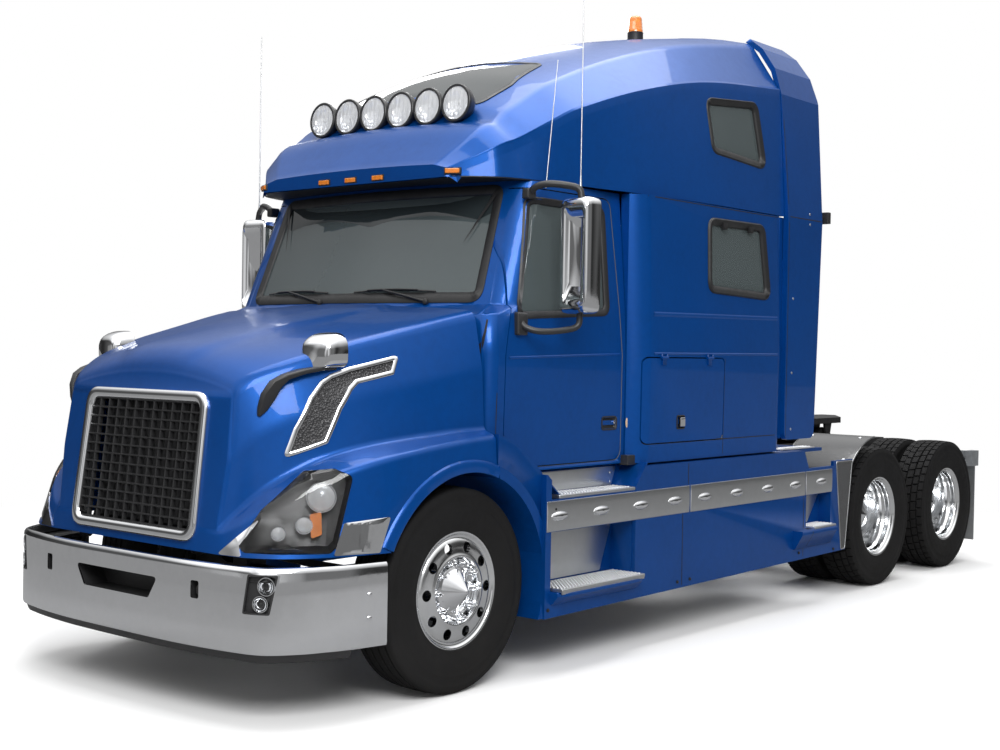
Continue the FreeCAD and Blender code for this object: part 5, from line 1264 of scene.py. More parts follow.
@dataclass
class Tyre:
    """One tyre, drawn about the X axis with its middle at the origin."""

    tread: Tread
    radius: float = 0.5175
    half: float = 0.138
    bead: float = 0.274
    groove: float = 0.012
    blocks: int = 46

    def flank(self) -> list[Pair]:
        """Return the profile of one side from the bead to the shoulder."""
        return [(0.09, 0.276), (0.1, 0.28), (0.113, 0.294), (0.12, 0.3), (0.1205, 0.306), (0.128, 0.33),
                (0.1335, 0.352), (0.1365, 0.376), (0.137, 0.398), (0.1355, 0.42), (0.1358, 0.424),
                (0.1352, 0.428), (0.1338, 0.432), (0.1325, 0.45), (0.1322, 0.466), (0.1332, 0.47),
                (0.1332, 0.478), (0.1315, 0.484), (0.1285, 0.494), (0.1235, 0.504)]

    @staticmethod
    def fall(x: float) -> float:
        """Return how far the crowned tread falls off at a distance from its middle."""
        return 0.006 * (x / 0.12) ** 2

    def crown(self) -> list[Pair]:
        """Return the profile across the tread, with its long grooves."""
        base = 0.0 if self.tread is Tread.RIBS else 0.013
        top = self.radius - base

        def high(x: float) -> float:
            """Radius of the crowned tread."""
            return top - self.fall(x)

        line = [(0.118, high(0.118) - 0.003), (0.112, high(0.112))]
        if self.tread is Tread.RIBS:
            for x in (0.076, 0.026, -0.026, -0.076):
                line += [(x + 0.007, high(x)), (x + 0.0045, high(x) - self.groove),
                         (x - 0.0045, high(x) - self.groove), (x - 0.007, high(x))]
        return line + [(-0.112, high(0.112)), (-0.118, high(0.118) - 0.003)]

    def carcass(self) -> Form:
        """Return the turned body with its hollow inner side."""
        side = self.flank()
        inner = [(0.085, 0.29), (0.1, 0.34), (0.108, 0.4), (0.104, 0.46), (0.08, 0.49)]
        profile = side + self.crown() + [(-x, r) for x, r in reversed(side)]
        profile += [(-x, r) for x, r in inner] + list(reversed(inner)) + [side[0]]
        return Form().turned(profile, ORIGIN, ALONG_X, 120)

    def lug(self, x0: float, x1: float, width: float, turn: float, skew: float = 0.0) -> Form:
        """Return one tread block.

        Args:
            x0: Inner edge across the tyre.
            x1: Outer edge across the tyre.
            width: Length round the tyre.
            turn: Angle round the tyre.
            skew: How far the outer edge leads the inner one.

        Returns:
            The block, standing on the carcass.
        """
        foot, top = self.radius - 0.02, self.radius
        points = []
        for r, grow in ((foot, 0.0015), (top - 0.0025, 0.0), (top, -0.0025)):
            row = []
            for x, y in ((x0 - grow, -width / 2 - grow), (x1 + grow, -width / 2 - grow + skew),
                         (x1 + grow, width / 2 + grow + skew), (x0 - grow, width / 2 + grow)):
                row.append(Vector((x, y, r - self.fall(x) - y * y / (2.0 * r))))
            points.append(row)
        return Form().solid(points).moved(Matrix.Rotation(turn, 4, "X"))

    def pattern(self) -> Form:
        """Return the blocks or the shoulder notches all round."""
        step = 2.0 * math.pi / self.blocks
        pitch = step * self.radius
        cell = Form()
        if self.tread is Tread.BLOCKS:
            for side in (1.0, -1.0):
                lag = 0.0 if side > 0 else step / 2
                cell.join(self.lug(side * 0.084, side * 0.1215, pitch - 0.011, lag, 0.004))
                cell.join(self.lug(side * 0.035, side * 0.075, pitch - 0.009, step * 0.35 + lag, 0.006))
            cell.join(self.lug(-0.024, 0.024, pitch - 0.01, step * 0.6, 0.008))
            return ring(cell, self.blocks, ORIGIN, TYRE)
        for side in (1.0, -1.0):
            for turn in (0.0, step / 3, 2 * step / 3):
                cell.join(self.notch(side, turn))
        return ring(cell, self.blocks, ORIGIN, TYRE)

    def notch(self, side: float, turn: float) -> Form:
        """Return one small shoulder rib of a rib tread."""
        r = self.radius - 0.006
        rows = []
        for y in (-0.0085, 0.0085):
            edge = ((0.104, r - 0.012), (0.104, r + 0.0008), (0.1165, r - 0.0045), (0.1245, r - 0.014),
                    (0.1275, r - 0.026), (0.118, r - 0.026))
            rows.append([Vector((side * x, y, z)) for x, z in edge])
        return Form().loft(rows, closed=True, caps=True).moved(Matrix.Rotation(turn, 4, "X"))

    def form(self) -> Form:
        """Return the whole tyre."""
        return self.carcass().tidy().join(self.pattern().tidy())


@dataclass
class FrontRim:
    """Polished front disc wheel, with its middle at the origin and its face towards +X."""

    face: float = 0.114
    holes: int = 10
    hole_circle: float = 0.222
    hole_radius: float = 0.028
    studs: int = 10
    stud_circle: float = 0.142

    def disc(self) -> Form:
        """Return the rim and disc with its hand holes."""
        f = self.face
        line = [(-f, 0.272), (-f, 0.2965), (-f + 0.002, 0.298), (-f + 0.008, 0.298), (-f + 0.011, 0.294),
                (-f + 0.013, 0.277), (-f + 0.02, 0.273), (f - 0.02, 0.273), (f - 0.014, 0.277),
                (f - 0.011, 0.2935), (f - 0.008, 0.298), (f - 0.002, 0.298), (f, 0.2955), (f, 0.2885),
                (f - 0.003, 0.2835), (f - 0.007, 0.281), (f - 0.01, 0.276), (f - 0.012, 0.27),
                (f - 0.011, 0.264), (f - 0.006, 0.259), (f - 0.001, 0.25), (f + 0.002, 0.236),
                (f + 0.004, 0.216), (f + 0.006, 0.196), (f + 0.008, 0.184), (f + 0.012, 0.179),
                (f + 0.013, 0.173), (f + 0.011, 0.168), (f + 0.004, 0.165), (f - 0.01, 0.162),
                (f - 0.024, 0.16), (f - 0.03, 0.157), (f - 0.03, 0.062), (f - 0.046, 0.062),
                (f - 0.046, 0.182), (f - 0.016, 0.206), (f - 0.02, 0.25), (f - 0.048, 0.257),
                (-f + 0.02, 0.258), (-f, 0.272)]
        form = Form().turned(line, ORIGIN, ALONG_X, 160).tidy()
        return holed(form, self.holes, self.hole_circle, self.hole_radius, f - 0.06, 0.1, 40)

    def spikes(self) -> Form:
        """Return the pointed nut covers all round."""
        line = [(0.0, 0.0), (0.0, 0.019), (0.012, 0.0205), (0.016, 0.0195), (0.03, 0.0175), (0.034, 0.0145),
                (0.038, 0.0135), (0.054, 0.0085), (0.07, 0.004), (0.0725, 0.0025), (0.0735, 0.0)]
        cell = Form().turned(line, (self.face - 0.032, 0.0, self.stud_circle), ALONG_X, 16).tidy()
        return ring(cell, self.studs, ORIGIN, CHROME).moved(Matrix.Rotation(math.pi / self.studs, 4, "X"))

    def cover(self) -> Form:
        """Return the cone over the hub."""
        f = self.face
        line = [(f - 0.03, 0.0), (f - 0.03, 0.122), (f - 0.026, 0.124), (f - 0.014, 0.1225),
                (f - 0.01, 0.116), (f - 0.009, 0.11), (f - 0.006, 0.1065), (f + 0.03, 0.062),
                (f + 0.07, 0.0115), (f + 0.0745, 0.006), (f + 0.0755, 0.0)]
        return Form().turned(line, ORIGIN, ALONG_X, 96).tidy()

    def hub(self) -> Form:
        """Return the hub behind the disc."""
        f = self.face
        line = [(-0.066, 0.062), (-0.066, 0.148), (-0.06, 0.15), (-0.03, 0.166), (-0.026, 0.168),
                (f - 0.047, 0.168), (f - 0.047, 0.062), (-0.066, 0.062)]
        return Form().turned(line, ORIGIN, ALONG_X, 64).tidy()


@dataclass
class DriveRim:
    """Deep polished rim of a twin, with its mounting face at the origin, dished towards +X."""

    depth: float = 0.278
    holes: int = 10
    hole_circle: float = 0.196
    hole_radius: float = 0.022
    stud_circle: float = 0.142

    def disc(self) -> Form:
        """Return the dished rim."""
        f = self.depth
        line = [(f - 0.228, 0.272), (f - 0.228, 0.2965), (f - 0.226, 0.298), (f - 0.22, 0.298),
                (f - 0.217, 0.294), (f - 0.215, 0.276), (f - 0.208, 0.273), (f - 0.02, 0.273),
                (f - 0.014, 0.277), (f - 0.011, 0.2935), (f - 0.008, 0.298), (f - 0.002, 0.298), (f, 0.2955),
                (f, 0.288), (f - 0.003, 0.283), (f - 0.008, 0.2805), (f - 0.013, 0.276), (f - 0.017, 0.268),
                (f - 0.024, 0.2625), (f - 0.038, 0.261), (f - 0.06, 0.2605), (f - 0.07, 0.258),
                (f - 0.078, 0.252), (f - 0.086, 0.2475), (f - 0.15, 0.2455), (0.09, 0.2425), (0.06, 0.236),
                (0.04, 0.226), (0.026, 0.212), (0.018, 0.196), (0.013, 0.178), (0.01, 0.16), (0.01, 0.108),
                (0.0, 0.108), (0.0, 0.18), (0.01, 0.2), (0.022, 0.222), (0.04, 0.238), (0.066, 0.25),
                (f - 0.228, 0.272)]
        form = Form().turned(line, ORIGIN, ALONG_X, 144).tidy()
        return holed(form, self.holes, self.hole_circle, self.hole_radius, -0.02, 0.09, 32)

    def hub(self) -> Form:
        """Return the bright hub with its cone."""
        line = [(0.0095, 0.0), (0.0095, 0.112), (0.022, 0.114), (0.06, 0.111), (0.064, 0.106),
                (0.068, 0.1035), (0.11, 0.098), (0.148, 0.093), (0.152, 0.088), (0.154, 0.08),
                (0.178, 0.016), (0.1815, 0.008), (0.182, 0.0)]
        return Form().turned(line, ORIGIN, ALONG_X, 96).tidy()

    def nuts(self) -> Form:
        """Return the covered nuts all round."""
        line = [(0.0, 0.0), (0.0, 0.021), (0.006, 0.021), (0.008, 0.0175), (0.03, 0.0165), (0.036, 0.013),
                (0.039, 0.006), (0.0395, 0.0)]
        cell = Form().turned(line, (0.0095, 0.0, self.stud_circle), ALONG_X, 12).tidy()
        half_step = Matrix.Rotation(math.pi / self.holes, 4, "X")
        return ring(cell, self.holes, ORIGIN, CHROME).moved(half_step)


@dataclass
class Wheels:
    """All six wheel assemblies on their hubs."""

    axle_z: float = 0.518
    front_x: float = 1.026
    outer_x: float = 1.082
    spacing: float = 0.328
    drive_axles: tuple[float, float] = (4.7115, 5.9845)

    def build(self) -> None:
        """Build the front wheels and the twin drive wheels."""
        self.front()
        self.drive()

    def front(self) -> None:
        """Build the two steered wheels."""
        tyre, rim = Tyre(Tread.RIBS).form(), FrontRim()
        disc, covers, hub = rim.disc(), rim.spikes().join(rim.cover()), rim.hub()
        out = shift(self.front_x, 0.0, self.axle_z)
        for side in Side:
            body = "front_wheel_" + side.word
            tyre_node, rim_node = "front_tyre_" + side.word, "front_rim_" + side.word
            place(tyre.moved(out).on(side), tyre_node + "_piece", TYRE, body, [tyre_node])
            place(disc.moved(out).on(side), rim_node + "_piece", WHEEL_METAL, body, [rim_node], angle=35.0)
            place(covers.moved(out).on(side), "front_hub_cover_" + side.word, CHROME, body)
            place(hub.moved(out).on(side), "front_hub_" + side.word, CAST, body)

    def drive(self) -> None:
        """Build the two axles of twin wheels."""
        tyre, rim = Tyre(Tread.BLOCKS).form(), DriveRim()
        disc, hub = rim.disc(), rim.hub().join(rim.nuts())
        mount = self.outer_x - self.spacing / 2.0
        middle = shift(mount, 0.0, 0.0)
        twins = tyre.moved(shift(self.outer_x, 0.0, 0.0))
        twins.join(tyre.moved(shift(self.outer_x - self.spacing, 0.0, 0.0)))
        rims = disc.moved(middle).join(disc.on(Side.RIGHT).moved(middle))
        hubs = hub.moved(middle)
        drum = Form().turned([(mount - 0.2, 0.09), (mount - 0.2, 0.1), (mount - 0.16, 0.104),
                              (mount - 0.15, 0.204), (mount - 0.012, 0.206), (mount - 0.01, 0.1),
                              (mount - 0.2, 0.09)], ORIGIN, ALONG_X, 64)
        for number, y in enumerate(self.drive_axles, 1):
            for side in Side:
                axle = f"drive{number}_"
                body = axle + "wheel_" + side.word
                tyre_node, rim_node = axle + "tyres_" + side.word, axle + "rims_" + side.word
                back = shift(0.0, y, self.axle_z)
                place(twins.moved(back).on(side), tyre_node + "_piece", TYRE, body, [tyre_node])
                place(rims.moved(back).on(side), rim_node + "_piece", WHEEL_METAL, body, [rim_node],
                      angle=35.0)
                place(hubs.moved(back).on(side), axle + "hub_" + side.word, CHROME, body)
                place(drum.moved(back).on(side), axle + "drum_" + side.word, CAST, body)


# Hood


@dataclass
class Hood:
    """Tilting hood with its fenders, grille, lamps, vents and mirrors."""

    wall: float = 0.008
    foot_z: float = 0.762
    arch: Pair = (0.034, 0.518)
    arch_radius: float = 0.592
    lean: float = 0.1263
    edge_keys: Sequence[Pair] = ((-0.62, 1.156), (-0.48, 1.18), (-0.27, 1.186))
    round_lamps: Sequence[tuple[float, ...]] = ((-0.122, 1.03, 0.062, 0.03), (-0.045, 0.905, 0.036, 0.028),
                                                (0.07, 0.868, 0.03, 0.022))
    body: str = "hood"
    foot: Sequence[Triple] = ((1.186, 0.246, 0.0), (1.186, 0.09, 0.0), (1.186, -0.06, 0.0),
                              (1.186, -0.27, 0.0), (1.18, -0.48, 0.762), (1.156, -0.62, 0.762),
                              (1.1, -0.81, 0.762), (0.985, -1.0, 0.762), (0.84, -1.098, 0.762),
                              (0.68, -1.128, 0.762))
    fender: Sequence[Triple] = ((1.172, 0.246, 1.285), (1.176, 0.09, 1.277), (1.178, -0.06, 1.264),
                                (1.176, -0.27, 1.242), (1.164, -0.48, 1.212), (1.128, -0.63, 1.178),
                                (1.042, -0.8, 1.122), (0.915, -0.965, 1.02), (0.78, -1.065, 0.92),
                                (0.655, -1.112, 0.85))
    valley: Sequence[Triple] = ((1.092, 0.246, 1.312), (1.088, 0.09, 1.308), (1.078, -0.06, 1.3),
                                (1.055, -0.27, 1.284), (1.022, -0.48, 1.262), (0.975, -0.63, 1.232),
                                (0.895, -0.8, 1.168), (0.785, -0.955, 1.06), (0.695, -1.045, 0.95),
                                (0.64, -1.108, 0.875))
    shoulder: Sequence[Triple] = ((1.012, 0.246, 1.926), (0.985, 0.09, 1.892), (0.96, -0.06, 1.855),
                                  (0.922, -0.27, 1.803), (0.88, -0.48, 1.752), (0.838, -0.64, 1.704),
                                  (0.775, -0.81, 1.648), (0.712, -0.935, 1.592), (0.668, -1.005, 1.545),
                                  (0.64, -1.032, 1.505))
    crown: Sequence[Triple] = ((0.0, 0.246, 1.958), (0.0, 0.09, 1.932), (0.0, -0.06, 1.902),
                               (0.0, -0.27, 1.866), (0.0, -0.48, 1.828), (0.0, -0.64, 1.794),
                               (0.0, -0.81, 1.752), (0.0, -0.925, 1.712), (0.0, -0.992, 1.655),
                               (0.0, -1.024, 1.58))
    lamp_corner: Triple = (1.0, -0.96, 0.0)
    lamp_aim: Triple = (0.7413, -0.6712, 0.0)
    lamp_outline: Sequence[Pair] = ((-0.268, 1.128), (-0.183, 1.16), (-0.04, 1.146), (0.15, 0.972),
                                    (0.255, 0.812), (0.225, 0.784), (-0.166, 0.78), (-0.194, 0.806))
    vent_outline: Sequence[Pair] = ((-0.257, 1.69), (-0.313, 1.595), (-0.516, 1.552), (-0.556, 1.518),
                                    (-0.62, 1.428), (-0.7, 1.27), (-0.884, 1.202), (-0.834, 1.339),
                                    (-0.753, 1.486), (-0.69, 1.56), (-0.64, 1.593), (-0.542, 1.627))

    def fascia_y(self, z: float) -> float:
        """Return how far forward the leaning front face is at a height."""
        return -1.128 + (z - self.foot_z) * self.lean

    def arch_z(self, y: float) -> float:
        """Return the height of the fender's lower edge."""
        reach = self.arch_radius ** 2 - (y - self.arch[0]) ** 2
        over = self.arch[1] + math.sqrt(reach) if reach > 0.0 and y < 0.62 else 0.0
        return max(over, self.foot_z) if y > -0.52 else self.foot_z

    def half(self, foot: Vector, fender: Vector, valley: Vector, shoulder: Vector, crown: Vector,
             front: float) -> list[Vector]:
        """Return one half section, from the lower edge to the crown.

        Args:
            foot: Lower edge of the fender.
            fender: Outer edge of the fender's top.
            valley: Where the fender meets the side.
            shoulder: Top edge of the side.
            crown: Middle of the top.
            front: 1 along the hood, falling to 0 at its front end.

        Returns:
            The section's points.
        """
        foot = Vector((foot.x, foot.y, self.arch_z(foot.y)))

        def top(t: float) -> Vector:
            """Return a point of the crowned top."""
            bow = 1.0 - (1.0 - t) ** 2
            rise = 0.006 * front if t > 0.6 else 0.0
            return Vector((shoulder.x * (1.0 - t), shoulder.y + (crown.y - shoulder.y) * bow,
                           shoulder.z + (crown.z - shoulder.z) * bow + rise))

        belly = (valley + shoulder) / 2.0
        belly.x += 0.022
        line = rounded([foot, fender, valley, belly, shoulder, top(0.22)],
                       (0.05, 0.045, 0.04, 0.4, 0.075, 0.05), 5, closed=False)
        return line + [top(t) for t in (0.34, 0.48, 0.585, 0.615, 0.74, 0.87, 1.0)]

    def skin(self) -> Form:
        """Return the outer skin with the front face and its grille opening."""
        rails = [smooth_path(rail, 5) for rail in (self.foot, self.fender, self.valley, self.shoulder,
                                                   self.crown)]
        count = len(rails[0])
        lines = []
        for k in range(count):
            front = min(1.0, (count - 1 - k) / 8.0)
            half = self.half(*[rail[k] for rail in rails], front)
            if k == count - 1:
                half = [Vector((p.x, self.fascia_y(p.z), p.z)) for p in half]
            lines.append(half + [Vector((-p.x, p.y, p.z)) for p in reversed(half[:-1])])
        form = Form().loft(lines)
        flat = rounded([(-0.462, 0.836), (0.462, 0.836), (0.448, 1.462), (-0.448, 1.462)], 0.06, 6)
        hole = [Vector((p.x, self.fascia_y(p.y), p.y)) for p in flat]
        outer = lines[-1]
        points = [form.mesh.verts.new(p) for p in outer + hole]
        for a, b, c in tessellate_polygon([outer, hole]):
            form.mesh.faces.new((points[a], points[b], points[c]))
        form.tidy(2e-5).facing(Vector(ALONG_Z))
        edges = [e for e in form.mesh.edges if len(e.link_faces) == 2
                 and e.calc_face_angle(0.0) > math.radians(38) and e.verts[0].co.y < -0.98
                 and e.verts[1].co.y < -0.98]
        bmesh.ops.bevel(form.mesh, geom=edges, offset=0.012, segments=3, profile=0.5, affect="EDGES",
                        clamp_overlap=True)
        return form

    def lamp_drape(self, tree: BVHTree) -> Drape:
        """Return the cast onto the lamp's corner of the fender."""
        aim = Vector(self.lamp_aim)
        origin = Vector(self.lamp_corner) + aim * 0.4
        return Drape(tree, tuple(origin), (aim.y, -aim.x, 0.0), ALONG_Z)

    def lamp_prism(self, grow: float) -> Form:
        """Return the prism that cuts the lamp's opening."""
        aim = Vector(self.lamp_aim)
        corner = Vector(self.lamp_corner) + aim * 0.35
        side = Vector((aim.y, -aim.x, 0.0))
        edge = rounded(grown(self.lamp_outline, grow), 0.03, 4)
        return Form().slab([corner + side * p.x + Vector((0.0, 0.0, p.y)) for p in edge], aim * -0.62).tidy()

    def vent_prism(self, grow: float) -> Form:
        """Return the prism that cuts the side vent's opening."""
        edge = rounded(grown(self.vent_outline, grow), 0.018, 4)
        return Form().slab([(0.62, p.x, p.y) for p in edge], (0.62, 0.0, 0.0)).tidy()

    def build(self) -> None:
        """Build the hood and everything on it."""
        skin = self.skin()
        tree = skin.tree()
        shell = cut(walled(skin, self.wall), self.lamp_prism(0.001), self.lamp_prism(0.001).on(Side.RIGHT),
                    self.vent_prism(0.0), self.vent_prism(0.0).on(Side.RIGHT))
        place(shell.join(self.lips(tree)), "hood_skin", BLUE, self.body, ["hood"], angle=30.0)
        place(self.liner().both(), "hood_liner", BLACK_PLASTIC, self.body)
        self.vents(tree)
        self.lamps(tree)
        self.grille()
        self.mirrors()

    def lips(self, tree: BVHTree) -> Form:
        """Return the raised bands round both wheel arches."""
        lines = []
        cy, cz = self.arch
        for angle in spread(math.radians(69.1), math.radians(155.2), 40):
            row = []
            for r, lift in ((0.0, -0.006), (0.0, 0.01), (0.004, 0.0125), (0.046, 0.0125), (0.056, 0.009),
                            (0.064, -0.001), (0.06, -0.006)):
                reach = self.arch_radius + r
                y, z = cy + reach * math.cos(angle), cz + reach * math.sin(angle)
                hit = tree.ray_cast(Vector((SIDE_EYE, y, z)), Vector((-1.0, 0.0, 0.0)))[0]
                x = hit.x if hit is not None and hit.x > 1.0 else curve(self.edge_keys, y)
                row.append(Vector((min(x + lift, 1.198), y, z)))
            lines.append(row)
        return Form().loft(lines, closed=True, caps=True).tidy().both()

    def liner(self) -> Form:
        """Return the black inner skin of one wheel arch."""
        lines = []
        cy, cz = self.arch
        for angle in spread(math.radians(74.0), math.radians(148.0), 24):
            lines.append([Vector((x, cy + r * math.cos(angle), cz + r * math.sin(angle)))
                          for x, r in ((0.74, 0.66), (1.16, 0.66), (1.16, 0.6), (1.166, 0.6), (1.166, 0.666),
                                       (0.74, 0.666))])
        return Form().loft(lines, closed=True, caps=True).tidy()

    def vents(self, tree: BVHTree) -> None:
        """Build the side vents: bright frame and dark woven mesh."""
        drape = Drape(tree, (SIDE_EYE, 0.0, 0.0), ALONG_Y, DOWN)
        flat = under(self.vent_outline)
        frame_band = drape.rings(flat, [(0.0, -0.014), (0.001, 0.003), (-0.002, 0.0055), (-0.015, 0.0055),
                                        (-0.0185, 0.003), (-0.0185, -0.014)], 0.018)
        mesh = drape.patch(rounded(grown(flat, -0.012), 0.012, 4), -0.01, 0.03)
        place(frame_band.both(), "side_vent_frames", CHROME, self.body, ["side_vents"], angle=40.0)
        place(mesh.both(), "side_vent_mesh", WOVEN_MESH, self.body, tidy=False)

    def lamps(self, tree: BVHTree) -> None:
        """Build the headlamps: bucket, bowls, amber block, clear lens and bright trim."""
        drape = self.lamp_drape(tree)
        aim = Vector(self.lamp_aim)
        outline = rounded(self.lamp_outline, 0.03, 5)
        low = Vector((sum(p.x for p in outline), sum(p.y for p in outline))) / len(outline)
        lines = []
        for depth, share in ((0.0, 1.0), (0.004, 0.985), (0.012, 0.975), (0.05, 0.93), (0.085, 0.86)):
            edge = [low + (p - low) * share for p in outline]
            lines.append([drape.spot(p, 0.001) - aim * depth for p in edge])
        bucket = Form().loft(lines, closed=True)
        back = Form().face(lines[-1])
        bmesh.ops.triangulate(back.mesh, faces=back.mesh.faces[:])
        bucket.join(back)
        place(bucket.both(), "headlamp_buckets", GRILLE_BLACK, self.body, ["headlamps"], angle=40.0)
        bowls, amber, glow = Form(), Form(), Form()
        for s, z, r, depth in self.round_lamps:
            spot = drape.spot((s, z)) - aim * depth
            bowls.turned([(-0.03, 0.0), (-0.03, r * 0.35), (-0.022, r * 0.62), (-0.008, r * 0.88),
                          (0.004, r), (0.008, r * 1.02), (0.008, r * 1.12), (-0.04, r * 1.14)], spot, aim,
                         32)
            bowls.turned([(-0.03, r * 0.26), (-0.012, r * 0.25), (-0.008, r * 0.16), (-0.007, 0.0)], spot,
                         aim, 20)
            glow.turned([(0.006, r), (0.012, r * 0.7), (0.015, r * 0.35), (0.016, 0.0)], spot, aim, 28)
        edge = rounded([(-0.07, 0.955), (-0.122, 0.965), (-0.126, 0.862), (-0.076, 0.845)], 0.01, 3)
        amber.solid([[drape.spot(p) - aim * depth for p in edge] for depth in (0.06, 0.022)])
        place(glow.both(), "headlamp_inner_lenses", RIBBED_LENS, self.body, tidy=False)
        place(bowls.both(), "headlamp_bowls", CHROME, self.body, angle=50.0)
        place(amber.tidy().both(), "headlamp_turn_lamps", AMBER, self.body, bevel=0.002)
        place(drape.patch(outline, 0.0015, 0.03).both(), "headlamp_lenses", LENS, self.body, tidy=False)
        trim = Form()
        plate = drape.patch(rounded([(-0.226, 0.914), (-0.446, 0.932), (-0.396, 0.768), (-0.18, 0.768)],
                                    0.01, 3), 0.007, 0.012)
        wedge = drape.patch(rounded([(0.13, 0.958), (0.246, 0.812), (0.236, 0.764), (0.35, 0.764),
                                     (0.262, 0.845)], 0.01, 3), 0.0035, 0.03)
        trim.join(walled(plate, 0.004)).join(walled(wedge, 0.004))
        place(trim.both(), "headlamp_trim", CHROME, self.body, angle=40.0)

    def grille(self) -> None:
        """Build the bright grille surround and the dark cell mesh in it."""
        corners = ((-0.456, 0.842), (0.456, 0.842), (0.442, 1.456), (-0.442, 1.456))
        lines = []
        for growth, rise in ((0.046, -0.002), (0.047, 0.008), (0.043, 0.016), (0.034, 0.02), (0.022, 0.0215),
                             (0.01, 0.021), (0.002, 0.018), (-0.006, 0.01), (-0.008, -0.006),
                             (-0.008, -0.04)):
            edge = rounded(grown(corners, growth), 0.055 + growth * 0.8, 7)
            lines.append([Vector((p.x, self.fascia_y(p.y) - rise, p.y + rise * 0.12)) for p in edge])
        band = Form().loft(lines, closed=True).tidy()
        place(band, "grille_surround_piece", CHROME, self.body, ["grille_surround"], angle=50.0)
        lattice = Form()
        wide, tall, columns, lines_up = 0.885, 0.6, 13, 14
        bar_up = self.bar((0.0, 0.0, -tall / 2.0), (0.0, 0.0, tall / 2.0), 0.0042, 0.012)
        bar_side = self.bar((-wide / 2.0, 0.0, 0.0), (wide / 2.0, 0.0, 0.0), 0.0052, 0.012)
        upright = rows(bar_up, GRILLE_BLACK, columns, (wide / (columns - 1), 0.0, 0.0))
        level = rows(bar_side, GRILLE_BLACK, lines_up, (0.0, 0.0, tall / (lines_up - 1)))
        lattice.join(upright.moved(shift(-wide / 2.0, 0.0, 0.0)))
        lattice.join(level.moved(shift(0.0, 0.0, -tall / 2.0)))
        tilt = Matrix.Rotation(-math.atan(self.lean), 4, "X")
        lattice = lattice.moved(shift(0.0, self.fascia_y(1.149) + 0.002, 1.149) @ tilt)
        place(lattice, "grille_lattice", GRILLE_BLACK, self.body, ["grille_mesh"], angle=50.0)
        back = Form().slab([(-0.45, -1.02, 0.85), (0.45, -1.02, 0.85), (0.45, -0.945, 1.45),
                            (-0.45, -0.945, 1.45)], (0.0, 0.006, 0.0))
        place(back, "grille_screen", CORE, self.body)

    @staticmethod
    def bar(start: Triple, end: Triple, half: float, deep: float) -> Form:
        """Return a rounded bar that is deeper front to back.

        Args:
            start: One end.
            end: The other end.
            half: Half of the width seen from ahead.
            deep: How far it reaches to the front and to the back.

        Returns:
            The bar.
        """
        a, b = Vector(start), Vector(end)
        side = Vector(ALONG_X) if abs((b - a).z) > 0.1 else Vector(ALONG_Z)
        out = Vector((0.0, -1.0, 0.0))
        shape = [(-half, -deep), (-half, deep * 0.6), (-half * 0.4, deep), (half * 0.4, deep),
                 (half, deep * 0.6), (half, -deep)]
        return Form().loft([[p + side * x + out * y for x, y in shape] for p in (a, b)], closed=True,
                           caps=True).tidy()

    def mirrors(self) -> None:
        """Build the hood mirrors: bright domed heads on black arms."""
        lines = []
        for t in spread(0.0, 1.0, 14):
            grow = max(math.sin(math.acos(1.0 - t) if t < 1 else math.pi / 2.0), 0.06)
            row = []
            for k in range(32):
                a = 2.0 * math.pi * k / 32
                c, s = math.cos(a), math.sin(a)
                x = 0.11 * math.copysign(abs(c) ** 0.55, c) * (0.66 + 0.34 * grow)
                x *= 1.0 - 0.14 * max(s, 0.0)
                z = 0.086 * s ** 0.6 * (0.3 + 0.7 * grow) if s >= 0.0 else -0.086 * abs(s) ** 0.4
                row.append(Vector((x, -0.066 + 0.118 * t, z)))
            lines.append(row)
        turn = shift(0.834, -0.64, 1.708) @ Matrix.Rotation(math.radians(6.0), 4, "Z")
        head = Form().solid(lines)
        place(head.moved(turn).both(), "hood_mirror_heads", CHROME, self.body, ["hood_mirrors"], angle=60.0)
        rim = Form().loft([[p + Vector((0.0, 0.001, 0.0)) for p in lines[-1]],
                           [Vector((p.x * 0.93, p.y + 0.002, p.z * 0.92)) for p in lines[-1]]], closed=True)
        place(rim.moved(turn).both(), "hood_mirror_rims", BLACK_PLASTIC, self.body)
        blade = ((0.836, -0.61, 1.626, 0.022, 0.058), (0.834, -0.69, 1.622, 0.02, 0.062),
                 (0.826, -0.775, 1.606, 0.024, 0.04), (0.812, -0.86, 1.58, 0.03, 0.028),
                 (0.796, -0.905, 1.545, 0.055, 0.022), (0.776, -0.93, 1.49, 0.07, 0.018),
                 (0.758, -0.95, 1.43, 0.045, 0.014), (0.75, -0.962, 1.398, 0.01, 0.008))
        sections = []
        for k, (x, y, z, high, half) in enumerate(blade):
            before, after = Vector(blade[max(k - 1, 0)][:3]), Vector(blade[min(k + 1, len(blade) - 1)][:3])
            side = Vector(ALONG_X)
            up = (after - before).normalized().cross(side).normalized()
            shape = rounded([(-half, -high / 2.0), (half, -high / 2.0), (half, high / 2.0),
                             (-half, high / 2.0)], min(half, high) * 0.4, 3)
            sections.append([Vector((x, y, z)) + side * p.x + up * p.y for p in shape])
        place(Form().solid(sections).both(), "hood_mirror_arms", BLACK_PLASTIC, self.body, angle=50.0)


# Bumper


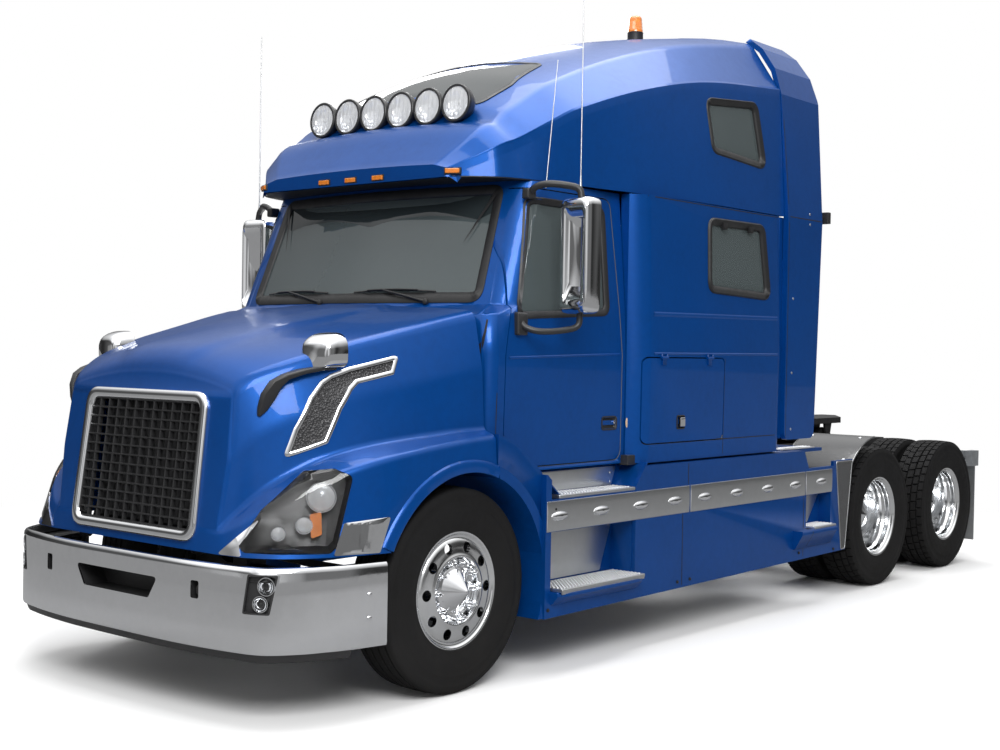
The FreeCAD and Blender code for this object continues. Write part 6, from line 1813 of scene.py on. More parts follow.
@dataclass
class Bumper:
    """Bright front bumper with its pockets and lamps."""

    body: str = "chassis"
    plan: Sequence[Pair] = ((0.0, -1.213), (0.25, -1.212), (0.5, -1.203), (0.76, -1.172), (0.965, -1.118),
                            (1.075, -0.985), (1.128, -0.86), (1.168, -0.74), (1.203, -0.556))
    low: float = 0.335
    high: float = 0.73
    opening: Sequence[Pair] = ((-0.33, 0.628), (0.33, 0.628), (0.262, 0.524), (-0.262, 0.524))
    slot_x: float = 0.59

    def build(self) -> None:
        """Build the bumper's skin, pockets, lamps, bolts and lip."""
        line = smooth_path([(x, y, 0.0) for x, y in self.plan], 6)
        full = [Vector((-p.x, p.y, 0.0)) for p in reversed(line[1:])] + line
        lines = []
        for z, back in ((self.low + 0.004, 0.03), (self.low, 0.016), (self.low + 0.004, 0.004),
                        (self.low + 0.016, 0.0), (0.45, 0.0), (0.6, 0.0), (self.high - 0.03, 0.001),
                        (self.high - 0.012, 0.005), (self.high - 0.003, 0.012), (self.high, 0.023)):
            lines.append([self.inward(full, k, back, z) for k in range(len(full))])
        skin = Form().loft(lines).tidy().facing(Vector((0.0, -1.0, 0.0)))
        tree = skin.tree()
        mouth = Form().slab([(p.x, -1.3, p.y) for p in rounded(self.opening, 0.018, 4)],
                            (0.0, 0.3, 0.0)).tidy()
        tools = [mouth]
        for x in (-self.slot_x, self.slot_x):
            edge = self.slot_outline(x, 0.0)
            tools.append(Form().slab([(p.x, -1.3, p.y) for p in edge], (0.0, 0.3, 0.0)).tidy())
        drape = self.corner_drape(tree)
        pocket = rounded(self.pocket_outline(), 0.01, 3)
        prism = Form().slab([Vector(drape.origin) + Vector(drape.u) * p.x + Vector(drape.v) * p.y
                             for p in pocket], drape.aim * 0.5).tidy()
        tools += [prism, prism.on(Side.RIGHT)]
        place(cut(walled(skin, 0.005), *tools), "bumper_skin", CHROME, self.body, ["bumper"], angle=35.0)
        self.fog_lamps(drape)
        self.pockets()
        bolt = Form().turned([(-0.004, 0.0), (-0.004, 0.012), (0.003, 0.0115), (0.0065, 0.007),
                              (0.0075, 0.0)], ORIGIN, ALONG_Z, 16).tidy()
        side = Drape(tree, (SIDE_EYE, 0.0, 0.0), ALONG_Y, DOWN)
        places = [(side.spot((-0.655, -z)), (0.975, -0.22, 0.0)) for z in (0.475, 0.585)]
        place(spots(bolt, CHROME, places).both(), "bumper_bolts", CHROME, self.body)
        lip = Form().loft([[self.inward(full, k, back, z) for k in range(6, len(full) - 6)] for z, back in
                           ((0.345, 0.012), (0.3, 0.03), (0.296, 0.04), (0.345, 0.06))]).tidy()
        place(walled(lip, 0.004), "bumper_lip", BLACK_PLASTIC, self.body)
        shelf = Form().loft([[self.inward(full, k, back, z) for k in range(4, len(full) - 4)] for z, back in
                             ((0.668, 0.012), (0.668, 0.15), (0.65, 0.155))]).tidy()
        place(walled(shelf, 0.004), "bumper_top_filler", BLACK_PLASTIC, self.body)

    @staticmethod
    def slot_outline(x: float, grow: float) -> list[Vector]:
        """Return the rounded outline of a tow slot, made larger by an amount."""
        half, low, high = 0.026 + grow, 0.56 - grow, 0.642 + grow
        return rounded([(x - half, low), (x + half, low), (x + half, high), (x - half, high)], 0.012, 4)

    @staticmethod
    def inward(line: Sequence[Vector], k: int, back: float, z: float) -> Vector:
        """Return a plan point moved inwards and set at a height."""
        along = (line[min(k + 1, len(line) - 1)] - line[max(k - 1, 0)]).normalized()
        return line[k] + Vector((-along.y, along.x, 0.0)) * back + Vector((0.0, 0.0, z))

    @staticmethod
    def corner_drape(tree: BVHTree) -> Drape:
        """Return the cast onto the corner that holds the fog lamps."""
        aim = Vector((0.42, -0.907, 0.0)).normalized()
        origin = Vector((0.955, -1.12, 0.0)) + aim * 0.3
        return Drape(tree, tuple(origin), (aim.y, -aim.x, 0.0), ALONG_Z)

    @staticmethod
    def pocket_outline() -> list[Pair]:
        """Return the fog lamp pocket on the corner's face."""
        return [(-0.082, 0.7), (0.058, 0.7), (0.085, 0.52), (-0.048, 0.52)]

    def fog_lamps(self, drape: Drape) -> None:
        """Build the dark bezels with two lamps on each corner.

        Args:
            drape: The cast onto the bumper's corner.
        """
        bowls, lens = Form(), Form()
        aim = drape.aim * -1.0
        outer = rounded(self.pocket_outline(), 0.01, 4)
        inner = rounded(grown(self.pocket_outline(), -0.008), 0.008, 4)
        lines = [[drape.spot(p, 0.0015) for p in outer], [drape.spot(p, 0.0025) for p in inner],
                 [drape.spot(p, 0.0) - aim * 0.016 for p in inner]]
        bezel = Form().loft(lines, closed=True).face(lines[-1])
        for s, z, r in ((-0.03, 0.648, 0.038), (-0.004, 0.568, 0.034)):
            spot = drape.spot((s, z)) - aim * 0.012
            bowls.turned([(-0.012, 0.0), (-0.01, r * 0.5), (-0.002, r * 0.85), (0.006, r), (0.009, r * 1.02),
                          (0.009, r * 1.12), (-0.01, r * 1.14)], spot, aim, 28)
            lens.turned([(0.0085, r * 1.0), (0.011, r * 0.6), (0.012, 0.0)], spot, aim, 28)
        place(bezel.both(), "fog_lamp_bezels", BLACK_PLASTIC, self.body, ["fog_lamps"], angle=40.0)
        place(bowls.both(), "fog_lamp_bowls", CHROME, self.body, angle=50.0)
        place(lens.both(), "fog_lamp_lenses", LENS, self.body)

    def pockets(self) -> None:
        """Build the dark linings of the mouth and the tow slots."""
        lining = Form()
        edge = rounded(grown(self.opening, 0.004), 0.018, 4)
        lining.loft([[Vector((p.x, y, p.y)) for p in edge] for y in (-1.2, -1.07)], closed=True)
        lining.slab([(p.x, -1.072, p.y) for p in edge], (0.0, 0.004, 0.0))
        for x in (-self.slot_x, self.slot_x):
            edge = self.slot_outline(x, 0.003)
            lining.loft([[Vector((p.x, y, p.y)) for p in edge] for y in (-1.19, -1.12)], closed=True)
            lining.slab([(p.x, -1.122, p.y) for p in edge], (0.0, 0.003, 0.0))
        place(lining, "bumper_linings", BLACK_PLASTIC, self.body)
        hooks = Form()
        for x in (-self.slot_x, self.slot_x):
            hooks.tube(smooth_path([(x, -1.125, 0.625), (x, -1.165, 0.615), (x, -1.172, 0.592),
                                    (x, -1.16, 0.572), (x, -1.125, 0.566)], 5), 0.01, 10)
        place(hooks, "tow_eyes", FRAME_BLACK, self.body)


# Roof


@dataclass
class Roof:
    """Raised roof cap with its brow, lamps, skylight, markers and beacon."""

    body: str = "chassis"
    base_z: float = 2.648
    wall: float = 0.012
    stations: Sequence[tuple[float, ...]] = (
        (0.338, 0.74, 0.738, 2.69, 0.64, 2.722, 2.736), (0.42, 0.85, 0.838, 2.748, 0.73, 2.815, 2.842),
        (0.5, 0.935, 0.92, 2.802, 0.8, 2.905, 2.944), (0.56, 0.965, 0.943, 2.832, 0.815, 2.95, 2.988),
        (0.615, 0.985, 0.955, 2.852, 0.815, 2.968, 3.002), (0.665, 1.0, 0.966, 2.875, 0.815, 3.002, 3.064),
        (0.73, 1.015, 0.982, 2.91, 0.818, 3.05, 3.15), (0.88, 1.034, 1.008, 2.99, 0.824, 3.138, 3.258),
        (1.06, 1.052, 1.032, 3.08, 0.834, 3.24, 3.368), (1.64, 1.13, 1.074, 3.27, 0.85, 3.47, 3.586),
        (2.3, 1.168, 1.094, 3.415, 0.872, 3.668, 3.778), (3.202, 1.176, 1.11, 3.505, 0.9, 3.83, 3.96))
    window: Sequence[Pair] = ((2.35, 2.99), (2.968, 2.95), (2.89, 3.352), (2.3, 3.3))
    lamp_count: int = 6
    lamp_step: float = 0.216
    lamp_place: Pair = (0.632, 3.092)

    def section(self, at: float) -> list[Vector]:
        """Return one full section over the roof.

        Args:
            at: Y of the section.

        Returns:
            The section's points from side to side.
        """
        base, cx, cz, sx, sz, crown = (curve([(s[0], s[k]) for s in self.stations], at) for k in range(1, 7))
        ledge = 0.014 * min(max((at - 0.78) / 0.35, 0.0), 1.0)

        def top(t: float) -> tuple[float, float]:
            """Return a point of the crown."""
            return sx * (1.0 - t), sz + (crown - sz) * (1.0 - (1.0 - t) ** 2)

        line = rounded([(base, self.base_z), (cx + ledge + 0.004, cz - 0.055), (cx + ledge, cz - 0.006),
                        (cx, cz + 0.006), (sx, sz), top(0.25)], (0.05, 0.2, 0.006, 0.008, 0.13, 0.1), 5,
                       closed=False)
        half = [Vector((p.x, at, p.y)) for p in line] + [Vector((top(t)[0], at, top(t)[1]))
                                                         for t in (0.42, 0.62, 0.82, 1.0)]
        return half + [Vector((-p.x, p.y, p.z)) for p in reversed(half[:-1])]

    def skin(self) -> Form:
        """Return the roof's outer skin."""
        stops = spread(0.338, 0.76, 22)[:-1] + spread(0.76, 3.202, 40)
        lines = [self.section(y) for y in stops]
        first = lines[0]
        nose = [Vector((p.x * 0.985, p.y - 0.01, self.base_z + (p.z - self.base_z) * 0.9)) for p in first]
        form = Form().loft([nose] + lines)
        left = [p for p in nose if p.x >= -1e-6]
        right = list(reversed([p for p in nose if p.x <= 1e-6]))
        form.loft([right, left])
        bmesh.ops.holes_fill(form.mesh, edges=[], sides=0)
        return form.tidy().facing(Vector(ALONG_Z))

    def build(self) -> None:
        """Build the roof and everything on it."""
        skin = self.skin()
        tree = skin.tree()
        prism = Form().slab([(0.96, p.x, p.y) for p in rounded(self.window, 0.06, 5)],
                            (0.35, 0.0, 0.0)).tidy()
        shell = cut(walled(skin, self.wall), prism, prism.on(Side.RIGHT))
        place(shell, "roof_skin", BLUE, self.body, ["roof_cap"], angle=30.0)
        self.underside()
        self.lamps()
        self.markers()
        self.skylight(tree)
        self.beacon()

    def underside(self) -> None:
        """Close the brow from below and the roof at the back."""
        stops = spread(0.33, 0.8, 14)
        lines = []
        for y in stops:
            half = curve([(s[0], s[1]) for s in self.stations], max(y, 0.338)) - 0.004
            lines.append([Vector((x, y, self.base_z + 0.001)) for x in spread(-half, half, 9)])
        place(walled(Form().loft(lines), 0.006), "brow_underside", BLACK_PLASTIC, self.body)
        back = self.section(3.202)
        panel = Form().face([p + Vector((0.0, -0.004, 0.0)) for p in back])
        bmesh.ops.triangulate(panel.mesh, faces=panel.mesh.faces[:])
        place(walled(panel, 0.006), "roof_back", BLUE, self.body)

    def lamps(self) -> None:
        """Build the six round lamps on the brow."""
        y, z = self.lamp_place
        aim = (0.0, -1.0, 0.06)
        case = Form().turned([(-0.07, 0.0), (-0.07, 0.03), (-0.062, 0.058), (-0.04, 0.086), (-0.015, 0.099),
                              (0.01, 0.104), (0.018, 0.1075), (0.03, 0.1075), (0.034, 0.104), (0.034, 0.094),
                              (0.026, 0.091)], ORIGIN, aim, 40).tidy(outward=False)
        bowl = Form().turned([(0.027, 0.0925), (0.012, 0.08), (0.0, 0.058), (-0.008, 0.032), (-0.01, 0.014),
                              (-0.004, 0.012), (0.0, 0.008), (0.001, 0.0)], ORIGIN, aim, 40)
        lens = Form().turned([(0.029, 0.0935), (0.033, 0.07), (0.0355, 0.035), (0.036, 0.0)], ORIGIN, aim, 40)
        stand = Form().block((-0.03, -0.02, -0.135), (0.03, 0.024, -0.122)).bevel(0.002)
        for x in (-0.02, 0.02):
            stand.tube(smooth_path([(x, 0.0, -0.125), (x, 0.0, -0.098)], 2), 0.007, 8)
        for form, name, finish, nodes in ((case.join(stand), "roof_lamp_cases", BLACK_PLASTIC,
                                           ["roof_lamps"]), (bowl, "roof_lamp_bowls", CHROME, []),
                                          (lens, "roof_lamp_lenses", RIBBED_LENS, [])):
            row = rows(form, finish, self.lamp_count, (self.lamp_step, 0.0, 0.0))
            start = -(self.lamp_count - 1) / 2.0 * self.lamp_step
            place(row.moved(shift(start, y, z)), name, finish, self.body, nodes, angle=40.0)

    def markers(self) -> None:
        """Build the five amber markers along the brow and the rear work lamps."""
        lens, base = Form(), Form()
        for x in (-0.76, -0.216, 0.0, 0.216, 0.76):
            outer = abs(x) > 0.5
            y, z = (0.342, 2.672) if outer else (0.327, 2.668)
            turn = shift(x, y, z) @ Matrix.Rotation(math.radians(math.copysign(24.0, x) if outer else 0.0),
                                                    4, "Z")
            lens.join(Form().block((-0.04, -0.012, -0.012), (0.04, 0.01, 0.013)).bevel(0.005, 3).moved(turn))
            base.join(Form().block((-0.047, -0.004, -0.018), (0.047, 0.012, 0.019)).bevel(0.003).moved(turn))
        place(lens, "marker_lenses", AMBER, self.body, ["marker_lamps"])
        place(base, "marker_bases", BLACK_PLASTIC, self.body)
        case = Form().pad((1.146, 3.742, 2.64), (1.224, 3.788, 2.72), 0.008, 3)
        case.pad((1.168, 3.64, 2.662), (1.192, 3.746, 2.698), 0.003)
        glass = Form().pad((1.152, 3.786, 2.646), (1.218, 3.792, 2.714), 0.002)
        place(case.both(), "work_lamp_cases", BLACK_PLASTIC, self.body)
        place(glass.both(), "work_lamp_lenses", RIBBED_LENS, self.body)

    def skylight(self, tree: BVHTree) -> None:
        """Build the dark roof window with its seal."""
        drape = Drape(tree, (0.0, 0.0, 4.4), ALONG_Y, ALONG_X)
        outline = [(0.745, -0.6), (0.96, -0.635), (1.33, -0.56), (1.33, 0.56), (0.96, 0.635), (0.745, 0.6)]
        glass = drape.patch(rounded(outline, 0.05, 5), 0.004, 0.06)
        seal = drape.rings(outline, [(0.02, -0.004), (0.018, 0.005), (0.004, 0.008), (-0.006, 0.005),
                                     (-0.008, 0.001)], 0.05)
        place(glass, "skylight_glass", VISOR, self.body, tidy=False)
        place(seal, "skylight_seal", SEAL, self.body, angle=50.0)

    def beacon(self) -> None:
        """Build the amber beacon on its black base."""
        base = Form().turned([(3.905, 0.0), (3.905, 0.062), (3.94, 0.062), (3.944, 0.058), (4.0, 0.056),
                              (4.008, 0.058), (4.012, 0.052), (4.012, 0.0)], (0.0, 3.12, 0.0), ALONG_Z, 40)
        dome = Form().turned([(4.012, 0.0), (4.012, 0.053), (4.03, 0.0535), (4.033, 0.051), (4.052, 0.051),
                              (4.055, 0.049), (4.078, 0.049), (4.081, 0.047), (4.1, 0.0465), (4.116, 0.043),
                              (4.126, 0.032), (4.1295, 0.0)], (0.0, 3.12, 0.0), ALONG_Z, 48)
        place(base, "beacon_base", BLACK_PLASTIC, self.body, ["beacon"], angle=40.0)
        place(dome, "beacon_lens", AMBER, self.body, angle=50.0)


# Cab


def strip(drape: Drape, points: Sequence[Sequence[float]], width: float, lift: float = 0.0006,
          steps: int = 6) -> Form:
    """Return a thin band laid along a line on a surface.

    Args:
        drape: The cast onto the surface.
        points: Flat points of the line.
        width: Width of the band.
        lift: How far it stands off the surface.
        steps: Pieces between each two points.

    Returns:
        The band.
    """
    line = smooth_path([(p[0], p[1], 0.0) for p in points], steps) if len(points) > 2 else [
        Vector((*points[0], 0.0)).lerp(Vector((*points[1], 0.0)), t) for t in spread(0.0, 1.0, 24)]
    lines: list[list[Vector]] = [[], []]
    for k, point in enumerate(line):
        along = (line[min(k + 1, len(line) - 1)] - line[max(k - 1, 0)]).normalized()
        side = Vector((-along.y, along.x, 0.0)) * width / 2.0
        for row, offset in ((lines[0], side), (lines[1], -side)):
            row.append(drape.spot(point + offset, lift))
    form = Form().loft(lines)
    drape.turn(form)
    return form


def bead(drape: Drape, points: Sequence[Sequence[float]], width: float, height: float) -> Form:
    """Return a low raised line along flat points on a surface.

    Args:
        drape: The cast onto the surface.
        points: Flat points of the line.
        width: Width of the line.
        height: Its height over the surface.

    Returns:
        The line as a form.
    """
    a, b = Vector(points[0]).to_2d(), Vector(points[-1]).to_2d()
    side = Vector((-(b - a).y, (b - a).x)).normalized() * width / 2.0
    lines = []
    for offset, lift in ((-1.0, -0.0008), (-0.5, height * 0.75), (0.0, height), (0.5, height * 0.75),
                         (1.0, -0.0008)):
        lines.append([drape.spot(a.lerp(b, t) + side * offset, lift) for t in spread(0.0, 1.0, 26)])
    form = Form().loft(lines)
    drape.turn(form)
    return form


def side_drape(*forms: Form) -> Drape:
    """Return the cast from the truck's left onto forms, with flat points (y, -z)."""
    joined = Form()
    for form in forms:
        joined.join(form)
    return Drape(joined.tree(), (1.7, 0.0, 0.0), ALONG_Y, DOWN)


def under(points: Sequence[Pair]) -> list[Pair]:
    """Return (y, z) points as the side cast takes them."""
    return [(y, -z) for y, z in points]


@dataclass
class Cab:
    """Cab shell with its windshield, doors, door mirrors and wipers."""

    windshield: Sequence[Pair] = ((-0.902, 1.988), (0.902, 1.988), (0.858, 2.606), (-0.858, 2.606))
    door_window: Sequence[Pair] = ((0.668, 2.54), (0.5, 1.9), (1.322, 1.94), (1.318, 2.54))
    handle: Sequence[Pair] = ((1.272, 1.283), (1.404, 1.283), (1.404, 1.345), (1.272, 1.345))
    mirror_half: Pair = (0.107, 0.31)
    mirror_place: Triple = (1.298, 0.762, 2.231)

    def build(self) -> None:
        """Build the cab's pieces."""
        self.shell()
        for side in Side:
            self.door(side)
            self.mirror(side)
        self.wipers()

    @staticmethod
    def front_drape() -> Drape:
        """Return the cast from ahead onto the windshield and the cab round it."""
        return Drape(node_form("cab_body").join(node_form("fixed_glass")).tree(), (0.0, -0.6, 0.0),
                     (-1.0, 0.0, 0.0), ALONG_Z)

    def shell(self) -> None:
        """Carry the cab body and dress the windshield."""
        carry("cab_body", "cab_shell", BLUE, angle=28.0, inside=INTERIOR, heart=(0.0, 1.0, 1.9))
        carry("fixed_glass", "fixed_panes", GLASS)
        drape = self.front_drape()
        frame_band = drape.rings(self.windshield, [(0.018, -0.004), (0.017, 0.004), (0.008, 0.006),
                                                   (-0.003, 0.016), (-0.034, 0.012), (-0.04, 0.003),
                                                   (-0.04, -0.003)], 0.06)
        place(frame_band, "windshield_seal", SEAL, "chassis", angle=50.0)
        shade = [(-0.862, 2.6), (-0.846, 2.47), (-0.76, 2.432), (0.0, 2.418), (0.76, 2.432), (0.846, 2.47),
                 (0.862, 2.6)]
        place(drape.patch(rounded(shade, 0.05, 4), 0.002, 0.05), "windshield_shade", VISOR, "chassis",
              tidy=False)
        seams = strip(side_drape(node_form("cab_body")), under(((0.25, 1.075), (0.256, 1.5), (0.29, 1.88))),
                      0.006)
        place(seams.both(), "cowl_seams", SEAL, "chassis", tidy=False)

    def door(self, side: Side) -> None:
        """Build one door's skin, pane, window seal, handle, crease and lock.

        Args:
            side: The side of the truck.
        """
        word = side.word
        body = "door_" + word
        skin = node_form("door_left")
        place(skin.on(side), "door_skin_" + word, BLUE, body, ["door_" + word], angle=28.0, inside=INTERIOR,
              heart=(0.0, 1.0, 1.7), tidy=False)
        pane = node_form("door_glass_left")
        place(pane.on(side), "door_pane_" + word, GLASS, body, ["door_glass_" + word], tidy=False)
        drape = side_drape(skin, pane)
        seal = drape.rings(under(self.door_window), [(0.014, -0.004), (0.013, 0.004), (0.004, 0.007),
                                                     (-0.004, 0.017), (-0.02, 0.015), (-0.026, 0.006),
                                                     (-0.026, -0.002)], 0.058)
        place(seal.on(side), "door_window_seal_" + word, SEAL, body, angle=50.0)
        bezel = drape.rings(under(self.handle), [(0.01, -0.003), (0.009, 0.004), (0.004, 0.0055),
                                                 (-0.004, 0.0055), (-0.008, 0.002), (-0.009, -0.01)], 0.014)
        bezel.block((1.0835, 1.2745, 1.2855), (1.0865, 1.4015, 1.3425))
        bezel.pad((1.074, 1.282, 1.3), (1.092, 1.372, 1.332), 0.004, 3)
        place(bezel.on(side), "door_handle_" + word, BLACK_PLASTIC, body, angle=40.0)
        line = bead(drape, under(((0.428, 1.682), (1.428, 1.71))), 0.016, 0.005)
        place(line.on(side), "door_crease_" + word, BLUE, body, angle=50.0, tidy=False)
        lock = Form().turned([(0.0, 0.009), (0.006, 0.009), (0.007, 0.007), (0.0072, 0.0)],
                             drape.spot((1.388, -1.318), 0.001), ALONG_X, 20)
        place(lock.on(side), "door_lock_" + word, CHROME, body)

    def mirror_edge(self, share: float, aside: float, insets: Pair, radius: float) -> list[Vector]:
        """Outline of the mirror head at one depth.

        Args:
            share: Share of the full width.
            aside: How far the outline is moved sideways.
            insets: How fast the foot and the top move in as the share falls.
            radius: Corner radius.

        Returns:
            The points of the outline.
        """
        half, tall = self.mirror_half
        low, high = -tall + insets[0] * (1 - share), tall - insets[1] * (1 - share)
        left, right = -half * share + aside, half * share + aside
        return rounded([(left, low), (right, low), (right, high), (left, high)], radius, 5)

    def mirror(self, side: Side) -> None:
        """Build one door mirror: bright head with a recessed panel, dark back and arms.

        Args:
            side: The side of the truck.
        """
        word = side.word
        body = "door_" + word
        cx, cy, cz = self.mirror_place
        lines = []
        for depth, share in ((-0.054, 0.8), (-0.05, 0.88), (-0.038, 0.955), (-0.015, 0.99), (0.015, 1.0),
                             (0.04, 0.99), (0.052, 0.97)):
            edge = self.mirror_edge(share, 0.0, (0.107, 0.107), 0.045)
            lines.append([Vector((p.x, depth, p.y)) for p in edge])
        for depth, share in ((-0.0545, 0.76), (-0.048, 0.74), (-0.04, 0.6), (-0.03, 0.52)):
            edge = self.mirror_edge(share, 0.012, (0.3, 0.22), 0.03)
            lines.insert(0, [Vector((p.x, depth, p.y)) for p in edge])
        head = Form().loft(lines, closed=True).face(list(reversed(lines[0]))).tidy()
        turn = shift(cx, cy, cz) @ Matrix.Rotation(math.radians(-8.0), 4, "Z")
        place(head.moved(turn).on(side), "door_mirror_head_" + word, CHROME, body, ["door_mirror_" + word],
              angle=50.0)
        rim = rounded([(-0.104, -0.302), (0.104, -0.302), (0.104, 0.302), (-0.104, 0.302)], 0.042, 5)
        panel = Form().slab([Vector((p.x, 0.05, p.y)) for p in rim], (0.0, 0.006, 0.0)).tidy()
        place(panel.moved(turn).on(side), "door_mirror_back_" + word, BLACK_PLASTIC, body)
        glass = Form().slab([Vector((p.x * 0.92, 0.0555, p.y * 0.96)) for p in rim],
                            (0.0, 0.0015, 0.0)).tidy()
        place(glass.moved(turn).on(side), "door_mirror_glass_" + word, CHROME, body)
        arms = Form()
        arms.tube(smooth_path([(1.03, 0.655, 2.56), (1.085, 0.65, 2.598), (1.15, 0.672, 2.612),
                               (1.225, 0.725, 2.606), (1.29, 0.758, 2.585), (1.308, 0.762, 2.53)], 7), 0.019,
                  14)
        arms.tube(smooth_path([(1.1, 0.515, 1.886), (1.13, 0.52, 1.846), (1.19, 0.57, 1.824),
                               (1.26, 0.68, 1.832), (1.302, 0.752, 1.858), (1.308, 0.762, 1.93)], 7), 0.017,
                  14)
        arms.pad((1.072, 0.474, 1.802), (1.124, 0.556, 1.924), 0.012, 3)
        arms.pad((1.012, 0.618, 2.536), (1.058, 0.69, 2.592), 0.012, 3)
        place(arms.on(side), "door_mirror_arms_" + word, BLACK_PLASTIC, body, angle=50.0)
        whip = Form().turned([(2.54, 0.0), (2.54, 0.013), (2.556, 0.013), (2.56, 0.009), (2.6, 0.008),
                              (2.648, 0.0045), (2.66, 0.0036), (3.7, 0.0026), (3.722, 0.002), (3.722, 0.0)],
                             (cx, cy, 0.0), ALONG_Z, 12)
        if side is Side.LEFT:
            whip.tube([Vector((1.08, 0.741, 2.6)), Vector((1.1, 0.802, 3.297))], [0.004, 0.002], 8)
        place(whip.on(side), "whip_antenna_" + word, STAINLESS, body, angle=50.0)

    def wipers(self) -> None:
        """Build the two wipers on the windshield."""
        drape = self.front_drape()
        metal = Form()

        def along(x: float, s: float, lift: float) -> Vector:
            """Return a point of a slightly bowed blade."""
            return drape.spot((-(x + s), 2.03 + 0.01 * (1.0 - (s / 0.29) ** 2)), lift)

        for x in (-0.47, 0.33):
            pivot = drape.spot((-(x + 0.25), 1.975), 0.01)
            grip = drape.spot((-(x - 0.06), 2.035), 0.026)
            metal.tube([pivot, pivot.lerp(grip, 0.5) + Vector((0.0, -0.014, 0.004)), grip],
                       [0.01, 0.008, 0.006], 8)
            metal.turned([(-0.012, 0.0), (-0.012, 0.018), (0.008, 0.017), (0.012, 0.01), (0.0125, 0.0)],
                         pivot, (0.0, -1.0, 0.2), 16)
            metal.tube([along(x, s, 0.012) for s in spread(-0.29, 0.29, 13)], 0.0055, 6)
            metal.tube([along(x, s, 0.024) for s in spread(-0.18, 0.18, 9)], 0.005, 6)
            for s in (-0.18, 0.18):
                metal.tube([drape.spot((-(x + s), 2.032), 0.024),
                            drape.spot((-(x + s * 1.3), 2.032), 0.013)], 0.004, 6)
        place(metal, "wiper_pieces", BLACK_PLASTIC, "chassis", ["wipers"], angle=50.0)


# Sleeper


@dataclass
class Sleeper:
    """Sleeper body with its windows, seams, baggage doors and side extenders."""

    low_window: Sequence[Pair] = ((2.258, 2.118), (2.99, 2.096), (2.914, 2.55), (2.258, 2.544))
    high_window: Sequence[Pair] = ((2.35, 2.99), (2.968, 2.95), (2.89, 3.352), (2.3, 3.3))

    def build(self) -> None:
        """Build the sleeper's pieces."""
        body = node_form("sleeper_body")
        carry("sleeper_body", "sleeper_shell", BLUE, angle=24.0, inside=INTERIOR, heart=(0.0, 2.4, 2.0))
        wings = node_form("side_extenders")
        carry("side_extenders", "side_extender_skins", BLUE, angle=24.0)
        drape = side_drape(body, node_form("fixed_glass"), node_form("baggage_door_left"))
        band = [(0.022, -0.004), (0.021, 0.006), (0.012, 0.014), (-0.004, 0.024), (-0.02, 0.02),
                (-0.028, 0.008), (-0.028, -0.002)]
        seal = drape.rings(under(self.low_window), band, 0.06)
        roof = side_drape(node_form("roof_cap"), node_form("fixed_glass"))
        seal.join(roof.rings(under(self.high_window), band, 0.06))
        for y in (2.42, 2.74):
            seal.pad((1.178, y - 0.02, 2.5), (1.202, y + 0.02, 2.54), 0.005)
        place(seal.both(), "sleeper_window_seals", SEAL, "chassis", angle=50.0)
        self.seams(drape, side_drape(wings))
        self.baggage(drape)

    def seams(self, drape: Drape, wing: Drape) -> None:
        """Lay the panel seams and the fasteners.

        Args:
            drape: The cast onto the sleeper.
            wing: The cast onto the side extender.
        """
        form = Form()
        for points in (((2.438, 1.095), (2.438, 1.69)), ((1.52, 2.634), (3.19, 2.634)),
                       ((1.56, 1.188), (3.17, 1.188))):
            form.join(strip(drape, under(points), 0.0055))
        for points in (((3.23, 1.158), (3.23, 2.6), (3.225, 3.3)), ((3.24, 2.648), (3.69, 2.648))):
            form.join(strip(wing, under(points), 0.006))
        place(form.both(), "body_seams", SEAL, "chassis", tidy=False)
        lines = bead(drape, under(((1.64, 1.716), (3.11, 1.722))), 0.016, 0.005)
        lines.join(bead(drape, under(((1.64, 1.948), (3.11, 1.96))), 0.03, 0.004))
        place(lines.both(), "body_creases", BLUE, "chassis", angle=50.0, tidy=False)
        outline = ((1.15, 3.15), (1.17, 3.168), (1.17, 3.222), (1.15, 3.222))
        gap = Form().solid([[Vector((x + out, y, z)) for x, y in outline]
                            for z, out in ((1.16, 0.0), (1.702, 0.004), (2.64, -0.008))])
        # Painted shade: the gap fillers take the darkened copy of the body blue.
        place(gap.tidy().both(), "extender_seals", BLUE_PAINTED_SHADE, "chassis")
        rivet = Form().turned([(0.0, 0.009), (0.002, 0.0085), (0.0035, 0.005), (0.004, 0.0)], ORIGIN,
                              ALONG_Z, 12)
        places = [(wing.spot((y, -z)), ALONG_X)
                  for y, z in ((3.52, 2.615), (3.52, 2.685), (3.3, 2.1), (3.3, 1.6), (3.3, 1.22))]
        place(spots(rivet, STAINLESS, places).both(), "body_rivets", STAINLESS, "chassis", tidy=False)

    def baggage(self, drape: Drape) -> None:
        """Build the baggage doors with their latches, and the side reflectors."""
        for side in Side:
            word = side.word
            skin = node_form("baggage_door_left")
            place(skin.on(side), "baggage_skin_" + word, BLUE, "baggage_" + word, ["baggage_door_" + word],
                  angle=28.0, tidy=False)
            pocket = [(1.905, 1.342), (1.979, 1.342), (1.979, 1.272), (1.905, 1.272)]
            bezel = drape.rings(under(pocket), [(0.008, -0.003), (0.007, 0.004), (0.002, 0.006),
                                                (-0.004, 0.005), (-0.007, -0.008)], 0.008)
            place(bezel.on(side), "baggage_bezel_" + word, BLACK_PLASTIC, "baggage_" + word, angle=40.0)
            paddle = Form().pad((1.192, 1.922, 1.28), (1.212, 1.974, 1.334), 0.006, 3)
            place(paddle.on(side), "baggage_paddle_" + word, CHROME, "baggage_" + word)
        dot = Form().turned([(0.0, 0.0), (0.0, 0.5), (0.002, 0.5), (0.0035, 0.44), (0.004, 0.0)], ORIGIN,
                            ALONG_X, 28)
        spot = drape.spot((1.5, -1.312), 0.0)
        scale = shift(*spot) @ Matrix.Diagonal((1.0, 0.024, 0.056, 1.0))
        place(dot.moved(scale).both(), "side_reflectors", AMBER_PALE, "chassis")


# Side fairings and steps


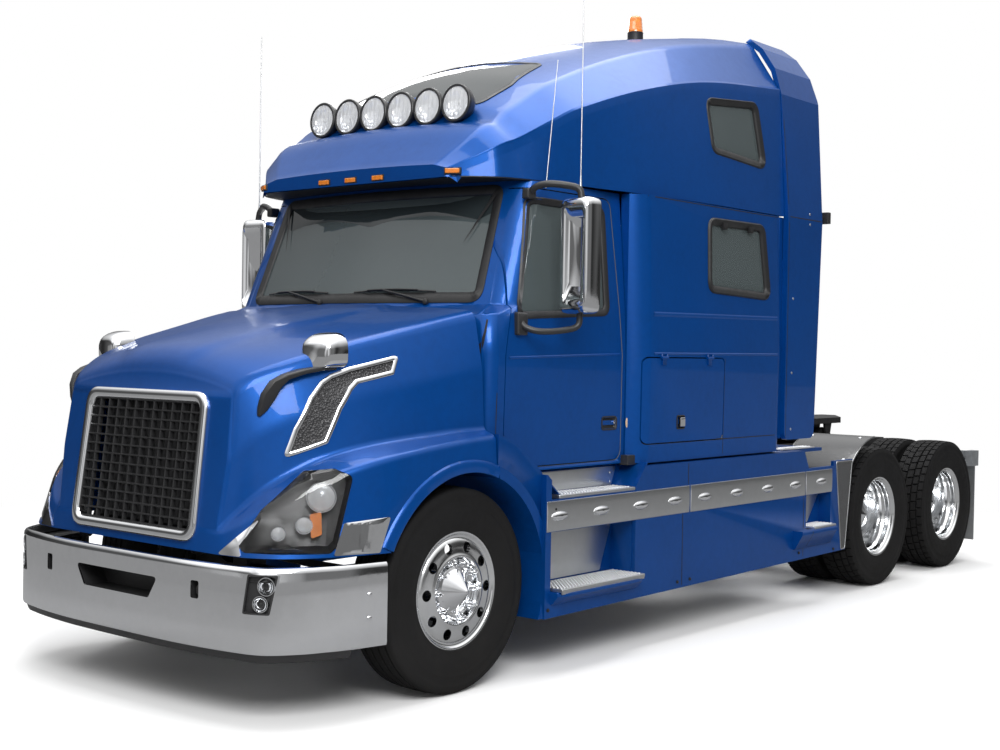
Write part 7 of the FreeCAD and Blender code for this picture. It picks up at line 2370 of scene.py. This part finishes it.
@dataclass
class Fairings:
    """Side fairings with steps, back plates, bright trim and oval lamps."""

    lamp_spots: Sequence[float] = (0.725, 1.104, 1.493, 1.852, 2.188, 2.572, 2.969, 3.345, 3.723)
    trim: Sequence[Pair] = ((0.618, 2.016), (2.03, 3.492), (3.502, 3.888))
    trim_z: Pair = (0.76, 0.923)
    grip_pitch: float = 0.026
    grip_margin: float = 0.02

    def build(self) -> None:
        """Build the fairings' pieces."""
        skin = node_form("side_fairings")
        notch = Form().slab([(1.05, y, z) for y, z in ((0.6, 1.09), (0.64, 1.052), (0.762, 0.9535),
                                                       (1.449, 0.9535), (1.56, 1.09))],
                            (0.3, 0.0, 0.0)).tidy()
        open_skin = cut(skin, notch, notch.on(Side.RIGHT))
        # Painted shade: the fairing skins take the darkened copy of the body blue.
        place(open_skin, "fairing_skins", BLUE_PAINTED_SHADE, "chassis", ["side_fairings"], angle=28.0, tidy=False)
        self.step_boxes()
        self.plates()
        self.trims()
        self.treads()
        self.details(side_drape(skin))

    def step_boxes(self) -> None:
        """Build the rounded boxes under the treads and the walls beside the lower step."""
        boxes = Form()
        for start, end, x_in, x_out, top, low in ((0.65, 1.462, 1.19, 1.2955, 0.441, 0.372),
                                                  (3.488, 3.852, 1.19, 1.2955, 0.53, 0.452)):
            lines = []
            for share, y in ((0.0, start), (0.72, start + 0.012), (0.96, start + 0.055), (1.0, start + 0.11),
                             (1.0, end - 0.09), (0.96, end - 0.04), (0.72, end - 0.008), (0.0, end)):
                out = x_in + 0.012 + (x_out - x_in - 0.012) * share
                lines.append([Vector((x, y, z)) for x, z in ((x_in, top), (out - 0.01, top),
                                                             (out, top - 0.008), (out, top - 0.022),
                                                             (x_in + (out - x_in) * 0.62, low + 0.008),
                                                             (x_in + (out - x_in) * 0.45, low),
                                                             (x_in, low))])
            boxes.solid(lines)
        for low, high in (((1.046, 0.7, 0.44), (1.0522, 1.452, 0.76)),
                          ((1.046, 1.444, 0.44), (1.198, 1.4505, 0.76)),
                          ((1.046, 0.7, 0.94), (1.0522, 1.56, 1.062)),
                          ((0.9, 3.5, 0.56), (1.1284, 3.51, 0.757))):
            boxes.block(low, high)
        for outline, wide in ((((1.449, 0.951), (1.56, 1.088), (1.572, 1.088), (1.461, 0.951)), 0.173),
                              (((0.762, 0.951), (0.64, 1.05), (0.63, 1.05), (0.752, 0.951)), 0.151)):
            boxes.slab([(1.046, y, z) for y, z in outline], (wide, 0.0, 0.0))
        # Painted shade: the step boxes take the darkened copy of the body blue.
        place(boxes.tidy().both(), "step_boxes", BLUE_PAINTED_SHADE, "chassis", angle=35.0)

    def plates(self) -> None:
        """Set the bright plates behind the steps."""
        form = Form()
        for x, outline in ((1.0525, ((0.715, 1.06), (1.476, 1.06), (1.43, 0.953), (0.8, 0.953))),
                           (1.0525, ((0.76, 0.748), (1.444, 0.748), (1.33, 0.466), (0.76, 0.466))),
                           (1.1285, ((3.56, 0.752), (3.868, 0.752), (3.7, 0.552), (3.56, 0.552)))):
            line = rounded(outline, 0.012, 4)
            form.join(Form().slab([Vector((x, p.x, p.y)) for p in line],
                                  (0.004, 0.0, 0.0)).tidy().bevel(0.0012, 2))
        rivet = Form().turned([(0.0, 0.007), (0.002, 0.0065), (0.0035, 0.004), (0.004, 0.0)], ORIGIN,
                              ALONG_Z, 12)
        heads = [((1.0565, y, z), ALONG_X)
                 for y, z in ((0.79, 1.022), (1.42, 1.022), (1.42, 0.97), (0.785, 0.722), (1.41, 0.722),
                              (0.785, 0.49))]
        place(form.both(), "step_back_plates", STAINLESS, "chassis", angle=40.0)
        place(spots(rivet, STAINLESS, heads).both(), "step_plate_rivets", STAINLESS, "chassis", tidy=False)

    def trims(self) -> None:
        """Build the bright strips and the oval lamps on them."""
        strips = Form()
        low, high = self.trim_z
        section = [(low, 1.2204), (low + 0.002, 1.2236), (low + 0.008, 1.225), (low + 0.04, 1.227),
                   ((low + high) / 2.0, 1.2278), (high - 0.04, 1.227), (high - 0.008, 1.225),
                   (high - 0.002, 1.2236), (high, 1.2204)]
        for start, end in self.trim:
            strips.loft([[Vector((x if start + 0.002 < y < end - 0.002 else min(x, 1.2228), y, z))
                          for z, x in section] for y in (start, start + 0.003,
                                                         *spread(start + 0.006, end - 0.006, 9), end - 0.003,
                                                         end)], caps=True)
        place(strips.tidy().both(), "fairing_strips", STAINLESS, "chassis", ["fairing_trim"], angle=30.0)
        dome = Form().turned([(0.0, 1.0), (0.1, 1.0), (0.22, 0.96), (0.34, 0.9), (0.44, 0.86)], ORIGIN,
                             ALONG_X, 40)
        lens = Form().turned([(0.38, 0.88), (0.6, 0.78), (0.8, 0.58), (0.94, 0.32), (1.0, 0.0)], ORIGIN,
                             ALONG_X, 40)
        cases, lenses = Form(), Form()
        for y in self.lamp_spots:
            turn = shift(1.2262, y, (low + high) / 2.0) @ Matrix.Diagonal((0.017, 0.076, 0.026, 1.0))
            cases.join(dome.moved(turn))
            lenses.join(lens.moved(turn))
        place(cases.both(), "oval_lamp_cases", TREAD_METAL, "chassis", angle=60.0, tidy=False)
        place(lenses.both(), "oval_lamp_lenses", CHROME, "chassis", angle=60.0, tidy=False)

    def treads(self) -> None:
        """Build the treads with their raised gripping rings."""
        plates, buttons = Form(), Form()
        grip = Form().turned([(-0.001, 0.0092), (0.0035, 0.008), (0.0048, 0.0062), (0.0042, 0.0046),
                              (0.0004, 0.004), (0.0004, 0.0)], ORIGIN, ALONG_Z, 12)
        for low, high in (((1.054, 0.732, 0.931), (1.217, 1.448, 0.95)),
                          ((1.06, 0.672, 0.441), (1.294, 1.448, 0.46)),
                          ((1.13, 3.517, 0.53), (1.29, 3.834, 0.546)),
                          ((1.002, 3.354, 1.066), (1.116, 3.83, 1.074))):
            plates.pad(low, high, 0.006, 3)
            plates.pad((high[0] - 0.012, low[1] + 0.002, low[2] - 0.01),
                       (high[0] - 0.003, high[1] - 0.002, high[2] - 0.004), 0.003)
            pitch = self.grip_pitch
            wide, long = (int((b - a - self.grip_margin) // pitch) for a, b in zip(low[:2], high[:2]))
            x0, y0 = ((a + b - pitch * (count - 1)) / 2.0 for a, b, count in zip(low, high, (wide, long)))
            grid = rows(grip, TREAD_METAL, long, (0.0, pitch, 0.0), wide, (pitch, 0.0, 0.0))
            buttons.join(grid.moved(shift(x0, y0, high[2])))
        place(plates.both(), "step_treads", TREAD_METAL, "chassis", ["cab_steps"], angle=35.0)
        place(buttons.both(), "step_grips", TREAD_METAL, "chassis", tidy=False)

    def details(self, drape: Drape) -> None:
        """Lay the panel gaps, the sill bands, the bolts, a grey patch painted as the sheen on the fairings'
        rear ends and a bright rim painted as their lit edge.
        """
        gaps = Form()
        for points in (((1.95, 0.325), (1.95, 0.752)), ((2.006, 0.93), (2.006, 1.06)),
                       ((3.48, 0.345), (3.48, 0.752))):
            gaps.join(strip(drape, under(points), 0.007))
        place(gaps.both(), "fairing_gaps", SEAL, "chassis", tidy=False)
        # Painted sheen: a grey coated patch over each fairing's rear end stands in for its grey-blue sheen,
        # and a bright stainless rim round it stands in for its lit edge.
        painted_sheen = drape.patch(rounded([(3.955, -0.968), (4.205, -0.968), (4.112, -0.336), (4.052, -0.334)],
                                    0.02, 4), 0.0022, 0.04)
        place(painted_sheen.both(), "fairing_guards", FENDER_GREY, "chassis", tidy=False)
        edge = drape.rings([(3.945, -0.974), (4.212, -0.974), (4.116, -0.33), (4.04, -0.33)],
                           [(-0.004, 0.001), (-0.005, 0.004), (-0.012, 0.004), (-0.013, 0.0012)], 0.022)
        place(edge.both(), "fairing_guard_edges", STAINLESS, "chassis")
        sill = Form().pad((1.086, 1.462, 1.068), (1.15, 2.56, 1.126), 0.008, 3)
        sill.pad((1.086, 2.62, 1.068), (1.15, 3.16, 1.12), 0.008, 3)
        place(sill.both(), "sill_bands", BLACK_PLASTIC, "chassis")
        bolt = Form().turned([(0.0, 0.011), (0.003, 0.011), (0.004, 0.008), (0.0085, 0.0075), (0.01, 0.0055),
                              (0.0102, 0.0)], ORIGIN, ALONG_Z, 6)
        heads = [(drape.spot((y, -z), 0.0), ALONG_X)
                 for y, z in ((0.64, 0.345), (1.9, 0.35), (2.04, 0.352), (3.42, 0.372), (0.69, 0.88),
                              (3.93, 0.35))]
        place(spots(bolt, FRAME_BLACK, heads).both(), "fairing_bolts", FRAME_BLACK, "chassis", tidy=False)


# Chassis


@dataclass
class Chassis:
    """Frame details, rear fenders, mudflaps, coupling and deck."""

    rail_x: float = 0.43
    drive: Pair = (4.7115, 0.518)
    fender_radius: float = 0.61
    grip_step: float = 0.052

    def build(self) -> None:
        """Build the chassis pieces."""
        self.frame_bolts()
        self.fenders()
        self.flaps()
        self.deck()
        self.coupling()

    def frame_bolts(self) -> None:
        """Carry the ladder frame and add its bolt heads."""
        carry("ladder_frame", "frame_rails", FRAME_BLACK, angle=28.0)
        bolt = Form().turned([(0.0, 0.016), (0.004, 0.016), (0.005, 0.012), (0.013, 0.0115), (0.016, 0.008),
                              (0.0162, 0.0)], ORIGIN, ALONG_Z, 6)
        heads = [((self.rail_x + 0.001, y, z), ALONG_X)
                 for y in (4.32, 4.4, 4.48, 4.94, 5.02, 5.1, 5.6, 5.68, 6.22, 6.3, 6.38)
                 for z in (0.8, 0.875, 0.95)]
        place(spots(bolt, CAST, heads).both(), "frame_bolts", CAST, "chassis", tidy=False)

    def fenders(self) -> None:
        """Build the quarter fenders with rolled edges and bolt heads."""
        cy, cz = self.drive
        form = Form()
        start, end = self.fender_span()

        def arc(x: float, r: float) -> list[Vector]:
            """Return an arc round the first drive axle."""
            return [Vector((x, cy + r * math.cos(a), cz + r * math.sin(a))) for a in spread(start, end, 30)]

        for r in (0.6035, 0.6095):
            form.loft([arc(x, r) for x in spread(0.642, 1.188, 5)])
        for x in (0.646, 1.186):
            form.tube(arc(x, 0.6065), 0.0062, 8)
        place(form.both(), "drive_fenders", FENDER_GREY, "chassis", ["quarter_fenders"], angle=40.0,
              tidy=False)
        head = Form().turned([(0.0, 0.012), (0.003, 0.0115), (0.006, 0.007), (0.007, 0.0)], ORIGIN, ALONG_Z,
                             14)
        places = []
        for a in spread(start + 0.12, end - 0.12, 3):
            for x in (0.72, 1.11):
                aim = Vector((0.0, math.cos(a), math.sin(a)))
                places.append((Vector((x, cy, cz)) + aim * 0.6095, tuple(aim)))
        place(spots(head, STAINLESS, places).both(), "fender_bolts", STAINLESS, "chassis", tidy=False)

    def fender_span(self) -> Pair:
        """Return the quarter fender's first and last angle from its node's box."""
        low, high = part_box("quarter_fenders")
        cy, cz = self.drive
        y0, y1 = low[1] - AXLE.y, high[1] - AXLE.y
        first = math.acos(max(-1.0, min(1.0, (y1 - cy) / self.fender_radius)))
        if y0 - cy < -0.6:
            return first, math.pi - math.asin(max(-1.0, min(1.0, (low[2] - cz) / self.fender_radius)))
        return first, math.acos((y0 - cy) / self.fender_radius)

    def flaps(self) -> None:
        """Build the mudflaps with their ribs and clamp bars."""
        carry("mudflaps", "mudflap_set", FLAP, angle=28.0)
        ribs = Form()
        for k in range(7):
            x = 0.66 + 0.085 * k
            for y in (6.5525, 6.5405):
                ribs.pad((x - 0.004, y, 0.3), (x + 0.004, y + 0.003, 0.7), 0.0012, 1)
        ribs.pad((0.62, 6.538, 0.82), (1.196, 6.5435, 0.862), 0.002)
        place(ribs.both(), "mudflap_ribs", FLAP, "chassis")

    def deck(self) -> None:
        """Build the deck plate with its raised grip pattern."""
        carry("deck_plate", "deck_sheet", FRAME_BLACK, angle=28.0)
        bar = Form().pad((-0.013, -0.0028, -0.001), (0.013, 0.0028, 0.0018), 0.0012, 1)
        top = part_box("deck_plate")[1][2]
        step = self.grip_step
        pattern = Form()
        for degrees, start in ((45.0, (-0.468, 3.604)), (-45.0, (-0.442, 3.63))):
            turned = bar.moved(Matrix.Rotation(math.radians(degrees), 4, "Z"))
            grid = rows(turned, FRAME_BLACK, 19, (step, 0.0, 0.0), 9, (0.0, step, 0.0))
            pattern.join(grid.moved(shift(*start, top)))
        place(pattern, "deck_grip", FRAME_BLACK, "chassis", tidy=False)

    def coupling(self) -> None:
        """Carry the tilting coupling plate."""
        carry("fifth_wheel", "coupling_plate", CAST, angle=30.0)


# Interior


@dataclass
class Cushion:
    """A padded block whose faces are puffed by a short cloth run."""

    low: Triple
    high: Triple
    tilt: float = 0.0
    pivot: Triple = ORIGIN
    grid: float = 0.024

    def shape(self) -> Form:
        """Return the rounded, evenly divided block."""
        form = Form().block(self.low, self.high).bevel(0.03, 3, 20.0)
        cuts = [max(1, int((b - a) / self.grid)) for a, b in zip(self.low, self.high)]
        for axis, count in enumerate(cuts):
            for k in range(1, count):
                at = [0.0, 0.0, 0.0]
                at[axis] = self.low[axis] + (self.high[axis] - self.low[axis]) * k / count
                normal = [0.0, 0.0, 0.0]
                normal[axis] = 1.0
                bmesh.ops.bisect_plane(form.mesh, geom=form.mesh.verts[:] + form.mesh.edges[:]
                                       + form.mesh.faces[:], plane_co=at, plane_no=normal)
        back = Matrix.Translation(-Vector(self.pivot))
        return form.moved(shift(*self.pivot) @ Matrix.Rotation(self.tilt, 4, "X") @ back)

    def puffed(self, pressure: float = 4.0, frames: int = 20, most: float = 0.026) -> Form:
        """Return the block after its cloth run, with every point's travel limited.

        Args:
            pressure: Pressure inside the cover.
            frames: Frames of the cloth run.
            most: The furthest that a point may travel.
        """
        item = self.shape().raw("cushion")
        item.modifiers.new("subdivide", "SUBSURF").levels = 1
        apply_modifiers(item)
        start = [v.co.copy() for v in item.data.vertices]
        cloth = item.modifiers.new("cloth", "CLOTH")
        cloth.settings.use_pressure = True
        cloth.settings.uniform_pressure_force = pressure
        cloth.settings.effector_weights.gravity = 0.0
        cloth.settings.quality = 4
        cloth.settings.tension_stiffness = 25.0
        cloth.settings.bending_stiffness = 0.6
        cloth.collision_settings.use_collision = False
        cloth.point_cache.frame_end = frames
        scene = bpy.context.scene
        for number in range(1, frames + 1):
            scene.frame_set(number)
        apply_modifiers(item)
        scene.frame_set(1)
        for vert, rest in zip(item.data.vertices, start):
            travel = vert.co - rest
            if travel.length > most:
                vert.co = rest + travel.normalized() * most
        return from_object(item)


@dataclass
class Interior:
    """Seats and steering wheel."""

    seat_x: float = 0.52
    seat_y: float = 1.16
    floor_z: float = 1.11

    def build(self) -> None:
        """Build the seats and the steering wheel."""
        y, z = self.seat_y, self.floor_z
        parts = (("cushion", Cushion((-0.235, y - 0.21, z + 0.325), (0.235, y + 0.25, z + 0.44))),
                 ("back", Cushion((-0.225, y + 0.215, z + 0.42), (0.225, y + 0.315, z + 0.96),
                                  math.radians(-8.0), (0.0, y + 0.26, z + 0.42))),
                 ("headrest", Cushion((-0.13, y + 0.29, z + 0.985), (0.13, y + 0.37, z + 1.135),
                                      math.radians(-8.0), (0.0, y + 0.26, z + 0.42))))
        for name, cushion in parts:
            form = cushion.puffed()
            for side in Side:
                item = place(form.moved(shift(self.seat_x * side.value, 0.0, 0.0)),
                             "seat_" + name + "_" + side.word, FABRIC, "chassis",
                             ["seats"] if name == "cushion" and side is Side.LEFT else (), angle=60.0)
        base = Form().pad((-0.2, y - 0.16, z + 0.2), (0.2, y + 0.22, z + 0.33), 0.02)
        base.pad((-0.15, y - 0.12, z + 0.001), (0.15, y + 0.18, z + 0.205), 0.015)
        place(base.moved(shift(self.seat_x, 0.0, 0.0)).both(), "seat_bases", INTERIOR, "chassis")
        self.wheel()

    def wheel(self) -> None:
        """Build the steering wheel: rim, four spokes, hub and column."""
        form = Form()
        circle = [Vector((0.205 * math.cos(a), 0.205 * math.sin(a), 0.0))
                  for a in spread(0.0, 2.0 * math.pi, 49)]
        form.tube(circle, 0.014, 12)
        form.turned([(-0.03, 0.0), (-0.03, 0.055), (0.004, 0.062), (0.014, 0.045), (0.017, 0.0)], ORIGIN,
                    ALONG_Z, 28)
        for a in (0.35, math.pi - 0.35, math.pi + 0.6, -0.6):
            form.tube([Vector((0.05 * math.cos(a), 0.05 * math.sin(a), -0.008)),
                       Vector((0.2 * math.cos(a), 0.2 * math.sin(a), 0.0))], 0.011, 8)
        turn = shift(0.47, 0.872, 1.812) @ Matrix.Rotation(math.radians(62.0), 4, "X")
        column = Form().tube([Vector((0.47, 0.86, 1.8)), Vector((0.47, 0.7, 1.712))], [0.03, 0.042], 16)
        place(form.moved(turn).join(column), "steering_wheel_piece", BLACK_PLASTIC, "chassis",
              ["steering_wheel"], angle=50.0)


# Carried-over nodes


@dataclass(frozen=True)
class Carried:
    """A CAD node that keeps its shape, with its finish and the rounding of its edges."""

    node: str
    finish: Finish
    bevel: float = 0.003


CARRIED = (Carried("engine", CAST, 0.004), Carried("radiator", CORE),
           Carried("front_axle", FRAME_BLACK, 0.0), Carried("drive_axles", FRAME_BLACK, 0.004),
           Carried("drive_suspension", FRAME_BLACK), Carried("fuel_tanks", STAINLESS, 0.004),
           Carried("dashboard", INTERIOR, 0.006), Carried("fifth_wheel_base", FRAME_BLACK),
           Carried("cab_mounts", FRAME_BLACK), Carried("knuckle_left", CAST, 0.0),
           Carried("knuckle_right", CAST, 0.0), Carried("tie_rod", CAST, 0.0))


@dataclass
class Rest:
    """The nodes under and inside the truck, whose CAD shape is the finished one."""

    def build(self) -> None:
        """Carry them all."""
        for part in CARRIED:
            carry(part.node, part.node + "_piece", part.finish, bevel=part.bevel)


ASSEMBLIES = (Wheels, Hood, Bumper, Roof, Cab, Sleeper, Fairings, Chassis, Interior, Rest)


def main() -> None:
    """Build every sub-assembly in order."""
    logging.basicConfig(level=logging.INFO, format="%(message)s", stream=sys.stdout)
    Studio().build()
    for assembly in ASSEMBLIES:
        assembly().build()


if __name__ == "__main__":
    main()
